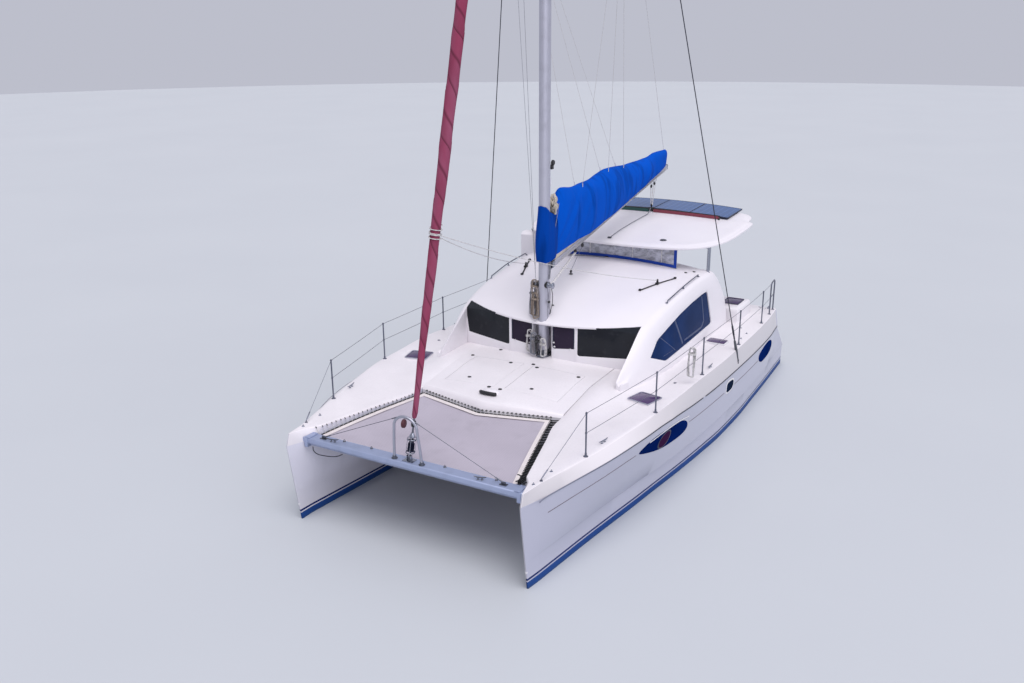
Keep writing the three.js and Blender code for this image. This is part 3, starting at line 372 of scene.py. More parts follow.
def tube(name, path, radius, sides=10, closed=False, flat=1.0, up=None):
    """A tube along a path, with a UV map of its girth and of its length in metres. flat thins a strap."""
    path = [Vector(p) for p in path]
    count = len(path)
    radii = radius if hasattr(radius, "__len__") else [radius] * count
    tangents = []
    for i in range(count):
        ahead = path[(i + 1) % count] if closed or i < count - 1 else path[i]
        behind = path[i - 1] if closed or i else path[i]
        tangents.append((ahead - behind).normalized())
    side = Vector(up) if up else Vector((0.31, 0.22, 0.93))
    side = (side - tangents[0] * side.dot(tangents[0])).normalized()
    points, lengths, run = [], [], 0.0
    for i, tangent in enumerate(tangents):
        if i:
            run += (path[i] - path[i - 1]).length
            if up:
                side = Vector(up)
            side = (side - tangent * side.dot(tangent)).normalized()
        lengths.append(run)
        other = tangent.cross(side)
        for k in range(sides):
            turn = math.tau * k / sides
            points.append(path[i] + side * (math.cos(turn) * radii[i] * flat) + other * (math.sin(turn) * radii[i]))
    faces, uvs = [], []
    rings = count if closed else count - 1
    for i in range(rings):
        low, high = i * sides, ((i + 1) % count) * sides
        far = lengths[i + 1] if i + 1 < count else run + (path[0] - path[-1]).length
        for k in range(sides):
            n = (k + 1) % sides
            faces.append((low + k, low + n, high + n, high + k))
            uvs += [(k / sides, lengths[i]), ((k + 1) / sides, lengths[i]), ((k + 1) / sides, far), (k / sides, far)]
    if not closed:
        faces.append(tuple(reversed(range(sides))))
        faces.append(tuple(range((count - 1) * sides, count * sides)))
        uvs += [(k / sides, 0.0) for k in reversed(range(sides))]
        uvs += [(k / sides, run) for k in range(sides)]
    return smooth(set_uvs(from_points(name, points, faces), uvs), 50)


def loft(name, rings, caps=True, wrap=True):
    """A skin over rings of the same number of points."""
    count = len(rings[0])
    points = [p for ring in rings for p in ring]
    faces = []
    for r in range(len(rings) - 1):
        for i in range(count if wrap else count - 1):
            j = (i + 1) % count
            low, high = r * count, (r + 1) * count
            faces.append((low + i, low + j, high + j, high + i))
    if caps:
        faces.append(tuple(reversed(range(count))))
        faces.append(tuple(range((len(rings) - 1) * count, len(rings) * count)))
    return outward(from_points(name, points, faces))


def cut(thing, *tools):
    """Cuts tools away from a piece and deletes them."""
    for tool in tools:
        modify(thing, "BOOLEAN", operation="DIFFERENCE", solver="EXACT", object=tool)
        bpy.data.objects.remove(tool)
    return thing


def within(thing, tool):
    """Keeps what a piece shares with a tool and deletes the tool."""
    modify(thing, "BOOLEAN", operation="INTERSECT", solver="EXACT", object=tool)
    bpy.data.objects.remove(tool)
    return thing


def prism(name, outline, low, high, axis="x"):
    """A prism of an outline: [y, z] along x, [x, z] along y or [x, y] along z."""
    if axis == "x":
        rings = [[(at, a, b) for a, b in outline] for at in (low, high)]
    elif axis == "y":
        rings = [[(a, at, b) for a, b in outline] for at in (low, high)]
    else:
        rings = [[(a, b, at) for a, b in outline] for at in (low, high)]
    return loft(name, rings)


def lerp(a, b, t):
    return a + (b - a) * t


def columns_at(rows, y):
    """Every column of a table at y, by a curve that doesn't overshoot."""
    table = np.array(rows, float)
    ys = table[:, 0]
    y = min(max(y, ys[0]), ys[-1])
    i = min(max(int(np.searchsorted(ys, y)) - 1, 0), len(ys) - 2)
    steps = np.diff(ys)
    slopes = np.diff(table[:, 1:], axis=0) / steps[:, None]

    def tangent(k):
        if k == 0:
            return slopes[0]
        if k == len(ys) - 1:
            return slopes[-1]
        a, b = slopes[k - 1], slopes[k]
        same = a * b > 0
        return np.where(same, 2 * a * b / np.where(same, a + b, 1), 0)

    h = steps[i]
    t = (y - ys[i]) / h
    here, there = table[i, 1:], table[i + 1, 1:]
    return ((2 * t ** 3 - 3 * t * t + 1) * here + (t ** 3 - 2 * t * t + t) * h * tangent(i)
            + (3 * t * t - 2 * t ** 3) * there + (t ** 3 - t * t) * h * tangent(i + 1))


# Finishes


class Look:
    """A procedural material that is put together node by node."""

    def __init__(self, name, roughness=0.5, metallic=0.0, **sockets):
        self.material = bpy.data.materials.new(name)
        self.material.use_nodes = True
        self.nodes = self.material.node_tree.nodes
        self.links = self.material.node_tree.links
        self.shader = self.nodes["Principled BSDF"]
        self.set(**{"Roughness": roughness, "Metallic": metallic, **sockets})
        self.place = self.node("ShaderNodeTexCoord").outputs["Object"]

    def set(self, **values):
        for key, value in values.items():
            self.shader.inputs[key.replace("_", " ")].default_value = value

    def node(self, kind, inputs=None, **values):
        node = self.nodes.new(kind)
        for key, value in values.items():
            setattr(node, key, value)
        for key, value in (inputs or {}).items():
            if isinstance(value, bpy.types.NodeSocket):
                self.links.new(value, node.inputs[key])
            else:
                node.inputs[key].default_value = value
        return node

    def uv(self):
        return self.node("ShaderNodeUVMap", uv_map="along").outputs["UV"]

    def split(self, vector):
        return self.node("ShaderNodeSeparateXYZ", {0: vector}).outputs

    def vector(self, x=0.0, y=0.0, z=0.0):
        return self.node("ShaderNodeCombineXYZ", {0: x, 1: y, 2: z}).outputs[0]

    def stretched(self, scale, turn=(0, 0, 0), source=None):
        inputs = {"Vector": source or self.place, "Scale": scale, "Rotation": turn}
        return self.node("ShaderNodeMapping", inputs).outputs[0]

    def noise(self, scale, detail=3.0, source=None, rough=0.5):
        inputs = {"Vector": source or self.place, "Scale": scale, "Detail": detail, "Roughness": rough}
        return self.node("ShaderNodeTexNoise", inputs).outputs["Fac"]

    def cells(self, scale, source=None, feature="F1"):
        inputs = {"Vector": source or self.place, "Scale": scale}
        return self.node("ShaderNodeTexVoronoi", inputs, feature=feature).outputs["Distance"]

    def weave(self, vector, scale):
        """Threads that run both ways."""
        threads = [self.node("ShaderNodeTexWave", {"Vector": vector, "Scale": scale},
                             bands_direction=way).outputs["Fac"] for way in ("X", "Y")]
        return self.math("MULTIPLY", *threads)

    def math(self, operation, a, b=0.0):
        return self.node("ShaderNodeMath", {0: a, 1: b}, operation=operation).outputs[0]

    def ramp(self, factor, *stops, constant=False):
        node = self.node("ShaderNodeValToRGB", {"Fac": factor})
        ramp = node.color_ramp
        ramp.interpolation = "CONSTANT" if constant else "LINEAR"
        while len(ramp.elements) < len(stops):
            ramp.elements.new(0.5)
        for element, (at, colour) in zip(ramp.elements, stops):
            element.position = at
            element.color = (*colour, 1) if hasattr(colour, "__len__") else (colour, colour, colour, 1)
        return node.outputs["Color"]

    def span(self, value, low, high, to_low=0.0, to_high=1.0):
        inputs = {"Value": value, "From Min": low, "From Max": high, "To Min": to_low, "To Max": to_high}
        return self.node("ShaderNodeMapRange", inputs).outputs[0]

    def mix(self, factor, a, b, blend="MIX"):
        node = self.node("ShaderNodeMix", data_type="RGBA", blend_type=blend)
        for key, value in (("Factor", factor), ("A", a), ("B", b)):
            socket = next(s for s in node.inputs if s.name == key
                          and s.type == ("VALUE" if key == "Factor" else "RGBA"))
            if isinstance(value, bpy.types.NodeSocket):
                self.links.new(value, socket)
            else:
                socket.default_value = value if key == "Factor" else (*value[:3], 1)
        return next(s for s in node.outputs if s.type == "RGBA")

    def colour(self, value):
        socket = self.shader.inputs["Base Color"]
        if isinstance(value, bpy.types.NodeSocket):
            self.links.new(value, socket)
        else:
            socket.default_value = (*value[:3], 1)
        return self

    def rough(self, value):
        self.links.new(value, self.shader.inputs["Roughness"])
        return self

    def bump(self, height, strength=0.3, distance=0.002):
        inputs = {"Height": height, "Strength": strength, "Distance": distance}
        node = self.node("ShaderNodeBump", inputs)
        self.links.new(node.outputs[0], self.shader.inputs["Normal"])
        return self


def shade(colour, by):
    """A lighter or darker tone of a colour."""
    return tuple(min(1.0, channel * by) for channel in colour)


def outboard(look, start, end):
    """How far a face of a hull looks outboard, from 0 at start to 1 at end; it masks the painted shade on outboard
    faces.
    """
    x, _, _ = look.split(look.place)
    facing, _, _ = look.split(look.node("ShaderNodeNewGeometry").outputs["Normal"])
    return look.ramp(look.math("MULTIPLY", facing, look.math("SIGN", x)), (start, 0.0), (end, 1.0))


def painted_hull(look, tones):
    """White gelcoat with painted bands at the waterline and faint streaks, and painted shade on faces that look
    outboard.
    """
    _, _, z = look.split(look.place)
    streaks = look.noise(1.0, 4, look.stretched((5.0, 5.0, 0.5)))
    broad = look.noise(0.5, 3)
    white = look.mix(look.ramp(broad, (0.35, 0.0), (0.7, 1.0)), tones.hull, shade(tones.hull, 0.955))
    white = look.mix(look.ramp(streaks, (0.52, 0.0), (0.8, 0.30)), white, shade(tones.hull, 0.82))
    low = look.span(z, 0.20, 0.75, 0.32, 0.0)
    white = look.mix(look.math("MULTIPLY", low, look.noise(2.2, 4)), white, (0.60, 0.56, 0.50))
    # Faces that look outboard take a darker, bluer tone: painted shade and painted reflection of dark water.
    white = look.mix(outboard(look, 0.25, 0.6), white, OUTBOARD_PAINTED_SHADE)
    blue = look.mix(look.noise(6.0, 5), tones.antifouling, shade(tones.antifouling, 1.35))
    scum = look.math("ADD", z, look.math("MULTIPLY", look.noise(7.0, 4), 0.03))
    blue = look.mix(look.span(scum, 0.0, 0.055, 0.6, 0.0), blue, (0.05, 0.08, 0.09))
    band = look.span(z, -1.0, 1.0)
    stripes = look.ramp(band, (0.0, 0.0), (0.559, 1.0), (0.574, 0.0), (0.592, 1.0), constant=True)
    navy = look.mix(look.span(z, 0.135, 0.136), blue, tones.navy)
    look.colour(look.mix(stripes, navy, white))
    look.rough(look.mix(look.span(z, 0.115, 0.119), (0.62,) * 3, (0.2,) * 3))
    look.bump(look.noise(3.0, 2), 0.06, 0.01)
    look.set(Specular_IOR_Level=0.22, Coat_Weight=0.08, Coat_Roughness=0.08)


def deck_gelcoat(look, tones):
    """Off-white gelcoat with a fine anti-slip grain on what faces up, weathering, and painted shade on faces that
    look outboard.
    """
    normal = look.node("ShaderNodeNewGeometry").outputs["Normal"]
    _, _, up = look.split(normal)
    flat = look.ramp(up, (0.90, 0.0), (0.97, 1.0))
    grime = look.noise(1.7, 6)
    tone = look.mix(look.ramp(grime, (0.42, 0.0), (0.75, 0.55)), tones.deck, shade(tones.deck, 0.90))
    fine = look.noise(36.0, 3)
    tone = look.mix(look.math("MULTIPLY", flat, look.ramp(fine, (0.45, 0.0), (0.7, 0.28))), tone,
                    shade(tones.deck, 0.84))
    # Faces that look outboard are darkened: painted shade.
    look.colour(look.mix(outboard(look, 0.35, 0.8), tone, shade(tones.deck, 0.74)))
    look.rough(look.mix(flat, (0.24,) * 3, (0.46,) * 3))
    look.bump(look.math("MULTIPLY", flat, look.cells(260.0)), 0.30, 0.0015)
    look.set(Coat_Weight=0.15, Coat_Roughness=0.1)


def smooth_gelcoat(look, tones):
    """Polished off-white gelcoat."""
    grime = look.noise(1.2, 5)
    look.colour(look.mix(look.ramp(grime, (0.42, 0.0), (0.8, 0.5)), tones.roof, shade(tones.roof, 0.94)))
    look.rough(look.ramp(look.noise(5.0, 3), (0.3, 0.30), (0.8, 0.42)))
    look.set(Specular_IOR_Level=0.35)


def tinted_glass(look, colour, gloss=0.06, mirror=0.22, dusty=0.05):
    """Dark glazing with a little dust and a soft tone change."""
    dust = look.noise(9.0, 5)
    broad = look.noise(1.3, 2)
    tone = look.mix(look.ramp(broad, (0.35, 0.0), (0.7, 1.0)), colour, shade(colour, 1.5))
    look.colour(look.mix(look.ramp(dust, (0.58, 0.0), (0.95, dusty)), tone, (0.4, 0.4, 0.42)))
    look.rough(look.ramp(dust, (0.4, gloss), (0.85, gloss + 0.12)))
    look.set(Specular_IOR_Level=mirror)


def metal(look, colour, rough, grain=(180.0, 180.0, 6.0), depth=0.04, share=1.0):
    """Brushed or polished metal with fine grain and a few stains."""
    lines = look.noise(1.0, 2, look.stretched(grain))
    stain = look.noise(5.0, 5)
    look.colour(look.mix(look.ramp(stain, (0.5, 0.0), (0.85, 0.6)), colour, shade(colour, 0.72)))
    look.rough(look.span(lines, 0.3, 0.7, rough * 0.8, rough * 1.25))
    look.bump(lines, depth, 0.001)
    look.set(Metallic=share)


def canvas(look, colour, faded=1.12):
    """Woven canvas, paler in patches, with soil and fold shadows."""
    weave = look.weave(look.uv(), 130.0)
    patches = look.noise(1.1, 4)
    tone = look.mix(look.ramp(patches, (0.38, 0.0), (0.72, 1.0)), colour, shade(colour, faded))
    soil = look.noise(8.0, 6)
    tone = look.mix(look.ramp(soil, (0.6, 0.0), (0.9, 0.25)), tone, shade(colour, 0.75))
    tone = look.mix(look.math("MULTIPLY", weave, 0.15), tone, shade(colour, 0.72))
    folds = look.noise(1.0, 3, look.stretched((1.6, 3.6, 0.55)), 0.55)
    tone = look.mix(look.ramp(folds, (0.50, 0.0), (0.60, 0.85), (0.66, 0.1), (0.78, 0.6)), tone, shade(colour, 0.66))
    look.colour(tone)
    look.bump(weave, 0.2, 0.0006)
    look.set(Roughness=0.85, Specular_IOR_Level=0.06)


def rolled_sail(look, tones):
    """Red sail cloth rolled on the stay, paler in patches, its edges winding up in a steep spiral, with painted shade
    graded across each wrap.
    """
    x, y, z = look.split(look.place)
    centre = look.node("ShaderNodeMath", {0: z, 1: STAY_SLOPE, 2: STAY_Y}, operation="MULTIPLY_ADD").outputs[0]
    off = look.math("SUBTRACT", y, centre)
    turn = look.math("DIVIDE", look.math("ARCTAN2", off, x), math.tau)
    drift = look.math("MULTIPLY", look.noise(0.35, 2), 1.2)
    wind = look.math("FRACT", look.math("ADD", look.math("ADD", turn, drift), look.math("MULTIPLY", z, 1.35)))
    seam = look.ramp(wind, (0.0, 1.0), (0.07, 0.0), (0.44, 0.0), (0.5, 0.85), (0.57, 0.0), (0.96, 0.1))
    # Each wrap runs from darker, where it starts under the wrap that laps over it, to paler at its own edge: painted
    # shade.
    tone = look.mix(look.ramp(wind, (0.0, 0.0), (1.0, 1.0)), shade(tones.sail, 0.85), shade(tones.sail, 1.22))
    fade = look.noise(1.4, 5, look.stretched((3.0, 3.0, 0.8)))
    tone = look.mix(look.ramp(fade, (0.35, 0.0), (0.7, 0.75)), tone, tones.sail_faded)
    look.colour(look.mix(seam, tone, shade(tones.sail, 0.42)))
    fine = look.noise(60.0, 3, look.stretched((4.0, 4.0, 0.6)))
    look.bump(look.math("ADD", look.math("MULTIPLY", seam, -0.7), look.math("MULTIPLY", fine, 0.5)), 0.5, 0.006)
    look.set(Roughness=0.85, Specular_IOR_Level=0.2)


def net_cloth(look, tones):
    """Close woven polyester net, a little darker in its open cells: painted shade of what lies below them."""
    x, y, _ = look.split(look.place)
    across = look.math("ADD", x, y)
    along = look.math("SUBTRACT", x, y)
    lines = [look.math("ABSOLUTE", look.math("SINE", look.math("MULTIPLY", v, 95.0))) for v in (across, along)]
    weave = look.math("MULTIPLY", lines[0], lines[1])
    broad = look.noise(0.9, 5)
    tone = look.mix(look.ramp(broad, (0.35, 0.0), (0.7, 1.0)), tones.net, shade(tones.net, 0.88))
    stains = look.noise(3.0, 6)
    tone = look.mix(look.ramp(stains, (0.55, 0.0), (0.8, 0.5)), tone, shade(tones.net, 0.75))
    # The open cells are darkened: painted shade.
    look.colour(look.mix(look.math("MULTIPLY", weave, 0.45), tone, shade(tones.net, 0.55)))
    look.bump(weave, 0.5, 0.002)
    look.set(Roughness=0.9)


def webbing(look, colour):
    """Woven webbing or bolt tape."""
    ribs = look.node("ShaderNodeTexWave", {"Vector": look.uv(), "Scale": 60.0}, bands_direction="Y").outputs["Fac"]
    dirt = look.noise(7.0, 5)
    tone = look.mix(look.ramp(dirt, (0.45, 0.0), (0.8, 0.7)), colour, shade(colour, 0.78))
    look.colour(look.mix(look.math("MULTIPLY", ribs, 0.25), tone, shade(colour, 0.65)))
    look.bump(ribs, 0.4, 0.001)
    look.set(Roughness=0.85)


def laid_rope(look, colour, fleck, turns=3.0, pitch=26.0):
    """Braided rope: a diagonal lay along its length with a coloured fleck, and painted shade in the grooves between
    strands.
    """
    u, v, _ = look.split(look.uv())
    wind = look.math("ADD", look.math("MULTIPLY", u, turns), look.math("MULTIPLY", v, pitch))
    strand = look.math("ABSOLUTE", look.math("SINE", look.math("MULTIPLY", wind, math.pi)))
    fleck_at = look.math("LESS_THAN", look.math("FRACT", look.math("MULTIPLY", wind, 0.5)), 0.16)
    tone = look.mix(look.ramp(look.noise(12.0, 4), (0.4, 0.0), (0.75, 0.8)), colour, shade(colour, 0.74))
    tone = look.mix(look.math("MULTIPLY", fleck_at, 0.8), tone, fleck)
    # The grooves between the strands are darkened: painted shade.
    look.colour(look.mix(look.ramp(strand, (0.0, 0.6), (0.35, 0.0)), tone, shade(colour, 0.35)))
    look.bump(strand, 0.6, 0.002)
    look.set(Roughness=0.88)


def moulded(look, colour, rough=0.45, grain=90.0):
    """Moulded plastic or rubber with a fine grain and dusty patches."""
    dust = look.noise(14.0, 5)
    look.colour(look.mix(look.ramp(dust, (0.5, 0.0), (0.85, 0.35)), colour, shade(colour, 1.8)))
    look.rough(look.ramp(dust, (0.3, rough), (0.8, min(1.0, rough + 0.2))))
    look.bump(look.noise(grain, 3), 0.12, 0.0006)


def solar_glass(look, tones):
    """Blue cells with pale fore-and-aft busbars, behind glass."""
    x, y, _ = look.split(look.place)
    bars = look.math("FRACT", look.math("DIVIDE", x, 0.14))
    bar = look.math("LESS_THAN", bars, 0.10)
    rows = look.math("LESS_THAN", look.math("FRACT", look.math("DIVIDE", y, 0.157)), 0.03)
    tone = look.mix(look.noise(2.0, 3), tones.cells, shade(tones.cells, 1.3))
    tone = look.mix(look.math("MULTIPLY", rows, 0.35), tone, (0.11, 0.20, 0.42))
    look.colour(look.mix(look.math("MULTIPLY", bar, 0.55), tone, (0.10, 0.20, 0.46)))
    look.rough(look.ramp(look.noise(6.0, 4), (0.4, 0.12), (0.8, 0.25)))
    look.set(Specular_IOR_Level=0.12)


def clear_vinyl(look, tones):
    """Clear flexible sheet, cloudy and creased, with blue-grey and white patches."""
    cloud = look.noise(7.0, 6, look.stretched((1.0, 1.0, 1.6)), 0.7)
    tone = look.mix(look.ramp(cloud, (0.38, 0.0), (0.62, 1.0)), shade(tones.vinyl, 0.42), tones.vinyl)
    look.colour(tone)
    look.bump(look.noise(4.0, 3, look.stretched((1.0, 1.0, 0.4))), 0.35, 0.02)
    look.set(Roughness=0.12, Alpha=0.72)


def rub_strip(look, tones):
    """Dark rubbing strake that fades to a paler grey at the bow."""
    _, y, _ = look.split(look.place)
    scuff = look.noise(11.0, 5)
    tone = look.mix(look.ramp(scuff, (0.5, 0.0), (0.85, 0.5)), (0.045, 0.050, 0.065), (0.10, 0.11, 0.13))
    look.colour(look.mix(look.span(y, -5.4, -2.6, 0.85, 0.0), tone, (0.24, 0.25, 0.32)))
    look.bump(look.noise(60.0, 3), 0.12, 0.0006)
    look.set(Roughness=0.5, Specular_IOR_Level=0.25)


def cushion_cloth(look, colour):
    """Woven upholstery."""
    weave = look.weave(look.stretched((1, 1, 1), (0, 0, 0.785)), 160.0)
    look.colour(look.mix(look.math("MULTIPLY", weave, 0.3), colour, shade(colour, 0.7)))
    look.bump(weave, 0.3, 0.001)
    look.set(Roughness=0.88, Sheen_Weight=0.2, Sheen_Roughness=0.5)


# The outboard faces' darker, bluer tone: painted shade and painted reflection of dark water.
OUTBOARD_PAINTED_SHADE = (0.478, 0.483, 0.575)
FINISH_MAKERS = {
    "hull": (painted_hull, {}),
    "deck": (deck_gelcoat, {}),
    "roof": (smooth_gelcoat, {}),
    "glass": (tinted_glass, {"colour": (0.010, 0.012, 0.016)}),
    "side_glass": (tinted_glass, {"colour": (0.007, 0.022, 0.080), "gloss": 0.08, "mirror": 0.018}),
    "port_glass": (tinted_glass, {"colour": (0.010, 0.018, 0.042), "gloss": 0.10, "mirror": 0.0, "dusty": 0.02}),
    "eye_glass": (tinted_glass, {"colour": (0.002, 0.012, 0.085), "gloss": 0.10, "mirror": 0.0, "dusty": 0.015}),
    "eye_violet": (tinted_glass, {"colour": (0.045, 0.014, 0.050), "gloss": 0.12, "mirror": 0.0, "dusty": 0.02}),
    "light_glass": (tinted_glass, {"colour": (0.022, 0.015, 0.032), "mirror": 0.15}),
    "violet": (tinted_glass, {"colour": (0.052, 0.030, 0.085), "mirror": 0.2}),
    "alloy": (metal, {"colour": (0.46, 0.47, 0.54), "rough": 0.42}),
    "beam_alloy": (metal, {"colour": (0.42, 0.48, 0.66), "rough": 0.48, "share": 0.7}),
    "mast_alloy": (metal, {"colour": (0.50, 0.50, 0.57), "rough": 0.42, "share": 0.6}),
    "steel": (metal, {"colour": (0.36, 0.38, 0.44), "rough": 0.22, "depth": 0.02}),
    "rail_steel": (metal, {"colour": (0.17, 0.18, 0.23), "rough": 0.28, "depth": 0.02}),
    "dull_steel": (metal, {"colour": (0.16, 0.17, 0.20), "rough": 0.34}),
    "dark_wire": (metal, {"colour": (0.035, 0.038, 0.055), "rough": 0.4, "share": 0.6}),
    "bronze": (metal, {"colour": (0.42, 0.27, 0.11), "rough": 0.35}),
    "engine_paint": (moulded, {"colour": (0.14, 0.15, 0.16), "rough": 0.5}),
    "canvas": (canvas, {"colour": (0.0, 0.074, 0.47)}),
    # The apron's canvas is the cover's blue in a darker tone: painted shade.
    "apron_canvas_painted_shade": (canvas, {"colour": (0.0, 0.046, 0.31)}),
    "rolled_sail": (rolled_sail, {}),
    "sailcloth": (canvas, {"colour": (0.55, 0.50, 0.43), "faded": 1.15}),
    "net": (net_cloth, {}),
    "border": (webbing, {"colour": (0.78, 0.72, 0.71)}),
    "black_webbing": (webbing, {"colour": (0.012, 0.012, 0.014)}),
    "blue_webbing": (webbing, {"colour": (0.004, 0.045, 0.34)}),
    "white_rope": (laid_rope, {"colour": (0.68, 0.66, 0.64), "fleck": (0.10, 0.12, 0.22)}),
    "tan_rope": (laid_rope, {"colour": (0.33, 0.27, 0.22), "fleck": (0.10, 0.09, 0.09)}),
    "grey_rope": (laid_rope, {"colour": (0.26, 0.27, 0.31), "fleck": (0.05, 0.05, 0.06)}),
    "black_rope": (laid_rope, {"colour": (0.03, 0.03, 0.035), "fleck": (0.25, 0.25, 0.25)}),
    "black": (moulded, {"colour": (0.014, 0.014, 0.016)}),
    "navy": (moulded, {"colour": (0.010, 0.014, 0.040)}),
    "rubber": (moulded, {"colour": (0.05, 0.05, 0.055), "rough": 0.7}),
    "grey_rub": (moulded, {"colour": (0.055, 0.06, 0.075), "rough": 0.5}),
    "rub_strip": (rub_strip, {}),
    "pinstripe": (moulded, {"colour": (0.16, 0.13, 0.15), "rough": 0.3}),
    "white_plastic": (moulded, {"colour": (0.72, 0.71, 0.73), "rough": 0.35}),
    "maroon": (moulded, {"colour": (0.07, 0.014, 0.022), "rough": 0.5}),
    "red_cover": (moulded, {"colour": (0.20, 0.035, 0.055), "rough": 0.6}),
    "green_cover": (moulded, {"colour": (0.02, 0.075, 0.065), "rough": 0.6}),
    "antifouling": (moulded, {"colour": (0.010, 0.045, 0.22), "rough": 0.75}),
    "cells": (solar_glass, {}),
    "vinyl": (clear_vinyl, {}),
    "cushion": (cushion_cloth, {"colour": (0.52, 0.49, 0.43)}),
    "window_bar": (moulded, {"colour": (0.035, 0.055, 0.13), "rough": 0.35}),
    "wood": (moulded, {"colour": (0.20, 0.09, 0.035), "rough": 0.4}),
}
FINISHES = {}


def finish(name):
    """The material of a finish, made the first time it is asked for."""
    if name not in FINISHES:
        maker, values = FINISH_MAKERS[name]
        look = Look(name)
        if values:
            maker(look, **values)
        else:
            maker(look, bpy.context.scene.catamaran_finishes)
        FINISHES[name] = look.material
    return FINISHES[name]


def dress(thing, look, slot, body=BOAT, stands_for=()):
    """Gives a piece its finish, rides it on its body if it has one, and lets it stand for CAD nodes. slot is not
    used.
    """
    if look:
        thing.data.materials.clear()
        thing.data.materials.append(finish(look))
    if body:
        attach(thing, body)
    if stands_for:
        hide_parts(*([stands_for] if isinstance(stands_for, str) else stands_for))
    return thing


def refined(node, name, width=0.006, segments=2, degrees=35):
    """A copy of a CAD node with its flat faces merged and its edges rounded."""
    source = NODES[node]
    twin = bpy.data.objects.new(name, source.data.copy())
    bpy.context.scene.collection.objects.link(twin)
    edited(twin, (bpy.ops.mesh.remove_doubles, {"threshold": 0.0001}),
           (bpy.ops.mesh.dissolve_limited, {"angle_limit": math.radians(1.0)}))
    if width:
        soften(twin, width, segments, degrees)
    return smooth(twin, degrees)


# Hulls


def stem_y(z):
    if z > BOW_RUB_Z:
        return lerp(-6.010, -5.935, (z - BOW_RUB_Z) / (BOW_DECK_Z - BOW_RUB_Z))
    if z >= 0:
        return lerp(-5.800, -6.010, z / BOW_RUB_Z)
    return -5.800 - z * 0.9


def hull_ring(y):
    """The outline of the port hull at y, from the keel up its outer side, over the deck and down its inner side."""
    keel, outer, inner, chine, rub_x, rub_z, edge_x, edge_z, low_z, deck_in, in_z = columns_at(HULL_ROWS, y)
    keel_x = (outer + inner) / 2
    bridge = min(max((y + 3.4) / 0.7, 0), 1)
    chine_in = lerp(inner, deck_in, lerp(0.22, 0.05, bridge))
    wall_x = lerp(lerp(inner, deck_in, 0.62), 1.452, bridge)
    under_x = lerp(lerp(inner, deck_in, 0.8), deck_in, bridge)
    nose = 0.075 * min(max((-5.40 - y) / 0.15, 0), 1)
    lip = deck_in + nose
    points = [
        (keel_x, keel),
        (lerp(keel_x, outer, 0.30), keel * 0.97),
        (lerp(keel_x, outer, 0.55), keel * 0.88),
        (lerp(keel_x, outer, 0.74), keel * 0.71),
        (lerp(keel_x, outer, 0.88), keel * 0.5),
        (lerp(keel_x, outer, 0.96), keel * 0.25),
        (outer, 0.0),
        (lerp(outer, chine, 0.16), 0.23),
        (lerp(outer, chine, 0.32), CHINE_Z - 0.060),
        (lerp(outer, chine, 0.58), CHINE_Z - 0.036),
        (chine, CHINE_Z),
        (lerp(chine, rub_x, 0.34), lerp(CHINE_Z, rub_z, 0.34)),
        (lerp(chine, rub_x, 0.68), lerp(CHINE_Z, rub_z, 0.68)),
        (rub_x - 0.008, rub_z - 0.040),
        (rub_x - 0.007, rub_z - 0.016),
        (rub_x, rub_z - 0.010),
        (rub_x, rub_z + 0.006),
        (lerp(rub_x, edge_x, 0.80), lerp(rub_z, edge_z, 0.87)),
        (lerp(rub_x, edge_x, 0.93), lerp(rub_z, edge_z, 0.96)),
        (edge_x - 0.034, edge_z),
        (lerp(edge_x, lip, 0.30), lerp(low_z, in_z, 0.10)),
        (lerp(edge_x, lip, 0.52), lerp(low_z, in_z, 0.24)),
        (lerp(edge_x, lip, 0.66), lerp(low_z, in_z, 0.60)),
        (lerp(edge_x, lip, 0.76), lerp(low_z, in_z, 0.88)),
        (lerp(edge_x, lip, 0.86), lerp(low_z, in_z, 0.98)),
        (lip + 0.024, in_z),
        (lip + 0.006, in_z - 0.008),
        (lip - nose * 0.15, in_z - 0.024),
        (deck_in, in_z - 0.030 - nose * 2.2),
        (under_x, 1.080),
        (wall_x, 0.740),
        (chine_in, CHINE_Z),
        (lerp(chine_in, inner, 0.5), 0.30),
        (inner, 0.0),
        (lerp(keel_x, inner, 0.96), keel * 0.25),
        (lerp(keel_x, inner, 0.88), keel * 0.5),
        (lerp(keel_x, inner, 0.74), keel * 0.71),
        (lerp(keel_x, inner, 0.55), keel * 0.88),
        (lerp(keel_x, inner, 0.30), keel * 0.97),
    ]
    return [(x, y, z) for x, z in points]


OUTER_POINTS = range(1, 20)
DECK_POINTS = range(20, 25)


def stem_rings():
    """The rounded stem: rings that close in from the first station to the leading edge."""
    first = hull_ring(HULL_ROWS[0][0])
    tip = []
    for i, (_, _, z) in enumerate(first):
        high = min(max(z, -0.15), BOW_DECK_Z)
        side = STEM_HALF if i in OUTER_POINTS else (0.0 if i == 0 or i in DECK_POINTS else -STEM_HALF)
        tip.append(Vector((STEM_X + side, stem_y(high), high)))
    rings = []
    for t in (0.0, 0.25, 0.5, 0.75, 0.92):
        rings.append([tuple(a.lerp(Vector(b), t)) for a, b in zip(tip, first)])
    nose = []
    for (x, y, z) in rings[0]:
        nose.append((lerp(STEM_X, x, 0.35), y - 0.006, z))
    return [nose, *rings]


def hull_side_x(y, z):
    """How far out the port hull's outer side is at y and z."""
    ring = hull_ring(y)[6:17]
    for (x0, _, z0), (x1, _, z1) in zip(ring, ring[1:]):
        if z0 <= z <= z1:
            return lerp(x0, x1, (z - z0) / max(z1 - z0, 1e-6))
    return ring[-1][0]


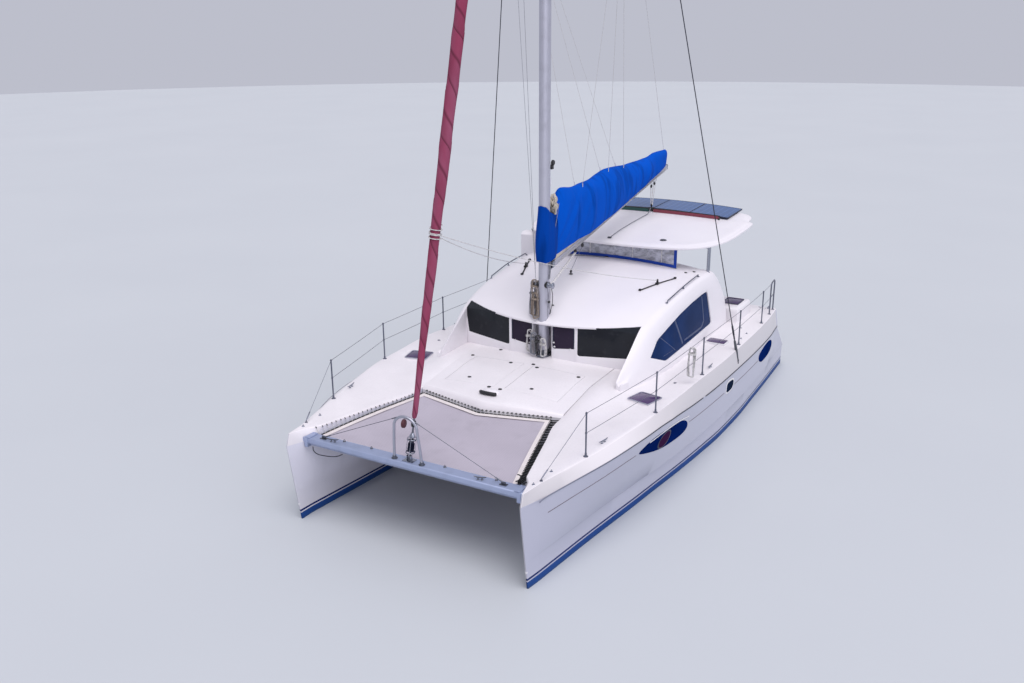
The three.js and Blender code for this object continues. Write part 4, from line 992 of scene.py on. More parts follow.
def hull_body(name):
    """The port hull with its stern steps, hatch wells and engine bay cut."""
    ys = list(np.arange(-5.55, 5.0, 0.15)) + [5.0, 5.05, 5.11, 5.2, 5.4, 5.6, 5.8, 6.0]
    body = loft(name, [*stem_rings(), *[hull_ring(y) for y in ys]])
    tools = []
    for y, z in STERN_STEPS:
        x = (1.0, 3.2) if y == STERN_STEPS[0][0] else (1.92, 2.79)
        tools.append(block("step", x, (y, 6.05), (z, 2.2)))
    tools.append(prism("slope", [(5.11, 1.19), (6.01, 0.46), (6.01, 1.2)], 1.0, 3.2))
    cut(body, *tools)
    upper = cut(block("upper", (2.05, 2.65), (4.42, 5.06), (0.33, 2.5)), shifted(body, "seat", (0, 0, -0.0263)))
    return cut(body, upper, block("bay", (2.08, 2.62), (4.45, 5.03), (0.33, 2.5)))


def strip_on_hull(name, ys, z_of, half, proud, sides=6):
    """A thin moulded strip that follows the hull's outer side."""
    path = [(hull_side_x(y, z_of(y)) + proud, y, z_of(y)) for y in ys]
    return tube(name, path, half, sides, flat=0.45, up=(1, 0, 0))


def rub_z(y):
    return float(columns_at(HULL_ROWS, y)[5])


def patch_on_hull(name, outline, proud, edge=0.012, rings=5):
    """A glazed or moulded patch on the hull's outer side, from an outline of [y, z], with a rounded edge."""
    outline = curved([(0, y, z) for y, z in outline], 5, closed=True)
    centre = sum(outline, Vector()) / len(outline)
    count = len(outline)
    points = []
    levels = [(1.0, -0.004), (1.0, proud * 0.6), (1 - edge, proud)] + [
        ((rings - k) / (rings + 1) * (1 - edge), proud) for k in range(1, rings)]
    for scale, lift in levels:
        for p in outline:
            at = centre + (p - centre) * scale
            points.append((hull_side_x(at.y, at.z) + lift, at.y, at.z))
    points.append((hull_side_x(centre.y, centre.z) + proud, centre.y, centre.z))
    faces = []
    for r in range(len(levels) - 1):
        for i in range(count):
            j = (i + 1) % count
            faces.append((r * count + i, r * count + j, (r + 1) * count + j, (r + 1) * count + i))
    last = (len(levels) - 1) * count
    faces += [(last + i, last + (i + 1) % count, len(points) - 1) for i in range(count)]
    faces.append(tuple(reversed(range(count))))
    return smooth(outward(from_points(name, points, faces)), 40)


def both_sides(things):
    """Pairs of a port piece with its mirror image, by name."""
    pairs = []
    for thing in things:
        twin = mirrored(thing, f"{thing.name}_starboard")
        thing.name = f"{thing.name}_port"
        pairs += [thing, twin]
    return pairs


def dress_pair(thing, look, slot, node=""):
    """Dresses a port piece and its mirror image. Each can stand for its own side's CAD node."""
    for piece, word in zip(both_sides([thing]), ("port", "starboard")):
        dress(piece, look, slot, stands_for=f"{node}_{word}" if node else ())


# Operators, one for each group of pieces, with the functions and tables that they use


class HullsOperator(bpy.types.Operator):
    """Both hulls, with their engine bays, hatch wells and stern steps"""

    bl_idname = "catamaran.hulls"
    bl_label = "Hulls"

    def execute(self, context):
        port = hull_body("hull_shell_port")
        coaming = coaming_body("coaming")
        rims = []
        for name, x, y, half_x, half_y, turn, top in HATCHES:
            rim = hatch_plate("rim", x, y, half_x, half_y, turn, top - 0.20, top, 0.05)
            well = hatch_plate("well", x, y, half_x - 0.034, half_y - 0.034, turn, top - 0.30, top + 0.02, 0.03)
            cut(rim, duplicate(well, "rim_well"))
            cut(port if name == "fore_hatch" else coaming, well)
            rims.append(soften(rim, 0.004, 2, 50))
        smooth(port, 30)
        starboard = mirrored(port, "hull_shell_starboard")
        dress(port, "hull", "hull", stands_for="hull_port")
        dress(starboard, "hull", "hull", stands_for="hull_starboard")
        for hull in (port, starboard):
            hull.data.materials.append(finish("deck"))
            mesh = hull.data
            for face in mesh.polygons:
                above = face.center.z > rub_z(face.center.y) + 0.004 and face.center.y < 5.0
                if above or (face.normal.z > 0.55 and face.center.z > 0.35):
                    face.material_index = 1
        for rim in both_sides(rims):
            dress(rim, "roof", "gelcoat")
        dress_pair(coaming, "roof", "gelcoat")
        lugs = [block("lug", (x - 0.006, x + 0.006), (5.960, 6.036), (0.314, 0.346)) for x in (2.154, 2.586)]
        lugs = [cut(lug, rod("bore", (2.0, 6.020, 0.330), (2.8, 6.020, 0.330), 0.0084, 24)) for lug in lugs]
        dress(join([soften(lug, 0.0015, 2, 50) for lug in lugs], "ladder_lugs"), "roof", "gelcoat")
        return {"FINISHED"}


class RubbingStrakeOperator(bpy.types.Operator):
    """The dark rubbing strake and the fine line below it"""

    bl_idname = "catamaran.strakes"
    bl_label = "Rubbing strakes"

    def execute(self, context):
        strakes = [
            strip_on_hull("rub_strake_fore", np.arange(-5.72, -0.52, 0.12), rub_z, 0.012, 0.002),
            strip_on_hull("rub_strake_aft", np.linspace(-0.42, 5.07, 46), rub_z, 0.013, 0.002),
        ]
        for strake in both_sides(strakes):
            dress(strake, "rub_strip", "dark")

        def line_z(y):
            """Height of the fine line, which lies a little lower beside the fore eye."""
            return rub_z(y) - lerp(0.30, 0.345, math.exp(-((y + 1.3) / 1.1) ** 2))

        lines = [strip_on_hull(f"side_line_{name}", np.arange(low, high, 0.1), line_z, 0.007, 0.0015)
                 for name, low, high in (("fore", -5.45, -3.15), ("middle", -1.09, 0.86), ("aft", 1.48, 3.2))]
        for line in both_sides(lines):
            dress(line, "pinstripe", "dark")
        return {"FINISHED"}


def hatch_plate(name, x, y, half_x, half_y, turn, low, high, round_by):
    """An upright plate with rounded corners, turned about its middle."""
    outline = [(-half_x, -half_y), (half_x, -half_y), (half_x, half_y), (-half_x, half_y)]
    path = rounded_path([Vector((a, b, 0)) for a, b in [*outline, outline[0], outline[1]]], round_by, 4)[6:]
    spin = Matrix.Rotation(math.radians(turn), 3, "Z")
    flat = distinct([spin @ p for p in path], 1e-5, 1e-4)
    return prism(name, [(x + p.x, y + p.y) for p in flat], low, high, axis="z")


# Deck hatches: name, centre x and y, half width and length, turn, rim top z
HATCHES = [
    ("fore_hatch", 2.425, -1.890, 0.230, 0.225, -13, 1.740),
    ("aft_hatch", 2.180, 3.900, 0.190, 0.250, 0, 2.032),
]
# Fixed light on the side deck: centre x and y, half width and length, turn
SIDE_LIGHT = (2.50, 1.86, 0.215, 0.16, -2)


def coaming_body(name):
    """The raised coaming beside the cockpit, crowned and rounded."""
    x, y, z = (1.452, 2.440), (3.420, 4.380), 2.010
    rings = []
    for by, height in ((0.0, 1.50), (0.0, z - 0.11), (0.008, z - 0.06), (0.028, z - 0.025), (0.06, z - 0.006),
                       (0.10, z)):
        rings.append([(x[0], y[0] + by, height), (x[1] - by, y[0] + by, height),
                      (x[1] - by, y[1] - by, height), (x[0], y[1] - by, height)])
    thing = loft(name, rings)
    return soften(thing, 0.06, 4, 60)


class ForedeckOperator(bpy.types.Operator):
    """Foredeck between the hulls with its two locker lids, latches and vent"""

    bl_idname = "catamaran.foredeck"
    bl_label = "Foredeck"

    def execute(self, context):
        deck = foredeck_body("foredeck_shell")
        for side, word in SIDES:
            x = (0.11, 1.18) if side > 0 else (-1.18, -0.11)
            lid, deck = flush_lid(deck, f"locker_cover_{word}", x, (-2.85, -1.72), 1.38, 0.030)
            dress(lid, "deck", "gelcoat", f"locker_lid_{word}", f"locker_lid_{word}")
        dress(smooth(deck, 30), "deck", "gelcoat", stands_for="foredeck")
        for name, body, places in LATCHES:
            parts = []
            for x, y in places:
                z = foredeck_z(x, y)
                base = turned("latch", [(0.0, 0.006), (0.030, 0.006), (0.036, 0.003), (0.038, 0.0), (0.0, 0.0)],
                              (x, y, z), steps=20)
                grip = block("grip", (x - 0.026, x + 0.026), (y - 0.007, y + 0.007), (z + 0.004, z + 0.013), 0.003)
                parts += [base, grip]
            dress(join(parts, f"deck_latches_{name}"), "black", "dark", body)
        mouth = [(0.150 * math.sin(a) - 0.03, -3.165 - 0.045 * math.cos(a),
                  foredeck_z(0, -3.15) + 0.004 + 0.012 * math.cos(a)) for a in np.linspace(-1.45, 1.45, 18)]
        vent = [tube("mouth", [Vector(p) + Vector((0, 0, 0.014)) for p in mouth], 0.042, 10, flat=0.8)]
        for k in range(2):
            vent.append(tube("louvre", [Vector(p) + Vector((0, 0.030 + 0.018 * k, 0.010 + 0.010 * k))
                                        for p in mouth[2:-2]], 0.007, 6))
        dress(join(vent, "foredeck_vent"), "black", "dark")
        hood = []
        for scale, up in ((1.08, -0.006), (1.04, 0.014), (0.92, 0.030), (0.66, 0.042), (0.3, 0.047), (0.04, 0.048)):
            hood.append([(0.155 * scale * math.cos(a) - 0.03, -3.075 + 0.095 * scale * math.sin(a),
                          foredeck_z(0, -3.075) + up) for a in np.linspace(0, math.tau, 28, endpoint=False)])
        dress(smooth(loft("foredeck_vent_hood", hood), 50), "roof", "gelcoat")
        return {"FINISHED"}


# Foredeck over the centreline, each row: y, underside z, top z at the centre, top z at its sides
FOREDECK_ROWS = [
    (-3.180, 1.390, 1.640, 1.640),
    (-3.120, 1.180, 1.745, 1.700),
    (-2.950, 0.960, 1.795, 1.725),
    (-2.500, 0.800, 1.850, 1.785),
    (-2.000, 0.750, 1.895, 1.850),
    (-0.8603, 0.745, 1.930, 1.862),
]
FOREDECK_SIDE = 1.4497
# Latches on the foredeck and the two locker lids, as seen in the photograph
LATCHES = [
    ("fixed", BOAT, [(-1.284, -1.680), (-0.924, -1.210), (0.068, -1.680), (-0.178, -2.901), (0.058, -2.910)]),
    ("port", "locker_lid_port", [(0.205, -1.790), (1.083, -1.813), (0.557, -2.644)]),
    ("starboard", "locker_lid_starboard", [(-0.365, -1.783), (-0.762, -2.637)]),
]


def foredeck_point(x, y):
    """Moves a row's point forward towards the middle, where the edge comes to a shallow point."""
    reach = max(0.0, 1 - abs(x) / FOREDECK_SIDE)
    fade = min(max((-2.5 - y) / 0.6, 0.0), 1.0)
    return y - 0.320 * reach * fade


def foredeck_z(x, y):
    """Height of the foredeck's top at a place."""
    row_y = y
    for _ in range(8):
        row_y += y - foredeck_point(x, row_y)
    _, centre, edge = columns_at(FOREDECK_ROWS, row_y)
    return lerp(centre, edge, (x / FOREDECK_SIDE) ** 2)


def foredeck_body(name):
    rings = []
    ys = sorted({*np.linspace(-3.18, -3.0, 9), *np.linspace(-3.0, -2.5, 9), *np.linspace(-2.5, -0.8603, 18)})
    for y in ys:
        low, centre, edge = columns_at(FOREDECK_ROWS, y)
        across = np.linspace(-FOREDECK_SIDE, FOREDECK_SIDE, 25)
        top = [(x, foredeck_point(x, y), lerp(centre, edge, (x / FOREDECK_SIDE) ** 2)) for x in across]
        under = [(x, foredeck_point(x, y), low) for x in across[::-1]]
        rings.append(top + under)
    return loft(name, rings)


def flush_lid(body, name, x, y, bottom, thick, gap=0.006, ledge=0.030):
    """Cuts a bay with a ledge under a flush lid, and gives the lid and the cut body."""
    lid = duplicate(body, name)
    within(lid, block("lid_block", (x[0] + gap, x[1] - gap), (y[0] + gap, y[1] - gap), (1.4, 2.5)))
    cut(lid, shifted(body, "lowered", (0, 0, -thick)))
    soften(lid, 0.006, 3, 50)
    seat = shifted(body, "seat", (0, 0, -thick - 0.0003))
    upper = block("upper", x, y, (bottom, 2.6))
    cut(upper, seat)
    cut(body, upper, block("lower", (x[0] + ledge, x[1] - ledge), (y[0] + ledge, y[1] - ledge), (bottom, 2.6)))
    return lid, body


def roof_ring(y, wall, columns=None):
    """The outline of the cabin at y: up the port side, over the roof and down the starboard side."""
    crown, corner_x, corner_z, base_x = columns_at(ROOF_ROWS, y) if columns is None else columns
    base = base_x - wall
    corner = corner_x - wall * 0.7
    high, low = crown - wall, corner_z - wall
    shoulder = corner + (base - corner) * 0.42
    side = [(base, ROOF_BASE), (lerp(base, corner, 0.12), min(1.900, low - 0.020)),
            (shoulder, low - min(0.150, (low - 1.700) * 0.4))]
    top = [(t * corner, high - (high - low) * t * t) for t in (1, 0.9, 0.8, 0.65, 0.5, 0.35, 0.18, 0)]
    half = [Vector((a, 0, b)) for a, b in side + top]
    bent = [half[0], half[1]]
    for before, here, after in zip(half[1:], half[2:4], half[3:]):
        bent += [here.lerp(before, 0.42), here.lerp(before, 0.12).lerp(after, 0.08), here.lerp(after, 0.36)]
    bent += half[5:]
    port = [(p.x, y, p.z) for p in bent]
    return port + [(-a, b, c) for a, b, c in reversed(port[:-1])]


def cabin_loft(name, wall, start=-1.9, end=3.36):
    ys = [y for y in np.arange(-1.9, 2.45, 0.11) if start <= y] + [2.45, 2.6, 2.9, end]
    if start > -1.9:
        ys = [start, *ys]
    last = columns_at(ROOF_ROWS, 2.45)
    return loft(name, [roof_ring(y, wall, last if y > 2.45 else None) for y in sorted(set(ys))])


class CoachroofOperator(bpy.types.Operator):
    """The domed cabin top with its brow, side windows and sloping ends"""

    bl_idname = "catamaran.coachroof"
    bl_label = "Coachroof"

    def execute(self, context):
        outer = cabin_loft("cabin_top", 0)
        pane = shifted(outer, "pane", (-0.024, 0, 0))
        cut(pane, shifted(outer, "inner_skin", (-0.032, 0, 0)))
        within(pane, side_window_prism("pane_outline", 0.020))
        inner = cabin_loft("inner", ROOF_WALL, -0.77, 3.5)
        under = cabin_loft("under", 0.030, -1.9, 3.5)
        within(under, block("under_limit", (-1.865, 1.865), (-2.5, -0.30), (1.0, 3.5)))
        arc = [(t * 1.865, lerp(-1.290, -0.770, t * t)) for t in np.linspace(-1, 1, 33)]
        brow = prism("brow", [(-1.865, -3.0), *arc, (1.865, -3.0)], 1.4, 4.0, axis="z")
        mast_hole = block("mast_hole", (-0.087, 0.087), (-1.222, -0.978), (2.3, 3.3))
        ends = [block("roof_end", (-1.9, 1.9), (2.4, 3.6), (1.4, 3.6)),
                block("starboard_end", (-3.0, -1.2), (2.4, 3.6), (1.4, 3.6))]
        slope = [(2.25, 3.4), (2.45, 3.06), (2.52, 3.02), (2.59, 2.945), (2.75, 2.80), (2.90, 2.64), (3.06, 2.44),
                 (3.18, 2.24), (3.27, 1.90), (3.33, 1.5), (5.2, 1.5), (5.2, 3.4)]
        ends.append(prism("slope", slope, 1.2, 3.0))
        windows = [side_window_prism("window_port", 0.0), side_window_prism("window_starboard", 0.0, -1)]
        cut(outer, inner, under, brow, mast_hole, *ends, *windows)
        soften(outer, 0.014, 3, 48)
        dress(outer, "roof", "gelcoat", stands_for="coachroof")
        smooth(pane, 40)
        twin = mirrored(pane, "side_glazing_starboard")
        pane.name = "side_glazing_port"
        dress(pane, "side_glass", "glass", stands_for="side_window_port")
        dress(twin, "side_glass", "glass", stands_for="side_window_starboard")
        dress_pair(window_bars("side_window_bars"), "window_bar", "dark")
        return {"FINISHED"}


def side_window_outline(grow):
    """The side window's outline, its corners rounded and its long edges bowed."""
    bowed = []
    middle = (0.70, 2.33)
    for y, z in SIDE_WINDOW:
        dy, dz = y - middle[0], z - middle[1]
        reach = math.hypot(dy, dz)
        bowed.append(Vector((0, y + dy / reach * grow, z + dz / reach * grow)))
    path = rounded_path([*bowed, bowed[0], bowed[1]], 0.07, 3)
    return [(p.y, p.z) for p in distinct(path[1:-4], 0.004, 0.02)]


def side_window_prism(name, grow, side=1):
    low, high = (1.7, 2.6) if side > 0 else (-2.6, -1.7)
    return prism(name, side_window_outline(grow), low, high)


def cabin_side_x(y, z):
    """How far out the port cabin side is at y and z."""
    ring = [p for p in roof_ring(y, 0) if p[0] > 1.2]
    for (x0, _, z0), (x1, _, z1) in zip(ring, ring[1:]):
        if z0 <= z <= z1:
            return lerp(x0, x1, (z - z0) / max(z1 - z0, 1e-6))
    return ring[-1][0]


def window_bars(name):
    """The bars and the inner frame that show behind the side window's glass."""
    lines = [
        ([(0.30, 2.56), (0.62, 1.99)], 0.034),
        ([(-0.42, 2.40), (0.22, 1.97)], 0.016),
        ([(1.78, 2.66), (1.86, 2.12), (1.70, 2.02), (0.72, 2.02)], 0.026),
        ([(0.10, 1.99), (-0.35, 2.00)], 0.012),
    ]
    parts = []
    for places, half in lines:
        dense = []
        for (y0, z0), (y1, z1) in zip(places, places[1:]):
            for t in np.linspace(0, 1, 8):
                y, z = lerp(y0, y1, t), lerp(z0, z1, t)
                dense.append(Vector((cabin_side_x(y, z) - 0.026, y, z)))
        path = [p for i, p in enumerate(dense) if not i or (p - dense[i - 1]).length > 1e-4]
        parts.append(tube("bar", path, half, 8, flat=0.16, up=(1, 0, 0)))
    return join(parts, name)


class FrontWindowsOperator(bpy.types.Operator):
    """The front wall under the brow with its two panes and two opening lights"""

    bl_idname = "catamaran.front_windows"
    bl_label = "Front windows"

    def execute(self, context):
        wall = front_band("front_wall", 0.0, 0.040, 1.70, 2.95)
        openings = [rounded_panel("opening", [(side * x, z) for x, z in shape], 0.05, -1.6, -0.6)
                    for side in (1, -1) for shape in (FRONT_PANE, FRONT_LIGHT)]
        cut(wall, *openings)
        within(wall, cabin_loft("wall_limit", 0.022, -1.9, 3.5))
        dress(soften(wall, 0.004, 2, 50), "roof", "gelcoat", stands_for="saloon_front")
        frames, latches = [], []
        for side, word in SIDES:
            for name, node, look, slot, shape in (("front_pane", "front_window", "glass", "glass", FRONT_PANE),
                                                  ("front_light", "front_hatch", "light_glass", "tinted",
                                                   FRONT_LIGHT)):
                glass = front_band(f"{name}_{word}", 0.012, 0.020, 1.8, 2.96)
                within(glass, rounded_panel("outline", [(side * x, z) for x, z in shape], 0.05, -1.6, -0.6, -0.0002))
                within(glass, cabin_loft("pane_limit", 0.006, -1.9, 3.5))
                if name == "front_pane":
                    glass = join([glass, brow_glazing(f"pane_head_{word}", side)], glass.name)
                dress(smooth(glass, 40), look, slot, stands_for=f"{node}_{word}")
            low, high = FRONT_LIGHT[0][0] + 0.012, FRONT_LIGHT[1][0] - 0.012
            base, top = FRONT_LIGHT[0][1] + 0.012, FRONT_LIGHT[2][1] - 0.012
            corners = [Vector((side * low, -1.200, base)), Vector((side * high, -1.187, base)),
                       Vector((side * high, -1.187, top)), Vector((side * low, -1.200, top))]
            path = rounded_path([*corners, corners[0], corners[1]], 0.05, 4)[5:-1]
            frames.append(tube("light_frame", path, 0.012, 8, flat=0.7, up=(0, 1, 0)))
            for x, z in ((low + 0.035, base + 0.03), (high - 0.07, base + 0.025), (low + 0.02, base + 0.11)):
                at = Vector((side * x, -1.201 + 0.028 * (x - low), z))
                latches.append(turned("latch", [(0, 0.012), (0.013, 0.010), (0.017, 0.004), (0.018, 0), (0, 0)], at,
                                      (0, -1, 0), 16))
                latches.append(block("lever", (at.x - 0.022, at.x + 0.022), (at.y - 0.019, at.y - 0.011),
                                     (z - 0.007, z + 0.007), 0.003))
        dress(join(frames, "light_frames"), "navy", "dark")
        dress(join(latches, "light_latches"), "white_plastic", "steel")
        return {"FINISHED"}


# Front wall in plan, port half, and the outlines of a pane and an opening light: x, y or x, z
FRONT_PLAN = [(0.0, -0.905), (0.190, -0.905), (0.205, -1.205), (0.725, -1.190), (1.655, -1.020), (1.8642, -0.965)]
FRONT_PANE = [(0.742, 2.035), (1.800, 2.035), (1.960, 2.950), (0.742, 2.950)]
FRONT_LIGHT = [(0.222, 2.110), (0.684, 2.110), (0.684, 2.590), (0.222, 2.590)]


def brow_glazing(name, side):
    """The dark head of an outer pane, closing the gap between its top edge and the roof behind it."""
    plan = [(0.95, -1.125), (1.655, -1.004), (1.860, -0.950), (1.860, -0.700), (1.40, -0.900), (0.95, -1.030)]
    head = cabin_loft(name, 0.010, -1.9, 3.5)
    hollow = cabin_loft("hollow", 0.024, -1.9, 3.5)
    within(head, prism("head_plan", [(side * x, y) for x, y in plan][::side], 1.8, 3.6, axis="z"))
    cut(head, hollow)
    return head


def front_band(name, near, far, low, high):
    """A band that follows the front wall in plan, between two depths behind its face."""
    def line(depth):
        half = [(x + (depth if i in (1, 2) else 0), y + depth) for i, (x, y) in enumerate(FRONT_PLAN)]
        return [(-x, y) for x, y in half[:0:-1]] + half
    return prism(name, line(near) + line(far)[::-1], low, high, axis="z")


def rounded_panel(name, corners, radius, low, high, grow=0.0):
    """A prism along y of an outline of [x, z] with rounded corners, grown or shrunk about its middle."""
    middle = sum((Vector((x, 0, z)) for x, z in corners), Vector()) / len(corners)
    places = []
    for x, z in corners:
        out = Vector((x, 0, z)) - middle
        places.append(middle + out + out.normalized() * grow)
    path = rounded_path([*places, places[0], places[1]], radius, 4)[5:-1]
    return prism(name, [(p.x, p.z) for p in distinct(path, 1e-4, 1e-4)], low, high, axis="y")


class CabinEndOperator(bpy.types.Operator):
    """Bulkhead, sliding door and the deck under the cabin"""

    bl_idname = "catamaran.cabin_end"
    bl_label = "Bulkhead and door"

    def execute(self, context):
        dress(refined("saloon_bulkhead", "cabin_bulkhead", 0.01), "roof", "gelcoat", stands_for="saloon_bulkhead")
        dress(refined("bridgedeck", "bridge_floor", 0.012), "deck", "gelcoat", stands_for="bridgedeck")
        door = refined("saloon_door", "sliding_door", 0.003)
        dress(door, "side_glass", "glass", "saloon_door", "saloon_door")
        low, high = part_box("saloon_door")
        frame_parts = []
        for x in (low.x + 0.03, 0.0, high.x - 0.03):
            frame_parts.append(block("stile", (x - 0.028, x + 0.028), (low.y - 0.004, high.y + 0.006),
                                     (low.z + 0.002, high.z - 0.002), 0.005))
        for z in (low.z + 0.04, high.z - 0.03):
            frame_parts.append(block("rail", (low.x + 0.002, high.x - 0.002), (low.y - 0.0035, high.y + 0.0055),
                                     (z - 0.028, z + 0.028), 0.005))
        frame_parts.append(tube("handle", rounded_path([(high.x - 0.09, high.y, 1.95),
                                                        (high.x - 0.09, high.y + 0.05, 1.95),
                                                        (high.x - 0.09, high.y + 0.05, 2.25),
                                                        (high.x - 0.09, high.y, 2.25)], 0.03), 0.011))
        dress(join(frame_parts, "sliding_door_frame"), "alloy", "alloy", "saloon_door")
        return {"FINISHED"}


class DeckHatchesOperator(bpy.types.Operator):
    """Opening hatch lids with their frames, and the fixed lights on the side decks"""

    bl_idname = "catamaran.deck_hatches"
    bl_label = "Deck hatches"

    def execute(self, context):
        for name, x, y, half_x, half_y, turn, top in HATCHES:
            for side, word in SIDES:
                node = f"{name}_{word}"
                spin, at = turn * side, x * side
                glass = hatch_plate(f"{name}_glass_{word}", at, y, half_x - 0.018, half_y - 0.018, spin, top + 0.0006,
                                    top + 0.0125, 0.045)
                soften(glass, 0.003, 2, 50)
                dress(glass, "violet", "tinted", node, node)
                rim = hatch_plate("rim", at, y, half_x + 0.004, half_y + 0.004, spin, top + 0.0004, top + 0.0143,
                                  0.055)
                cut(rim, hatch_plate("rim_hole", at, y, half_x - 0.019, half_y - 0.019, spin, top - 0.1, top + 0.1,
                                     0.044))
                soften(rim, 0.003, 2, 50)
                dress(rim, "navy" if name == "aft_hatch" else "alloy", "alloy", node)
        x, y, half_x, half_y, turn = SIDE_LIGHT
        z = deck_z(x, y)
        glass = hatch_plate("side_light", x, y, half_x - 0.02, half_y - 0.02, turn, z, z + 0.040, 0.05)
        rim = hatch_plate("side_light_rim", x, y, half_x, half_y, turn, z - 0.03, z + 0.036, 0.06)
        dress_pair(soften(glass, 0.004, 2, 50), "violet", "tinted")
        dress_pair(soften(rim, 0.008, 3, 50), "white_plastic", "gelcoat")
        return {"FINISHED"}


def deck_z(x, y):
    """Height of the port side deck at a place."""
    ring = hull_ring(y)[18:27]
    for (x0, _, z0), (x1, _, z1) in zip(ring, ring[1:]):
        if x1 <= x <= x0:
            return lerp(z1, z0, (x - x1) / max(x0 - x1, 1e-6))
    return ring[-1][2]


class EngineLidsOperator(bpy.types.Operator):
    """Engine hatch lids on the aft decks"""

    bl_idname = "catamaran.engine_lids"
    bl_label = "Engine lids"

    def execute(self, context):
        for side, word in SIDES:
            node = f"engine_lid_{word}"
            dress(refined(node, f"engine_cover_{word}", 0.005), "deck", "gelcoat", node, node)
            parts = []
            for x in (2.20, 2.50):
                parts.append(disc("ring_pull", [(0.022, 0.006), (0.030, 0.003), (0.032, 0)],
                                  (side * x, 5.0, deck_z(x, 5.0) + 0.0005), steps=18))
            dress(join(parts, f"engine_cover_latch_{word}"), "steel", "steel", node)
        return {"FINISHED"}


class HullWindowsOperator(bpy.types.Operator):
    """Glazed eyes and portlights in the topsides"""

    bl_idname = "catamaran.hull_windows"
    bl_label = "Hull windows"

    def execute(self, context):
        fore = patch_on_hull("fore_eye", [(-3.144, 1.277), (-2.995, 1.367), (-2.690, 1.414), (-2.283, 1.402),
                                          (-1.901, 1.374), (-1.483, 1.287), (-1.242, 1.176), (-1.144, 1.055),
                                          (-1.209, 0.979), (-1.436, 0.949), (-1.926, 0.970), (-2.365, 1.031),
                                          (-2.814, 1.151)], 0.004)
        aft = patch_on_hull("aft_eye", [(3.27, 0.95), (3.24, 1.07), (3.45, 1.135), (3.75, 1.17), (4.10, 1.165),
                                        (4.38, 1.09), (4.48, 0.98), (4.40, 0.88), (4.15, 0.82), (3.80, 0.81),
                                        (3.50, 0.84)], 0.004)
        middle = patch_on_hull("middle_light", [(0.942, 1.061), (0.966, 1.158), (1.087, 1.178), (1.337, 1.139),
                                                (1.369, 1.036), (1.284, 0.971), (1.080, 0.963), (0.968, 0.994)],
                               0.006)
        rim = patch_on_hull("middle_light_rim", [(0.907, 1.061), (0.936, 1.183), (1.087, 1.213), (1.367, 1.169),
                                                 (1.409, 1.036), (1.304, 0.941), (1.070, 0.928), (0.933, 0.964)],
                            0.003)
        porthole = patch_on_hull("eye_porthole", ellipse_outline(-2.187, 1.182, 0.195, 0.150), 0.007)
        collar = patch_on_hull("eye_porthole_rim", ellipse_outline(-2.187, 1.182, 0.230, 0.178), 0.0055)
        sweep = curved([(0, -2.86, 1.385), (0, -2.47, 1.392), (0, -2.08, 1.391), (0, -1.66, 1.350),
                        (0, -1.20, 1.275)], 6)
        swoosh = tube("eye_sweep", [(hull_side_x(p.y, p.z) + 0.007, p.y, p.z) for p in sweep], 0.011, 8, flat=0.4,
                      up=(1, 0, 0))
        for thing, look, slot in ((fore, "eye_glass", "glass"), (aft, "eye_glass", "glass"),
                                  (middle, "port_glass", "glass"), (rim, "white_plastic", "gelcoat"),
                                  (porthole, "eye_violet", "tinted"), (collar, "navy", "dark"),
                                  (swoosh, "white_plastic", "gelcoat")):
            dress_pair(thing, look, slot)
        return {"FINISHED"}


def ellipse_outline(y, z, half_y, half_z, count=10):
    return [(y + half_y * math.cos(a), z + half_z * math.sin(a))
            for a in np.linspace(0, math.tau, count, endpoint=False)]


def stay_point(z):
    return Vector((0, STAY_Y + STAY_SLOPE * z, z))


# Furled jib, each row: height, radius
JIB_ROWS = [(2.190, 0.030), (2.260, 0.046), (3.200, 0.062), (4.600, 0.084), (6.200, 0.099), (9.500, 0.105),
            (13.000, 0.075), (16.300, 0.034), (16.360, 0.008)]


class FurledJibOperator(bpy.types.Operator):
    """The jib rolled up on its stay, with its sheets wound round it"""

    bl_idname = "catamaran.furled_jib"
    bl_label = "Furled jib"

    def execute(self, context):
        rings = []
        heights = [2.1972, 2.215, 2.235, 2.26] + list(np.arange(2.31, 16.3, 0.055)) + [16.33, 16.36, 17.70]
        wander = random.Random(5)
        phase = [wander.uniform(0, math.tau) for _ in range(6)]
        for z in heights:
            radius = float(np.interp(z, [row[0] for row in JIB_ROWS], [row[1] for row in JIB_ROWS]))
            ring = []
            for k in range(28):
                turn = math.tau * k / 28
                wind = (turn / math.tau + z * 0.62) % 1.0
                lap = 0.10 * (wind - 0.5) + 0.05 * math.exp(-((wind - 0.5) / 0.05) ** 2)
                crease = 0.022 * math.sin(2 * turn + z * 2.3 + phase[0]) + 0.015 * math.sin(3 * turn - z * 5.1
                        + phase[1])
                swell = 0.02 * math.sin(z * 3.7 + phase[2]) + 0.014 * math.sin(z * 9.1 + phase[3])
                r = radius * (0.93 + lap + crease + swell)
                ring.append(stay_point(z) + Vector((r * math.cos(turn), r * math.sin(turn), 0)))
            rings.append(ring)
        jib = smooth(loft("rolled_jib", rings), 70)
        dress(jib, "rolled_sail", "sail", stands_for="furled_jib")
        wraps = []
        for start, turns, drop in ((4.92, 2.6, 0.20), (4.90, 2.2, 0.16)):
            path = []
            for i in range(int(turns * 16)):
                t = i / (turns * 16)
                z = start + drop * (1 - t)
                a = math.tau * turns * t + start * 9
                path.append(stay_point(z) + Vector((0.097 * math.cos(a), 0.097 * math.sin(a), 0)))
            wraps.append(tube("sheet_wrap", path, 0.008, 8))
        dress(join(wraps, "jib_sheet_wraps"), "white_rope", "sail")
        return {"FINISHED"}


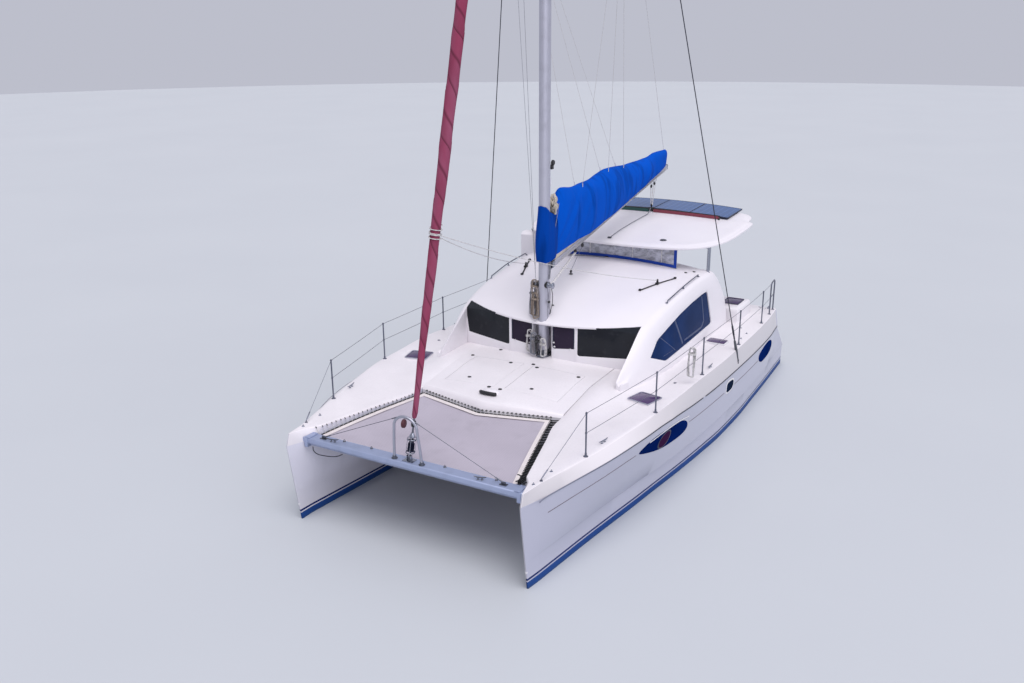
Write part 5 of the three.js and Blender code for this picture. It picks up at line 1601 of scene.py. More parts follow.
class FurlerOperator(bpy.types.Operator):
    """Furling drum, its cage, swivel and tack fitting on the crossbeam"""

    bl_idname = "catamaran.furler"
    bl_label = "Furling gear"

    def execute(self, context):
        axis = Vector((0, STAY_SLOPE, 1)).normalized()

        def on_stay(name, profile, z, look, slot, steps=28):
            return dress(turned(name, profile, stay_point(z), axis, steps), look, slot)

        pole = tube("furler_stem", [stay_point(1.533), stay_point(2.19)], 0.016, 14)
        dress(pole, "dull_steel", "steel", stands_for="furler")
        on_stay("furler_drum", [(0, 0.0), (0.062, 0.0), (0.070, 0.004), (0.070, 0.010), (0.042, 0.016),
                                (0.038, 0.040), (0.038, 0.150), (0.042, 0.172), (0.070, 0.180), (0.072, 0.186),
                                (0.062, 0.192), (0, 0.192)], 1.675, "navy", "dark")
        on_stay("furler_line", [(0.0, 0.0)] + [(0.050 + 0.006 * math.sin(i * math.pi), i * 0.0045)
                                               for i in np.arange(0, 26, 0.5)] + [(0.0, 0.117)], 1.700, "navy",
                "sail")
        on_stay("furler_collar", [(0, 0), (0.030, 0), (0.046, 0.012), (0.046, 0.050), (0.032, 0.070), (0.026, 0.090),
                                  (0, 0.09)], 1.880, "steel", "steel")
        on_stay("furler_swivel", [(0, 0), (0.030, 0), (0.040, 0.02), (0.040, 0.075), (0.028, 0.10), (0, 0.10)], 2.060,
                "black", "dark")
        bars = []
        for k in range(4):
            a = math.tau * k / 4 + 0.4
            out = Vector((math.cos(a), math.sin(a), 0)) * 0.072
            path = rounded_path([stay_point(1.628), stay_point(1.640) + out, stay_point(1.905) + out,
                                 stay_point(1.915) + out * 0.3], 0.04, 4)
            bars.append(tube("cage_bar", path, 0.0050, 8, flat=0.6))
        for z in (1.668, 1.872):
            ring = [stay_point(z) + Vector((0.072 * math.cos(a), 0.072 * math.sin(a), 0))
                    for a in np.linspace(0, math.tau, 28, endpoint=False)]
            bars.append(tube("cage_ring", ring, 0.009, 8, closed=True, flat=0.6))
        dress(join(bars, "furler_cage"), "steel", "steel")
        fork = [block("fork", (-0.045, -0.030), (-5.655, -5.605), (1.5353, 1.63), 0.006),
                block("fork", (0.030, 0.045), (-5.655, -5.605), (1.5353, 1.63), 0.006),
                rod("fork_pin", (-0.055, -5.63, 1.60), (0.055, -5.63, 1.60), 0.010, 16, round_by=0.002),
                block("foot_plate", (-0.10, 0.10), (-5.70, -5.56), (1.5353, 1.545), 0.004)]
        dress(join(fork, "furler_fork"), "steel", "steel")
        shell = turned("spare_block", [(0, -0.028), (0.050, -0.028), (0.066, -0.020), (0.070, 0), (0.066, 0.020),
                                       (0.050, 0.028), (0, 0.028)], (0.0, -5.735, 2.205), (1, 0.2, 0), 24)
        dress(shell, "maroon", "dark")
        hanger = tube("block_hanger", [(0.0, -5.716, 2.290), (0.0, -5.724, 2.27), (0.0, -5.732, 2.25)], 0.007, 8)
        dress(hanger, "grey_rope", "dark")
        return {"FINISHED"}


class BowGearOperator(bpy.types.Operator):
    """Crossbeam, hoop with its bridle wires and their fittings"""

    bl_idname = "catamaran.bow_gear"
    bl_label = "Crossbeam and hoop"

    def execute(self, context):
        beam = refined("crossbeam", "bow_beam", 0.010, 3, 30)
        dress(beam, "beam_alloy", "alloy", stands_for="crossbeam")
        arc = [(0.217 * math.cos(a), -5.70, 2.118 + 0.183 * math.sin(a)) for a in np.linspace(0, math.pi, 19)]
        path = [(0.262, -5.668, 1.537), (0.252, -5.678, 1.72), (0.236, -5.69, 1.92), (0.222, -5.698, 2.05), *arc,
                (-0.222, -5.698, 2.05), (-0.236, -5.69, 1.92), (-0.252, -5.678, 1.72), (-0.262, -5.668, 1.537)]
        hoop = tube("bow_arch", curved(path, 3), 0.0225, 16)
        dress(hoop, "alloy", "steel", stands_for="bow_hoop")
        bits = []
        for side in (1, -1):
            bits.append(turned("arch_foot", [(0, 0), (0.052, 0), (0.052, 0.008), (0.034, 0.014), (0.030, 0.05),
                                             (0.024, 0.055), (0, 0.055)], (side * 0.262, -5.668, BEAM_TOP_Z),
                               steps=24))
            wire = [Vector((side * 0.15, -5.70, 2.268)), Vector((side * 1.70, -5.632, 1.575))]
            bits.append(tube("bridle", wire, 0.0050, 8))
            ahead = (wire[0] - wire[1]).normalized()
            bits.append(tube("bridle_end", [wire[1], wire[1] + ahead * 0.10, wire[1] + ahead * 0.14],
                             [0.011, 0.011, 0.006], 10))
            bits.append(tube("bridle_top", [wire[0], wire[0] - ahead * 0.10, wire[0] - ahead * 0.13],
                             [0.010, 0.010, 0.006], 10))
            bits.append(block("bridle_lug", (side * 1.725 - 0.05, side * 1.725 + 0.03), (-5.639, -5.625),
                              (BEAM_TOP_Z, 1.585), 0.005))
            bits.append(block("bridle_base", (side * 1.725 - 0.07, side * 1.725 + 0.05), (-5.67, -5.59),
                              (BEAM_TOP_Z, 1.543), 0.003))
        dress(join(bits, "bow_bridle"), "dull_steel", "steel")
        brackets = []
        for side in (1, -1):
            x = (1.95, 2.055) if side > 0 else (-2.055, -1.95)
            brackets.append(block("beam_bracket", x, (-5.742, -5.518), (BEAM_TOP_Z, 1.547), 0.004))
            for dx in (0.02, 0.08):
                for y in (-5.71, -5.55):
                    brackets.append(turned("bolt", [(0, 0.008), (0.009, 0.007), (0.011, 0), (0, 0)],
                                           (x[0] + dx, y, 1.547), steps=10))
            brackets.append(block("beam_socket", (min(side * 2.00, side * 2.07), max(side * 2.00, side * 2.07)),
                                  (-5.752, -5.508), (1.362, 1.53), 0.01))
        dress(join(brackets, "beam_brackets"), "beam_alloy", "alloy")
        fittings = []
        for x in (-1.52, 1.32):
            fittings += cleat_parts((x, -5.66, 1.5353), (1, 0.25, 0), 0.20)
        for x in (-1.36, -0.80, 0.62, 1.55):
            fittings += padeye_parts((x, -5.56, 1.5353), (1, 0, 0))
        dress(join(fittings, "beam_fittings"), "dull_steel", "steel")
        loop = curved([(-1.93, -5.70, 1.374), (-1.90, -5.72, 1.31), (-1.80, -5.73, 1.275), (-1.62, -5.735, 1.285),
                       (-1.42, -5.73, 1.32), (-1.30, -5.70, 1.373)], 6)
        dress(tube("beam_cable", loop, 0.008, 8), "dark_wire", "steel")
        return {"FINISHED"}


def cleat_parts(place, along, length):
    """A horn cleat with two feet and flared horns."""
    place, along = Vector(place), Vector(along).normalized()
    half = length / 2
    horn = [place + along * (half * t) + Vector((0, 0, h)) for t, h in
            ((-1.0, 0.052), (-0.8, 0.044), (-0.45, 0.038), (0, 0.037), (0.45, 0.038), (0.8, 0.044), (1.0, 0.052))]
    parts = [tube("horn", curved(horn, 3), [0.0055 + 0.0065 * math.sin(math.pi * (i + 0.5) / 19) for i in range(19)],
                  8)]
    for side in (-1, 1):
        foot = place + along * (half * 0.32 * side)
        parts.append(turned("cleat_foot", [(0, 0), (0.022, 0), (0.022, 0.004), (0.010, 0.012), (0.009, 0.036),
                                           (0, 0.036)], foot, steps=14))
    return parts


def padeye_parts(place, along):
    """A folding eye on a round plate."""
    place, along = Vector(place), Vector(along).normalized()
    base = disc("eye_base", [(0.022, 0.005), (0.026, 0.002), (0.027, 0)], place)
    arc = [place + along * (0.017 * math.cos(a)) + Vector((0, 0, 0.004 + 0.030 * math.sin(a)))
           for a in np.linspace(0, math.pi, 11)]
    return [base, tube("eye", arc, 0.0045, 8)]


# Trampoline corners: port fore, port aft, middle of the foredeck edge
NET_FORE = (1.885, -5.5197, 1.4625)
NET_AFT = (1.285, -3.262, 1.590)
NET_APEX = (0.0, -3.560, 1.575)


class TrampolineOperator(bpy.types.Operator):
    """The net between the bows, its border, lashings and hooks"""

    bl_idname = "catamaran.trampoline"
    bl_label = "Trampoline"

    def execute(self, context):
        port_fore, port_aft, apex = (Vector(p) for p in (NET_FORE, NET_AFT, NET_APEX))
        edge_in = 0.100

        def on_net(u, v, lift=0.0):
            """A place on the net, u across to port and v aft."""
            wider = 0.0 if u > 0 else 0.078
            x = u * lerp(port_fore.x + wider, port_aft.x + wider, v)
            y = lerp(port_fore.y, lerp(apex.y, port_aft.y, abs(u)), v)
            z = lerp(port_fore.z, lerp(apex.z, port_aft.z, abs(u)),
                     v) + 0.006 + 0.028 * u * u * math.sin(math.pi * min(v + 0.05, 1))
            return Vector((x, y, z - 0.055 * (1 - u ** 4) * math.sin(math.pi * v) ** 0.8 + lift))

        points, count_u, count_v = [], 41, 33
        for j in range(count_v):
            v = j / (count_v - 1)
            for i in range(count_u):
                u = i / (count_u - 1) * 2 - 1
                points.append(on_net(u, v))
        net = from_points("net_cloth", points, grid_faces(count_v, count_u))
        outward(net)
        if net.data.polygons[0].normal.z < 0:
            flipped(net)
        modify(net, "SOLIDIFY", thickness=0.004, offset=0.0)
        smooth(net, 60)
        dress(net, "net", "net", stands_for="trampoline")

        rim = ([on_net(u, 0.0, 0.004) for u in np.linspace(-1, 1, 30)]
               + [on_net(1, v, 0.004) for v in np.linspace(0, 1, 24)[1:]]
               + [on_net(u, 1, 0.004) for u in np.linspace(1, -1, 31)[1:]]
               + [on_net(-1, v, 0.004) for v in np.linspace(1, 0, 24)[1:-1]])
        border = border_band("net_border", rim, edge_in)
        dress(border, "border", "net")
        rope = tube("net_bolt_rope", [p + Vector((0, 0, 0.004)) for p in rim], 0.009, 8, closed=True)
        dress(rope, "black_webbing", "net")
        lashings, ties, hooks = [], [], []
        for side in (1, -1):
            rows = 46 if side > 0 else 25
            for k in range(rows):
                v = (k + 0.5) / rows
                eye = on_net(side, v, 0.006)
                eye.x -= side * 0.030
                edge = deck_inner_x(eye.y)
                slip = 0.02 if side > 0 else 0.004
                deck = Vector((side * edge, eye.y + (slip if k % 2 else -slip), deck_inner_z(eye.y) - 0.012))
                line = [eye, eye.lerp(deck, 0.5) + Vector((0, 0, -0.006)), deck]
                (lashings if side > 0 else ties).append(tube("lash", line, 0.0095 if side > 0 else 0.0030, 5))
                if side < 0:
                    hooks.append(tube("hook", [deck + Vector((0.020, -0.012, 0.010)),
                                               deck + Vector((-0.004, 0, 0.020)),
                                               deck + Vector((-0.020, 0.012, 0.018))], 0.0085, 6))
        lashings += [tube("lace", [on_net(-1, v, 0.010) - Vector((0.010, 0, 0)) for v in np.linspace(0.02, 0.98, 20)],
                          0.008, 6), tube("lace", [on_net(u, 1, 0.008) + Vector((0, 0.012, 0))
                                                   for u in np.linspace(-0.98, 0.98, 30)], 0.008, 6)]
        bundle = on_net(1, 0.03, 0.01)
        lashings.append(tube("lash_end", curved([bundle + Vector((0.03 * math.cos(a), 0.05 * math.sin(a), 0.012 * k))
                                                 for k, a in enumerate(np.linspace(0, 9, 14) % math.tau)], 3), 0.010,
                             6))
        for k in range(34):
            u = (k + 0.5) / 34 * 2 - 1
            eye = on_net(u, 1, 0.006)
            eye.y -= 0.028
            place = Vector((eye.x * 1.004, -3.508 + 0.221 * abs(eye.x), eye.z + 0.032))
            ties.append(tube("lash", [eye, place], 0.0030, 5))
            hooks.append(tube("hook", [place + Vector((-0.012, -0.012, -0.004)),
                                       place + Vector((-0.010, 0.010, 0.010)), place + Vector((0.010, 0.010, 0.010)),
                                       place + Vector((0.012, -0.012, -0.004))], 0.0070, 6))
        for k in range(40):
            u = (k + 0.5) / 40 * 2 - 1
            eye = on_net(u, 0, 0.006)
            eye.y += 0.026
            lashings.append(tube("lash", [eye, Vector((eye.x, -5.5185, 1.512)),
                                          Vector((eye.x + 0.03, -5.5185, 1.522))], 0.006, 5))
        dress(join(lashings, "net_lashings"), "black_webbing", "net")
        dress(join(ties, "net_ties"), "white_rope", "net")
        dress(join(hooks, "net_hooks"), "black", "steel")
        return {"FINISHED"}


def border_band(name, rim, wide):
    """A flat band inside a closed rim."""
    centre = sum(rim, Vector()) / len(rim)
    count = len(rim)
    points, uvs, faces = [], [], []
    run = 0.0
    lengths = []
    for i, p in enumerate(rim):
        if i:
            run += (p - rim[i - 1]).length
        lengths.append(run)
    total = run + (rim[0] - rim[-1]).length
    for i, p in enumerate(rim):
        tangent = (rim[(i + 1) % count] - rim[i - 1]).normalized()
        inward = Vector((-tangent.y, tangent.x, 0)).normalized()
        if inward.dot(centre - p) < 0:
            inward = -inward
        points += [p, p + inward * wide + Vector((0, 0, -0.001))]
    for i in range(count):
        j = (i + 1) % count
        far = lengths[j] if j else total
        faces.append((2 * i, 2 * j, 2 * j + 1, 2 * i + 1))
        uvs += [(0, lengths[i]), (0, far), (1, far), (1, lengths[i])]
    band = set_uvs(from_points(name, points, faces), uvs)
    modify(band, "SOLIDIFY", thickness=0.003, offset=0.0)
    return smooth(band, 60)


def deck_inner_x(y):
    return hull_ring(max(y, -5.5))[27][0] + 0.004


def deck_inner_z(y):
    return hull_ring(max(y, -5.5))[27][2]


def boom_low(y):
    return BOOM_FRONT[1] + (y - BOOM_FRONT[0]) * BOOM_SLOPE


class MastOperator(bpy.types.Operator):
    """Mast with its sail track, spreaders, winches, heel and gooseneck"""

    bl_idname = "catamaran.mast"
    bl_label = "Mast"

    def execute(self, context):
        def section(z, grow=0.0):
            return [(*mast_skin(math.tau * k / 40, grow), z) for k in range(40)]

        tube_body = loft("mast_tube", [section(z) for z in (1.90, 2.6, 3.4, 5.0, 8.0, 12.0, 16.0, 18.5)]
                         + [section(18.62, -0.008), section(18.68, -0.04)])
        smooth(tube_body, 45)
        dress(tube_body, "mast_alloy", "alloy", stands_for="mast")
        track = block("mast_track", (-0.012, 0.012), (MAST_Y + 0.104, MAST_Y + 0.122), (3.95, 18.3), 0.003)
        dress(track, "dull_steel", "alloy")
        steel = [rod("gooseneck_pin", (0, -0.940, 3.580), (0, -0.940, 3.716), 0.0118, 20, round_by=0.002),
                 block("gooseneck_tongue", (-0.027, 0.027), (MAST_Y + 0.09, -0.918), (3.617, 3.678), 0.006)]
        for side, word in SIDES:
            spreader = loft("spreader", [airfoil_ring(Vector((0, MAST_Y,
                                                              10.62)).lerp(Vector((side * 1.49, 0.174, 10.6)), t),
                                                      lerp(0.06, 0.035, t), lerp(0.024, 0.014, t), side)
                                         for t in (0.03, 0.2, 0.6, 0.97, 1.0)])
            dress(smooth(spreader, 45), "mast_alloy", "alloy")
            spreader.name = f"spreader_{word}"
            drum = [(0, 0), (0.064, 0), (0.064, 0.012), (0.046, 0.022), (0.040, 0.050), (0.046, 0.082),
                    (0.060, 0.092), (0.062, 0.104), (0.056, 0.112), (0.030, 0.116), (0.018, 0.124), (0, 0.124)]
            winch = turned(f"mast_winch_{word}", drum, (side * 0.120, -1.19, 3.349), (side, 0, 0), 28)
            dress(winch, "steel", "steel")
            pad = rod(f"winch_pad_{word}", (side * 0.05, -1.17, 3.349), (side * 0.120, -1.19, 3.349), 0.062, 24,
                      0.064, 0.006)
            dress(pad, "black", "dark")
            steel += cleat_parts_on_mast(side)
        steel += [block("masthead", (-0.05, 0.05), (MAST_Y - 0.16, MAST_Y + 0.16), (18.64, 18.69), 0.01),
                  block("stay_tang", (-0.014, 0.014), (-1.33, MAST_Y), (17.76, 17.84), 0.004)]
        dress(join(steel, "mast_fittings"), "dull_steel", "steel")
        heel = loft("mast_heel", [section(z, grow) for z,
                                  grow in ((1.86, 0.045), (1.955, 0.045), (1.965, 0.040), (1.972, 0.010),
                                           (2.05, 0.006), (2.06, 0.0))])
        dress(smooth(heel, 35), "dull_steel", "alloy")
        upper = [sheave_block((0.098, -0.985, 5.62), 0.050),
                 block("goose", (0.03, 0.10), (-1.03, -0.95), (5.50, 5.58), 0.008)]
        dress(join(upper, "mast_upper_block"), "black", "dark")
        dress(block("mast_slide", (0.0, 0.05), (-0.99, -0.945), (5.20, 5.33), 0.010), "white_plastic", "sail")
        return {"FINISHED"}


def mast_skin(a, grow):
    """A place in plan on the mast's oval section, grown outwards."""
    return math.cos(a) * (MAST_HALF_WIDE + grow), MAST_MIDDLE_Y + math.sin(a) * (MAST_HALF_LONG + grow)


def airfoil_ring(centre, chord, thick, side):
    turns = [math.tau * k / 16 for k in range(16)]
    ring = [(centre.x, centre.y + chord * math.cos(a), centre.z + thick * math.sin(a)) for a in turns]
    return ring if side > 0 else ring[::-1]


def cleat_parts_on_mast(side):
    parts = []
    for z in (2.95, 3.12):
        base = block("mast_cleat", (min(side * 0.068, side * 0.088), max(side * 0.068, side * 0.088)), (-1.15, -1.11),
                     (z - 0.05, z + 0.05), 0.006)
        horn = [(side * 0.092, -1.13, z + dz) for dz in (-0.085, -0.05, 0.0, 0.05, 0.085)]
        parts += [base, tube("mast_horn", horn, [0.005, 0.008, 0.010, 0.008, 0.005], 8)]
    return parts


class ShroudsOperator(bpy.types.Operator):
    """Shroud wires with their rigging screws, sleeves and chainplates"""

    bl_idname = "catamaran.shrouds"
    bl_label = "Shrouds"

    def execute(self, context):
        foot = Vector((3.036, 1.640, 1.425))
        tip = Vector((1.480, 0.180, 10.600))
        head = Vector((0.075, MAST_Y, 16.700))
        ahead = (tip - foot).normalized()
        wires = join([tube("wire", [foot + ahead * 0.9, tip], 0.0095, 8), tube("wire", [tip, head], 0.0095, 8)],
                     "shroud_wire")
        screw = [tube("screw", [foot + ahead * s for s in (0.46, 0.50, 0.52, 0.60, 0.605, 0.80, 0.805, 0.86, 0.90,
                                                           0.98)], [0.010, 0.010, 0.016, 0.016, 0.020, 0.020, 0.014,
                                                                    0.014, 0.009, 0.007], 14)]
        screw.append(block("chainplate", (2.990, 3.044), (1.612, 1.668), (1.385, 1.475), 0.004))
        for z in (1.40, 1.455):
            screw.append(turned("bolt", [(0, 0.008), (0.008, 0.007), (0.010, 0), (0, 0)], (3.044, 1.64, z), (1, 0, 0),
                                10))
        screw = join(screw, "shroud_screw")
        sleeve = tube("shroud_sleeve", [foot + ahead * s for s in (0.03, 0.06, 0.28, 0.47, 0.50)],
                      [0.010, 0.020, 0.030, 0.022, 0.012], 18)
        dress_pair(wires, "dark_wire", "steel", "shroud")
        dress_pair(screw, "dark_wire", "steel")
        dress_pair(sleeve, "grey_rub", "dark")
        return {"FINISHED"}


class BoomOperator(bpy.types.Operator):
    """Boom with its end fitting, gooseneck fork, outhaul and reefing gear"""

    bl_idname = "catamaran.boom"
    bl_label = "Boom"

    def execute(self, context):
        corners = [(-0.062, 0.0), (0.062, 0.0), (0.062, BOOM_DEEP), (-0.062, BOOM_DEEP)]
        outline = rounded_path([Vector((a, 0, b)) for a, b in [*corners, corners[0], corners[1]]], 0.035, 5)[6:-1]
        outline = outline[:-6] if (outline[0] - outline[-6]).length < 0.02 else outline
        section = distinct(outline, 0.002, 0.004)
        beam = loft("boom_beam", [[(p.x, y, boom_low(y) + p.z) for p in section]
                                  for y in (-0.885, 0.6, 2.0, 3.5, 4.965)])
        dress(smooth(beam, 40), "mast_alloy", "alloy", BOOM, "boom")
        groove = loft("boom_groove", [[(x, y, boom_low(y) + z)
                                       for x, z in ((-0.010, 0.142), (0.010, 0.142), (0.010, 0.1525),
                                                    (-0.010, 0.1525))] for y in (-0.7, 4.8)])
        dress(groove, "dull_steel", "alloy", BOOM)
        bright = []

        def ring(y, s):
            return [(p.x * s, y, boom_low(y) + BOOM_DEEP / 2 + (p.z - BOOM_DEEP / 2) * s) for p in section]

        bright.append(loft("boom_cap", [ring(4.955, 1.02), ring(4.96, 1.03), ring(4.995, 1.03), ring(5.006, 0.94)]))
        bright.append(loft("boom_nose", [ring(-0.889, 0.9), ring(-0.88, 1.02), ring(-0.80, 1.02), ring(-0.795, 1.0)]))
        fork_low, fork_high = 3.5785, 3.7165
        for low, high in ((fork_low, 3.6095), (3.6855, fork_high)):
            fork = block("fork_jaw", (-0.029, 0.029), (-0.961, -0.872), (low, high), 0.004)
            hole = rod("fork_hole", (0, -0.940, low - 0.05), (0, -0.940, high + 0.05), 0.0128, 24)
            bright.append(cut(fork, hole))
        for y in (4.15, 4.34):
            z = boom_low(y)
            bright.append(tube("boom_bail", [(-0.045, y, z + 0.02), (-0.045, y, z - 0.02), (-0.02, y, z - 0.05),
                                             (0.02, y, z - 0.05), (0.045, y, z - 0.02), (0.045, y, z + 0.02)], 0.006,
                               8))
        for y in (0.9, 2.1, 3.1):
            z = boom_low(y)
            bright.append(block("boom_eye", (0.058, 0.068), (y - 0.03, y + 0.03), (z + 0.055, z + 0.085), 0.004))
        dress(join([smooth(part, 40) for part in bright], "boom_fittings"), "steel", "steel", BOOM)
        lines = []
        for x, low_y, high_y, drop in ((0.071, -0.70, 4.90, 0.055), (0.072, -0.55, 4.90, 0.085),
                                       (-0.071, -0.60, 4.90, 0.07)):
            path = [(x, y, boom_low(y) + drop + 0.008 * math.sin(y * 2.1 + x * 40))
                    for y in np.linspace(low_y, high_y, 30)]
            lines.append(tube("reef_line", path, 0.0055, 8))
        dress(join(lines, "reefing_lines"), "white_rope", "sail", BOOM)
        rings = []
        for y in np.linspace(-0.78, 4.86, 60):
            z = boom_low(y) + BOOM_DEEP
            width = float(np.interp(y, (-0.8, 0.3, 3.0, 4.9), (0.085, 0.095, 0.08, 0.05)))
            rise = float(np.interp(y, (-0.8, 0.3, 1.7, 4.9), (0.24, 0.14, 0.06, 0.04)))
            wave = 0.010 * math.sin(y * 17) + 0.008 * math.sin(y * 41)
            ring = [(-width * 0.6, y, z + 0.004), (-width + wave, y, z + rise * 0.4),
                    (-width * 0.8 - wave, y, z + rise), (width * 0.8 + wave, y, z + rise),
                    (width + wave, y, z + rise * 0.45), (width * 0.6, y, z + 0.004)]
            rings.append(ring)
        foot = loft("sail_foot", rings)
        uv_by_length(foot)
        dress(smooth(foot, 50), "sailcloth", "sail", BOOM)
        return {"FINISHED"}


def uv_by_length(thing):
    """A plain UV map in metres: across by z and x, along by y."""
    mesh = thing.data
    layer = mesh.uv_layers.get("along") or mesh.uv_layers.new(name="along")
    for loop in mesh.loops:
        co = mesh.vertices[loop.vertex_index].co
        layer.data[loop.index].uv = (co.x + co.z, co.y)


# Sail cover, each row: y, hem above the boom's underside, top z, half width
COVER_ROWS = [
    (-0.800, 0.262, 4.735, 0.118),
    (-0.500, 0.262, 5.085, 0.168),
    (0.000, 0.245, 5.030, 0.200),
    (0.500, 0.205, 5.045, 0.222),
    (1.300, 0.175, 5.140, 0.232),
    (1.600, 0.165, 5.175, 0.230),
    (2.300, 0.160, 5.155, 0.220),
    (3.400, 0.160, 5.130, 0.196),
    (4.290, 0.160, 5.200, 0.150),
    (4.880, 0.160, 5.190, 0.090),
]


class SailCoverOperator(bpy.types.Operator):
    """The blue cover over the stowed mainsail, with its seams, folds and apron round the mast"""

    bl_idname = "catamaran.sail_cover"
    bl_label = "Sail cover"

    def execute(self, context):
        cover = sail_cover_cloth("boom_cover_cloth")
        dress(cover, "canvas", "canvas", BOOM, "mainsail_cover")
        head = []
        wander = random.Random(3)
        for k in range(9):
            a = k / 8 * math.pi
            base = Vector((0.06 * math.cos(a), -0.83 + 0.05 * math.sin(a), 4.62))
            path = [base + Vector((wander.uniform(-0.03, 0.03), wander.uniform(-0.03, 0.04), dz))
                    for dz in np.linspace(0, 0.36 + wander.uniform(-0.08, 0.08), 7)]
            head.append(tube("head_fold", curved(path, 3),
                             [0.038 * math.sin(math.pi * (i + 1.2) / 21) + 0.008 for i in range(19)], 8, flat=0.5))
        bundle = join(head, "sail_head")
        dress(bundle, "sailcloth", "sail")
        apron = apron_cloth("mast_apron_cloth")
        # The apron wears the darker copy of the cover's canvas: painted shade.
        dress(apron, "apron_canvas_painted_shade", "canvas", None, "cover_apron")
        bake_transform(apron)
        return {"FINISHED"}


def cover_half_ring(y, count=22):
    """One side of the cover at y, from the hem up to the top: points of x and z."""
    hem, top, half = columns_at(COVER_ROWS, y)
    low = boom_low(y) + hem
    profile = [(0.74, 0.0), (0.90, 0.14), (0.985, 0.30), (1.0, 0.50), (0.93, 0.68), (0.74, 0.84), (0.42, 0.955),
               (0.16, 0.992), (0.0, 1.0)]
    path = curved([Vector((a * half, 0, low + b * (top - low))) for a, b in profile], 6)
    steps = np.linspace(0, len(path) - 1, count)
    points = []
    for s in steps:
        i = min(int(s), len(path) - 2)
        p = path[i].lerp(path[i + 1], s - i)
        points.append((max(p.x, 0.0), p.z))
    return points


def sail_cover_cloth(name):
    """A draped shell with vertical folds, pressed seams, ties and a turned hem."""
    wander = random.Random(21)
    folds = [(wander.uniform(-0.7, 4.7), wander.uniform(0.10, 0.30), wander.uniform(-0.018, 0.020),
              wander.uniform(-0.35, 0.35)) for _ in range(26)]
    folds += [(wander.uniform(-0.6, 4.6), wander.uniform(0.03, 0.05), wander.uniform(-0.009, 0.008),
               wander.uniform(-0.6, 0.6)) for _ in range(14)]
    pulls = [(-0.62, 0.050, 0.014, 0.9), (-0.45, 0.045, -0.014, 1.1), (-0.25, 0.060, 0.015, 0.9),
             (0.0, 0.055, -0.012, 1.2), (0.28, 0.070, 0.012, 0.8)]
    seams = [0.62, 2.10, 3.60]
    ties = [0.05, 1.20, 2.55, 3.75]
    count = 22
    ys = [*np.linspace(-0.80, 4.86, 188), 4.872, 4.880, 4.886]
    points, ring_size = [], 2 * count - 1
    for y in ys:
        half = cover_half_ring(y, count)
        ring = []
        for side in (1, -1):
            rows = half if side > 0 else half[-2::-1]
            for x, z in rows:
                low, high = half[0][1], half[-1][1]
                up = (z - low) / (high - low)
                push = 0.0
                for at, wide, deep, lean in folds + pulls:
                    gap = (y - at - lean * (up - 0.5) * side) / wide
                    if abs(gap) < 3:
                        share = 1 if hash_side(at) == side else 0.5
                        push += 1.7 * deep * math.exp(-gap * gap) * (0.25 + 0.75 * math.sin(math.pi * up)) * share
                for at in seams:
                    push -= 0.004 * math.exp(-((y - at) / 0.010) ** 2)
                for at in ties:
                    push -= 0.014 * math.exp(-((y - at) / 0.10) ** 2) * math.exp(-((up - 0.12) / 0.25) ** 2)
                push += 0.006 * math.sin(y * 3.1 + up * 6) + 0.008 * math.sin(y * 1.7 - up * 4) * (1 - up)
                edge = 0.005 * math.exp(-(up / 0.04) ** 2)
                width = max(0.0, x + (push + edge) * min(1.0, x / 0.05)) if x > 0.001 else 0.0
                width *= 1 - 0.97 * max(0.0, (y - 4.855) / 0.031) ** 2
                sag = -0.022 * (math.exp(-((y - 0.9) / 0.22) ** 2) + math.exp(-((y - 2.6) / 0.3) ** 2)
                                + math.exp(-((y - 3.9) / 0.25) ** 2)) * up ** 6
                slant = 0.105 * (up - 0.5) * min(max((y - 4.2) / 0.6, 0.0), 1.0)
                ring.append((side * width, y + slant, z + sag))
        points += ring
    cover = from_points(name, points, grid_faces(len(ys), ring_size))
    set_uvs(cover, grid_uvs([i * 0.06 for i in range(ring_size)], ys))
    face_out(cover, Vector((0, 2.0, 4.5)))
    modify(cover, "SOLIDIFY", thickness=0.006, offset=-1.0, use_even_offset=False)
    modify(cover, "SUBSURF", levels=1, render_levels=1)
    return smooth(cover, 80)


def hash_side(value):
    """A repeatable sign from a number."""
    return 1 if math.sin(value * 91.7) > 0 else -1


def face_out(thing, middle):
    """Turns an open sheet so that most of it faces away from a middle."""
    lean = sum((face.center - middle).dot(face.normal) * face.area for face in thing.data.polygons)
    return flipped(thing) if lean < 0 else thing


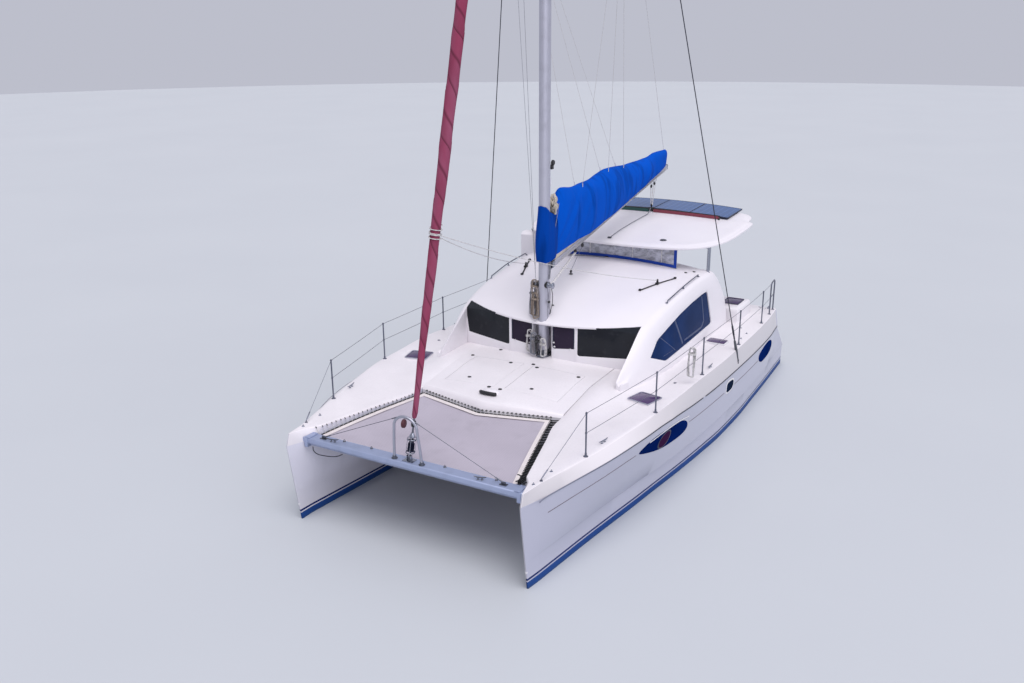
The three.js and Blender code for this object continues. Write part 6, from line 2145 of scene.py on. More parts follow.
def apron_cloth(name):
    """The front of the cover, which wraps the mast and runs aft on both sides to the rest, with its folds."""
    wander = random.Random(8)
    folds = [(wander.uniform(-1, 1), wander.uniform(0.05, 0.13), wander.uniform(-0.010, 0.015)) for _ in range(15)]
    count_u, count_v = 90, 40
    points = []
    for j in range(count_v):
        v = j / (count_v - 1)
        for i in range(count_u):
            u = i / (count_u - 1) * 2 - 1
            side, share = (1 if u > 0 else -1), abs(u)
            round_it, aft = min(share / 0.5, 1.0), max(0.0, share / 0.5 - 1.0)
            low = lerp(3.790, 3.868, aft) - 0.012 * (1 - aft) * math.sin(u * 9)
            high = float(np.interp(share, (0.0, 0.28, 0.5, 0.75, 1.0), (4.862, 4.830, 4.730, 4.660, 4.610)))
            z = lerp(low, high, v)
            push = 0.012 + 0.008 * (1 - v)
            for at, wide, deep in folds:
                gap = (u - at - 0.22 * (v - 0.5)) / wide
                push += deep * math.exp(-gap * gap) * (1.15 - 0.6 * v)
            push = min(max(push, 0.004), 0.042)
            push += 0.048 * math.sin(0.85 * math.pi * (1 - v) ** 1.4) * (1 - aft)
            a = -math.pi / 2 + side * round_it * (math.pi / 2 + 0.1)
            x, y = mast_skin(a, push)
            x = abs(x)
            if aft:
                half, top = cover_side(-0.8, 0.0), 4.735
                x_aft, _ = cover_side(-0.8, min(max((z - half[1]) / (top - half[1]), 0.0), 1.0))
                x = lerp(x, x_aft - 0.010, aft ** 1.3) + (0.012 + push * 0.5) * math.sin(math.pi * aft)
                y = lerp(y, -0.772, aft)
            points.append((side * x, y, z))
    sheet = from_points(name, points, grid_faces(count_v, count_u))
    set_uvs(sheet, grid_uvs([i * 0.011 for i in range(count_u)], [j * 0.027 for j in range(count_v)]))
    face_out(sheet, Vector((0, -0.98, 4.3)))
    modify(sheet, "SOLIDIFY", thickness=0.004, offset=-1.0)
    return smooth(sheet, 80)


class RoofGearOperator(bpy.types.Operator):
    """Grab rails, sheet tracks with their cars, deck fittings and the lines that lie on the cabin top"""

    bl_idname = "catamaran.roof_gear"
    bl_label = "Cabin top gear"

    def execute(self, context):
        rails, tracks, dark, small = [], [], [], []
        for side in (1, -1):
            feet = [roof_point(side * x, y) for x, y in ((1.975, 0.20), (2.010, 1.00), (2.020, 1.85))]
            top = [p + Vector((side * 0.012, 0, 0.048)) for p in feet]
            path = [feet[0], top[0] + Vector((0, 0.05, 0)),
                    *curved([top[0] + Vector((0, 0.09, 0)), top[1], top[2] - Vector((0, 0.09, 0))], 6),
                    top[2] - Vector((0, 0.05, 0)), feet[2]]
            rails.append(tube("grab_rail", path, 0.0115, 12))
            rails.append(rod("grab_foot", feet[1], top[1], 0.011, 12))
            rails += [disc("grab_base", [(0.020, 0.006), (0.026, 0.003), (0.028, 0)], p) for p in feet]
            ends = [roof_point(side * x, y) + Vector((0, 0, 0.012))
                    for x, y in ((1.334, 0.397), (1.45, 0.72), (1.57, 1.05), (1.691, 1.377))]
            tracks.append(tube("sheet_track", ends, 0.017, 8, flat=0.55, up=(0, 0, 1)))
            for p in (ends[0], ends[-1]):
                tracks.append(block("track_stop", (p.x - 0.024, p.x + 0.024), (p.y - 0.03, p.y + 0.03),
                                    (p.z - 0.008, p.z + 0.024), 0.006))
            car = sheet_car(side)
            tracks.append(block("track_car", (car.x - 0.030, car.x + 0.030), (car.y - 0.05, car.y + 0.05),
                                (car.z - 0.012, car.z + 0.030), 0.008))
            tracks.append(turned("car_block", [(0, -0.016), (0.030, -0.016), (0.038, -0.008), (0.030, 0),
                                               (0.038, 0.008), (0.030, 0.016), (0, 0.016)],
                                 car + Vector((0, 0, 0.062)), (1, 0.2, 0), 20))
            for x, y in ((1.735, 1.881), (1.846, 2.075)):
                p = roof_point(side * x, y)
                dark.append(disc("socket", [(0.022, 0.012), (0.032, 0.004), (0.034, 0)], p))
        dress(join(rails, "grab_rails"), "rail_steel", "steel")
        dress(join(tracks, "sheet_tracks"), "black", "dark")
        p = roof_point(-0.30, 0.62)
        dark += [disc("pad", [(0.034, 0.010), (0.042, 0.004), (0.044, 0)], p, steps=18),
                 turned("pad_block", [(0, -0.014), (0.028, -0.014), (0.036, 0), (0.028, 0.014), (0, 0.014)],
                        p + Vector((0, 0, 0.055)), (1, 0, 0), 18)]
        p = roof_point(-0.10, 1.98)
        dark += [block("clutch", (p.x - 0.05, p.x + 0.05), (p.y - 0.022, p.y + 0.022), (p.z - 0.004, p.z + 0.034),
                       0.010)]
        for x, y in ((0.02, -0.80), (-0.42, -0.62)):
            q = roof_point(x, y)
            small.append(disc("roof_stud", [(0.018, 0.012), (0.026, 0.004), (0.028, 0)], q, steps=14))
        dress(join(dark + small, "roof_fittings"), "black", "dark")
        lying = [roof_point(x, lerp(1.85, 1.92, t)) + Vector((0, 0, 0.010))
                 for t, x in zip(np.linspace(0, 1, 14), np.linspace(-1.20, -0.12, 14))]
        dress(tube("roof_line", lying, 0.010, 6), "grey_rope", "dark")
        return {"FINISHED"}


def roof_point(x, y):
    """A place on the cabin top."""
    crown, corner_x, corner_z, _ = columns_at(ROOF_ROWS, y)
    t = min(abs(x) / corner_x, 1.0)
    return Vector((x, y, crown - (crown - corner_z) * t * t))


def sheet_car(side):
    return roof_point(side * 1.5075, 0.873) + Vector((0, 0, 0.012))


def sagging(start, end, sag, steps=24):
    """A line between two points that hangs by sag at its middle."""
    start, end = Vector(start), Vector(end)
    return [start.lerp(end, t) - Vector((0, 0, 4 * sag * t * (1 - t))) for t in np.linspace(0, 1, steps)]


class HalyardsOperator(bpy.types.Operator):
    """Taut lines of the rig: sheets, halyards, topping lift, lazyjacks and the tackles under the boom"""

    bl_idname = "catamaran.halyards"
    bl_label = "Running rigging"

    def execute(self, context):
        start = stay_point(4.95)
        sheets = []
        for side in (1, -1):
            sheets.append(tube("jib_sheet", sagging(start + Vector((side * 0.06, 0.08, 0)),
                                                    sheet_car(side) + Vector((0, -0.02, 0.075)),
                                                    0.12 if side > 0 else 0.10), 0.0065, 6))
        dress(join(sheets, "jib_sheets"), "white_rope", "sail")
        lines = []
        for x, y, low, high in ((0.022, 0.132, 3.78, 18.4), (-0.020, 0.138, 4.72, 18.4), (0.034, 0.124, 2.42, 5.0)):
            lines.append(tube("halyard", [(x, MAST_Y + y, z) for z in np.linspace(low, high, 8)], 0.0055, 6))
        for x, y, top in ((-0.097, -1.02, 3.42), (-0.091, -1.15, 3.60), (0.092, -1.16, 3.28), (0.083, -1.04, 3.28)):
            lines.append(tube("mast_line", [(x, y, z) for z in np.linspace(2.30, top, 6)], 0.006, 6))
        for x, y in ((-1.38, 0.095), (-1.05, -0.19)):
            lines.append(tube("flag_line", [(-0.115 - 0.01 * x, -1.26, 3.35), (x, y, 10.58)], 0.0035, 5))
        dress(join(lines, "halyards"), "grey_rope", "dark")
        lift_foot, lift_head = Vector((0, 4.985, boom_low(4.985) + BOOM_DEEP + 0.012)), Vector((0, -0.945, 18.60))
        lift = tube("topping_lift", [lift_foot.lerp(lift_head, t) for t in np.linspace(0, 1, 24)], 0.0045, 6)
        dress(lift, "white_rope", "sail", None)
        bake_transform(lift)
        for side, word in SIDES:
            head = Vector((side * 1.02, -0.22, 10.575))
            for k, (y, up) in enumerate(((0.30, 0.965), (1.50, 0.965), (2.28, 0.96))):
                x, z = cover_side(y, up)
                foot = Vector((side * (x + 0.006), y, z))
                leg = tube(f"lazyjack_{word}_{k + 1}", [foot.lerp(head, t) for t in np.linspace(0, 1, 20)], 0.0035, 6)
                dress(leg, "white_rope", "sail", None)
                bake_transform(leg)
                loop = tube(f"lazyjack_loop_{word}_{k + 1}",
                            [foot + Vector((side * 0.004, 0, dz)) for dz in (0.07, 0.03, -0.02)], 0.012, 8, flat=0.4,
                            up=(1, 0, 0))
                dress(loop, "white_rope", "sail", BOOM)
        traveller_top = Vector((0, TRACK_Y, 3.93))
        falls = []
        for x, y_top in ((-0.018, 4.15), (0.018, 4.34), (-0.018, 4.34), (0.018, 4.15)):
            top = Vector((x, y_top, boom_low(y_top) - 0.13))
            falls.append(tube("fall", [traveller_top.lerp(top, t) + Vector((x * (1 - t), 0, 0))
                                       for t in np.linspace(0.12, 1, 12)], 0.0065, 6))
        falls = join(falls, "mainsheet")
        dress(falls, "white_rope", "sail", None)
        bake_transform(falls)
        sheaves = [sheave_block((0, y, boom_low(y) - 0.098), 0.036) for y in (4.15, 4.34)]
        sheaves += [sheave_block((0.0, y, boom_low(y) - 0.075), 0.040) for y in (0.20, 0.52)]
        sheaves += [rod("strop", (0, y, boom_low(y) - 0.03), (0, y, boom_low(y) + 0.01), 0.010, 8)
                    for y in (0.20, 0.52)]
        dress(join(sheaves, "boom_blocks"), "black", "dark", BOOM)
        low = [sheave_block((0, TRACK_Y, 3.985), 0.034), sheave_block((0.135, -1.185, 3.02), 0.026),
               sheave_block((0.085, -1.04, 3.80), 0.026)]
        dress(join(low, "mast_blocks"), "black", "dark")
        winch = Vector((0.205, -1.215, 3.385))
        boom_block = Vector((0.0, 0.20, boom_low(0.20) - 0.10))
        vang = tube("boom_tackle", [winch.lerp(boom_block, t) for t in np.linspace(0, 1, 14)], 0.023, 8, flat=0.7)
        dress(vang, "white_rope", "sail", None)
        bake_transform(vang)
        pad = roof_point(-0.30, 0.62) + Vector((0, 0, 0.08))
        top = Vector((0.0, 0.52, boom_low(0.52) - 0.10))
        guy = tube("boom_guy", [pad.lerp(top, t) for t in np.linspace(0, 1, 12)], 0.0055, 6)
        dress(guy, "grey_rope", "dark", None)
        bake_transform(guy)
        tail = [(0.0, 4.15, 3.93), (0.0, 4.10, 3.86), *[(-0.004 * t, lerp(4.0, 1.88, t),
                                                         hardtop_z(0, lerp(4.0, 1.88, t)) + 0.012)
                                                        for t in np.linspace(0, 1, 18)]]
        dress(tube("mainsheet_tail", tail, 0.009, 6), "grey_rope", "dark")
        slack = [(0.205, -1.215, 3.30), (0.215, -1.20, 3.18), (0.195, -1.16, 3.02), (0.15, -1.13, 2.86),
                 (0.11, -1.11, 2.76)]
        dress(tube("winch_tail", curved(slack, 5), 0.007, 8), "black_rope", "dark")
        gather = []
        for x, y in ((0.082, -1.045), (0.094, -1.085), (0.100, -1.13)):
            gather.append(tube("tack_line", [(x, y, 3.80), (x + 0.012, y - 0.004, 3.62), (x + 0.004, y - 0.02, 3.45)],
                               0.007, 6))
        gather.append(tube("tack_line", [(0.165, -0.855, 4.86), (0.135, -0.93, 4.45), (0.105, -1.01, 4.02),
                                         (0.085, -1.05, 3.80)], 0.006, 6))
        dress(join(gather, "tack_lines"), "grey_rope", "dark")
        return {"FINISHED"}


def sheave_block(place, radius):
    """A small rope block: two cheeks with a pale sheave between."""
    return turned("sheave", [(0, -radius * 0.45), (radius * 0.8, -radius * 0.45), (radius, -radius * 0.28),
                             (radius, -radius * 0.16), (radius * 0.72, -radius * 0.1), (radius * 0.72, radius * 0.1),
                             (radius, radius * 0.16), (radius, radius * 0.28), (radius * 0.8, radius * 0.45),
                             (0, radius * 0.45)], place, (1, 0, 0), 20)


def cover_side(y, up):
    """Half width and height of the sail cover at y, up its height by a share."""
    half = cover_half_ring(y)
    z = lerp(half[0][1], half[-1][1], up)
    for (x0, z0), (x1, z1) in zip(half, half[1:]):
        if z0 <= z <= z1:
            return lerp(x0, x1, (z - z0) / max(z1 - z0, 1e-6)), z
    return half[-1]


# Coils that hang in hanks: name, rope, top place, way that the turns face, length of a turn, turns, rope's diameter
HANKS = [
    ("halyard_hank_1", "tan_rope", (-0.150, -1.235, 3.44), (0.40, -1, 0), 0.72, 9, 0.012),
    ("halyard_hank_2", "grey_rope", (-0.215, -1.175, 3.28), (0.55, -1, 0), 0.58, 7, 0.011),
    ("halyard_hank_3", "tan_rope", (-0.105, -1.290, 3.20), (0.30, -1, 0), 0.52, 8, 0.011),
    ("foot_hank_1", "white_rope", (-0.245, -1.255, 2.44), (0.50, -1, 0), 0.46, 7, 0.012),
    ("foot_hank_2", "grey_rope", (-0.125, -1.320, 2.42), (0.40, -1, 0), 0.46, 9, 0.012),
    ("foot_hank_3", "black_rope", (-0.010, -1.345, 2.38), (0.30, -1, 0), 0.40, 7, 0.011),
    ("foot_hank_4", "white_rope", (0.085, -1.325, 2.33), (0.30, -1, 0), 0.38, 8, 0.011),
]


def hank_path(top, facing, drop, turns, thick):
    """Turns of rope that hang from top, one beside the other, with a last few turns round their neck."""
    top, facing = Vector(top), Vector(facing).normalized()
    across = Vector((-facing.y, facing.x, 0))
    wander = random.Random(int(drop * 1000 + top.z * 100))
    path = []
    for k in range(turns):
        radius = 0.036 + thick * 1.06 * (k // 3)
        aside = facing * (thick * 1.12 * (k % 3 - 1))
        length = drop - 2 * radius - wander.uniform(0.0, 0.03)
        lean = wander.uniform(-0.006, 0.006)
        for i in range(26):
            a = math.tau * i / 26
            u, v = math.sin(a), math.cos(a)
            x = radius * u + 0.011 * math.sin(4.6 * v + 0.35 * k + drop * 50)
            z = -drop / 2 + (length / 2) * (1 if v > 0 else -1) * min(1.0, abs(v) * 3) + radius * v
            path.append(top + across * (x + lean * (z / drop)) + aside + Vector((0, 0, z)))
    neck = path[-1].copy()
    girth = 0.036 + thick * 1.06 * ((turns - 1) // 3) + thick * 0.9
    depth = thick * 1.12 * 1.5 + thick * 0.8
    centre = top + Vector((0, 0, -0.11))
    wraps = []
    for i in range(3 * 14):
        a = math.tau * i / 14 + math.pi / 2
        wraps.append(centre + across * (girth * math.sin(a)) + facing * (depth * math.cos(a))
                     + Vector((0, 0, -thick * 1.05 * i / 14)))
    first = wraps[0]
    bridge = [neck.lerp(first, t) + (facing * depth * 0.6) * math.sin(math.pi * t) for t in (0.3, 0.6)]
    return path + bridge + wraps


class RopeCoilsOperator(bpy.types.Operator):
    """The ropes' spare lengths, hung in hanks on the mast; the hank on the port lifeline is hung with the lifelines
    """

    bl_idname = "catamaran.rope_coils"
    bl_label = "Rope coils"

    def execute(self, context):
        for name, look, top, facing, drop, turns, thick in HANKS:
            hang_hank(name, look, top, facing, drop, turns, thick)
        return {"FINISHED"}


def hang_hank(name, look, top, facing, drop, turns, thick):
    path = hank_path(top, facing, drop, turns, thick)
    rope = tube(name, path, thick / 2, 6)
    dress(rope, look, "dark")
    length = sum((b - a).length for a, b in zip(path, path[1:]))
    tuple(path[0])


HARDTOP_MIDDLE_Y = 3.560
HARDTOP_Z = 3.560
HARDTOP_THICK = 0.090
HARDTOP_CROWN = 0.060
HARDTOP_TILT = (1.90, 0.045)
HARDTOP_OUTLINE = [(0, 1.64), (0.45, 1.647), (0.90, 1.68), (1.20, 1.72), (1.50, 1.79), (1.75, 1.90), (1.95, 2.06),
                   (2.11, 2.27), (2.23, 2.52), (2.31, 2.84), (2.35, 3.20), (2.368, 3.90), (2.366, 4.30), (2.34, 4.48),
                   (2.25, 4.56), (2.205, 4.62), (2.195, 4.80), (2.15, 5.02), (2.02, 5.22), (1.80, 5.34), (0.9, 5.43),
                   (0, 5.475)]
POSTS = [(2.030, 2.400, 3.020), (1.200, 5.040, 1.900), (-1.990, 2.560, 3.200), (-1.200, 5.040, 1.900)]


def hardtop_tilt(y):
    """How much higher the hardtop lies at y than at its front."""
    return (y - HARDTOP_TILT[0]) * HARDTOP_TILT[1]


def hardtop_z(x, y):
    """Height of the hardtop's upper face."""
    reach = 0.0
    half = HARDTOP_OUTLINE
    dy = y - HARDTOP_MIDDLE_Y
    for (x0, y0), (x1, y1) in zip(half, half[1:]):
        c0, c1 = (y0 - HARDTOP_MIDDLE_Y) * abs(x) - x0 * dy, (y1 - HARDTOP_MIDDLE_Y) * abs(x) - x1 * dy
        if c0 * c1 <= 0 and c0 != c1:
            t = c0 / (c0 - c1)
            ex, ey = lerp(x0, x1, t), lerp(y0, y1, t) - HARDTOP_MIDDLE_Y
            if ex * abs(x) + ey * dy >= 0:
                reach = math.hypot(x, dy) / max(math.hypot(ex, ey), 1e-6)
    rise = float(np.interp(reach, (0.25, 0.6, 0.86), (1.0, 0.75, 0.1)))
    return HARDTOP_Z + HARDTOP_THICK + HARDTOP_CROWN * rise + hardtop_tilt(y)


class HardtopOperator(bpy.types.Operator):
    """The cockpit's hardtop with its rolled rim, posts, vent and lights"""

    bl_idname = "catamaran.hardtop"
    bl_label = "Hardtop"

    def execute(self, context):
        outline = [*HARDTOP_OUTLINE, *[(-x, y) for x, y in HARDTOP_OUTLINE[-2:0:-1]]]

        def ring(scale, rise):
            places = [(x * scale, lerp(HARDTOP_MIDDLE_Y, y, scale)) for x, y in outline]
            return [(x, y, HARDTOP_Z + rise + hardtop_tilt(y)) for x, y in places]

        top = HARDTOP_THICK
        rings = [ring(0.02, 0.030), ring(0.5, 0.030), ring(0.90, 0.026), ring(0.925, 0.022), ring(0.935, 0.002),
                 ring(0.95, 0.0), ring(0.985, 0.003), ring(0.998, 0.016), ring(1.0, 0.035), ring(0.998, 0.052),
                 ring(0.986, 0.063), ring(0.975, 0.066), ring(0.966, 0.070), ring(0.955, 0.084),
                 ring(0.94, top + 0.001), ring(0.90, top + 0.004), ring(0.86, top + HARDTOP_CROWN * 0.12),
                 ring(0.6, top + HARDTOP_CROWN * 0.75), ring(0.4, top + HARDTOP_CROWN * 0.93),
                 ring(0.25, top + HARDTOP_CROWN), ring(0.05, top + HARDTOP_CROWN)]
        roof = loft("hardtop_moulding", rings)
        dress(smooth(roof, 35), "roof", "gelcoat", stands_for="hardtop")
        posts, tops = [], []
        for x, y, low in POSTS:
            top = Vector((x, y, HARDTOP_Z - 0.0305 + hardtop_tilt(y)))
            tops.append(top)
            posts.append(tube("post", [(x, y, low), top], 0.024, 18))
            posts.append(turned("post_cap", [(0, 0), (0.048, 0), (0.048, -0.008), (0.028, -0.016), (0.026, -0.05),
                                             (0, -0.05)], top + Vector((0, 0, 0.030)), steps=22))
        for a, b in zip(tops, (tops[1], tops[3], tops[0], tops[2])):
            posts.append(tube("frame_tube", [a, b], 0.020, 14))
        for x, y, z in ((2.030, 2.400, roof_point(1.9, 2.40).z - 0.045), (-1.990, 2.560, 3.449), (1.2, 5.04, 1.9495),
                        (-1.2, 5.04, 1.9495)):
            posts.append(disc("post_foot", [(0.030, 0.03), (0.034, 0.010), (0.050, 0.006), (0.052, 0)], (x, y, z),
                              steps=22))
        dress(join(posts, "hardtop_posts"), "steel", "steel", stands_for="hardtop_frame")
        p = (1.12, 2.12)
        vent = disc("vent", [(0.05, 0.016), (0.062, 0.012), (0.072, 0.004), (0.074, 0)], (*p, hardtop_z(*p)),
                    steps=28)
        clutch = block("clutch", (-0.045, 0.035), (1.84, 1.90),
                       (hardtop_z(0, 1.87) - 0.004, hardtop_z(0, 1.87) + 0.03), 0.01)
        dress(join([vent, clutch], "hardtop_fittings"), "grey_rub", "dark")
        lights = [turned("lamp", [(0, -0.012), (0.055, -0.012), (0.065, -0.004), (0.066, 0.0), (0, 0)],
                         (x, y, HARDTOP_Z + 0.029 + hardtop_tilt(y)), steps=22) for x in (-0.9, 0.9)
                  for y in (2.9, 4.2)]
        dress(join(lights, "hardtop_lamps"), "white_plastic", "gelcoat")
        return {"FINISHED"}


class SolarPanelsOperator(bpy.types.Operator):
    """Framed solar panels over the aft end of the hardtop"""

    bl_idname = "catamaran.solar_panels"
    bl_label = "Solar panels"

    def execute(self, context):
        glass, frames = [], []
        for k in range(4):
            low, high = -1.797 + 0.9 * k, -0.903 + 0.9 * k
            xs = list(np.linspace(low, high, 7))
            glass.append(loft("cells", [panel_ring(x, 4.345, 5.415, 0.0, 0.018)
                                        for x in [low + 0.008, *xs[1:-1], high - 0.008]]))
            for a, b in ((4.330, 4.348), (5.412, 5.430)):
                frames.append(loft("frame", [panel_ring(x, a, b, -0.010, 0.020) for x in xs]))
            for a, b in ((low, low + 0.010), (high - 0.010, high)):
                frames.append(loft("frame", [panel_ring(x, 4.330, 5.430, -0.010, 0.020) for x in (a, b)]))
        for y in (4.53, 5.10):
            frames.append(loft("rail", [panel_ring(x, y - 0.02, y + 0.02, -0.035, -0.008)
                                        for x in np.linspace(-1.76, 1.76, 15)]))
            for x in (-1.2, 1.2):
                z = hardtop_z(x, y)
                frames.append(rod("foot", (x, y, z - 0.004), (x, y, panel_z(x, y) - 0.030), 0.018, 16,
                                  round_by=0.002))
                frames.append(disc("foot_plate", [(0.040, 0.006), (0.045, 0)], (x, y, z), steps=18))
        dress(join(glass, "solar_cells"), "cells", "panel", stands_for="solar_panels")
        dress(join(frames, "solar_frames"), "navy", "alloy")
        return {"FINISHED"}


def panel_z(x, y):
    """Height of the underside of the solar cells, which follow the hardtop's crown."""
    return 3.882 - 0.072 * (x / 1.8) ** 2 + 0.020 * (y - 4.33)


def panel_ring(x, y0, y1, low, high):
    """A strip's outline at x, between two y and two heights over the cells' underside."""
    return [(x, y0, panel_z(x, y0) + low), (x, y1, panel_z(x, y1) + low), (x, y1, panel_z(x, y1) + high),
            (x, y0, panel_z(x, y0) + high)]


class TravellerOperator(bpy.types.Operator):
    """Mainsheet track across the hardtop, with its red and green strips and its car"""

    bl_idname = "catamaran.traveller"
    bl_label = "Mainsheet track"

    def execute(self, context):
        y = TRACK_Y

        def top(x):
            return 3.900 - 0.030 * (x / 1.64) ** 2

        track = loft("track_rail", [[(x, y + a, top(x) + b)
                                     for a, b in ((-0.012, -0.02), (-0.012, 0.002), (-0.018, 0.004), (-0.018, 0.014),
                                                  (0.018, 0.014), (0.018, 0.004), (0.012, 0.002), (0.012, -0.02))]
                                    for x in np.linspace(-1.65, 1.65, 24)])
        dress(smooth(track, 30), "black", "alloy", stands_for="traveller")
        for name, look, low, high in (("green", "green_cover", -1.645, -0.06), ("red", "red_cover", 0.06, 1.645)):
            rings = []
            for x in np.linspace(low, high, 24):
                z = top(x)
                rings.append([(x, y - 0.029, z - 0.070), (x, y - 0.031, z - 0.014), (x, y - 0.026, z),
                              (x, y + 0.026, z), (x, y + 0.031, z - 0.014), (x, y + 0.029, z - 0.070)])
            strip = loft(f"track_base_{name}", rings)
            dress(smooth(strip, 30), look, "dark")
        plinth = loft("track_plinth", [[(x, y - 0.026, hardtop_z(x, y) - 0.02), (x, y - 0.024, top(x) - 0.068),
                                        (x, y + 0.024, top(x) - 0.068), (x, y + 0.026, hardtop_z(x, y) - 0.02)]
                                       for x in np.linspace(-1.63, 1.63, 24)])
        dress(smooth(plinth, 30), "roof", "gelcoat")
        car = [block("car", (-0.065, 0.065), (y - 0.045, y + 0.045), (3.902, 3.936), 0.010, 3),
               tube("car_eye", [(0, y + 0.018 * math.cos(a), 3.934 + 0.024 * math.sin(a))
                                for a in np.linspace(0, math.pi, 11)], 0.006, 8)]
        dress(join(car, "track_car"), "black", "dark")
        ends = [block("end", (x - 0.02, x + 0.02), (y - 0.03, y + 0.03), (3.790, 3.880), 0.006)
                for x in (-1.63, 1.63)]
        dress(join(ends, "track_ends"), "black", "dark")
        return {"FINISHED"}


class WindscreenOperator(bpy.types.Operator):
    """The clear flexible screen between cabin top and hardtop, with its blue binding"""

    bl_idname = "catamaran.windscreen"
    bl_label = "Windscreen"

    def execute(self, context):
        def screen(x, t, out=0.0):
            low, high = roof_point(x, 1.96).z + 0.004, HARDTOP_Z - 0.0006
            swell = 0.002 * math.sin(x * 5.3 + t * 3) * math.sin(math.pi * t)
            return Vector((x, 1.963 + swell + out, lerp(low, high, t)))

        xs, ts = np.linspace(-1.5, 1.5, 61), np.linspace(0, 1, 9)
        points = [screen(x, t) for t in ts for x in xs]
        pane = from_points("screen_vinyl", points, grid_faces(len(ts), len(xs)))
        face_out(pane, Vector((0, 3.0, 3.3)))
        modify(pane, "SOLIDIFY", thickness=0.0016, offset=0.0)
        dress(smooth(pane, 60), "vinyl", "vinyl", stands_for="windscreen")
        bands = []
        for out in (-0.0032, 0.0032):
            bands.append(tube("band", [screen(x, 0.10, out) for x in np.linspace(-1.465, 1.465, 40)], 0.036, 6,
                              flat=0.04, up=(0, 1, 0)))
            for x in (-1.464, 1.464):
                bands.append(tube("band", [screen(x, t, out) for t in np.linspace(0.03, 0.97, 10)], 0.036, 6,
                                  flat=0.04, up=(0, 1, 0)))
        dress(join(bands, "screen_binding"), "blue_webbing", "canvas")
        pale = []
        for x in (-0.5, 0.5, 1.16):
            pale.append(tube("zip", [screen(x, t, -0.003) for t in np.linspace(0.16, 0.98, 8)], 0.012, 6, flat=0.08,
                             up=(0, 1, 0)))
        pale.append(tube("top_track", [(x, 1.963, HARDTOP_Z - 0.008) for x in np.linspace(-1.49, 1.49, 12)], 0.009, 8,
                         flat=0.8, up=(0, 1, 0)))
        pale = join(pale, "screen_seams")
        dress(pale, "white_rope", "sail")
        return {"FINISHED"}


class HelmOperator(bpy.types.Operator):
    """Helm console with its instruments, the wheel and the seat"""

    bl_idname = "catamaran.helm"
    bl_label = "Helm station"

    def execute(self, context):
        dress(refined("helm_console", "helm_pod", 0.022, 4, 30), "roof", "gelcoat", stands_for="helm_console")
        dials = []
        lean = Vector((0, 0.826, 0.563)).normalized()
        for k, x in enumerate((-2.22, -2.02, -1.82, -1.66)):
            place = Vector((x, 2.725, 3.340)) + lean * 0.001
            dials.append(turned("dial", [(0, 0.004), (0.040, 0.004), (0.046, 0.012), (0.054, 0.012), (0.058, 0.004),
                                         (0.060, 0), (0, 0)], place, lean, 28))
        dials.append(block("compass_base", (-1.70, -1.56), (2.50, 2.64), (3.4503, 3.462), 0.004))
        for y in (2.62, 2.70):
            dials.append(rod("throttle", (-2.30, y, 3.45), (-2.30, y - 0.03, 3.50), 0.008, 12))
        dress(join(dials, "helm_dials"), "black", "dark")
        x, y, z = -1.780, 2.890, 2.780
        reach = 0.390
        rim = tube("rim", [(x + reach * math.cos(a), y, z + reach * math.sin(a))
                           for a in np.linspace(0, math.tau, 72, endpoint=False)], 0.0155, 12, closed=True)
        wheel = [turned("hub", [(0.0215, -0.030), (0.044, -0.030), (0.050, -0.022), (0.050, 0.016), (0.036, 0.030),
                                (0, 0.030), (0, 0.006), (0.0215, 0.004), (0.0215, -0.030)], (x, y, z), (0, 1, 0), 32)]
        for k in range(5):
            a = math.tau * k / 5 + math.pi / 2
            out = Vector((math.cos(a), 0, math.sin(a)))
            mid = Vector((x, y, z))
            wheel.append(tube("spoke", [mid + out * 0.045, mid + out * 0.15, mid + out * 0.30, mid + out * 0.385],
                              [0.011, 0.008, 0.008, 0.010], 10))
        dress(join(wheel, "wheel_spokes"), "steel", "steel", "helm_wheel", "helm_wheel")
        dress(rim, "black_webbing", "dark", "helm_wheel")
        rim.name = "wheel_rim"
        dress(refined("helm_seat", "helm_bench", 0.016, 3, 30), "roof", "gelcoat", stands_for="helm_seat")
        pad = stuffed_pad("helm_pad", (-1.955, -1.505), (3.575, 3.905), (2.4805, 2.545), 0.012)
        dress(pad, "cushion", "cushion")
        return {"FINISHED"}


def stuffed_pad(name, x, y, z, voxel):
    """A stuffed cushion: a soft box that is blown up a little by cloth simulation."""
    inset, most = 0.010, 0.016
    pad = block(name, (x[0] + inset, x[1] - inset), (y[0] + inset, y[1] - inset), (z[0] + 0.006, z[1] - 0.018), 0.016,
                3)
    modify(pad, "REMESH", mode="VOXEL", voxel_size=voxel)
    cloth = pad.modifiers.new("cloth", "CLOTH")
    settings = cloth.settings
    settings.use_pressure = True
    settings.uniform_pressure_force = 4.0
    settings.effector_weights.gravity = 0.0
    settings.quality = 4
    before = [v.co.copy() for v in pad.data.vertices]
    scene = bpy.context.scene
    for step in range(1, 16):
        scene.frame_set(step)
    shape = pad.evaluated_get(bpy.context.evaluated_depsgraph_get())
    after = [v.co.copy() for v in shape.data.vertices]
    pad.modifiers.remove(cloth)
    scene.frame_set(1)
    for vertex, a, b in zip(pad.data.vertices, before, after):
        move = b - a
        if move.length > most:
            move *= most / move.length
        co = a + move
        vertex.co = (co.x, co.y, min(max(co.z, z[0]), z[1]))
    return smooth(pad, 70)


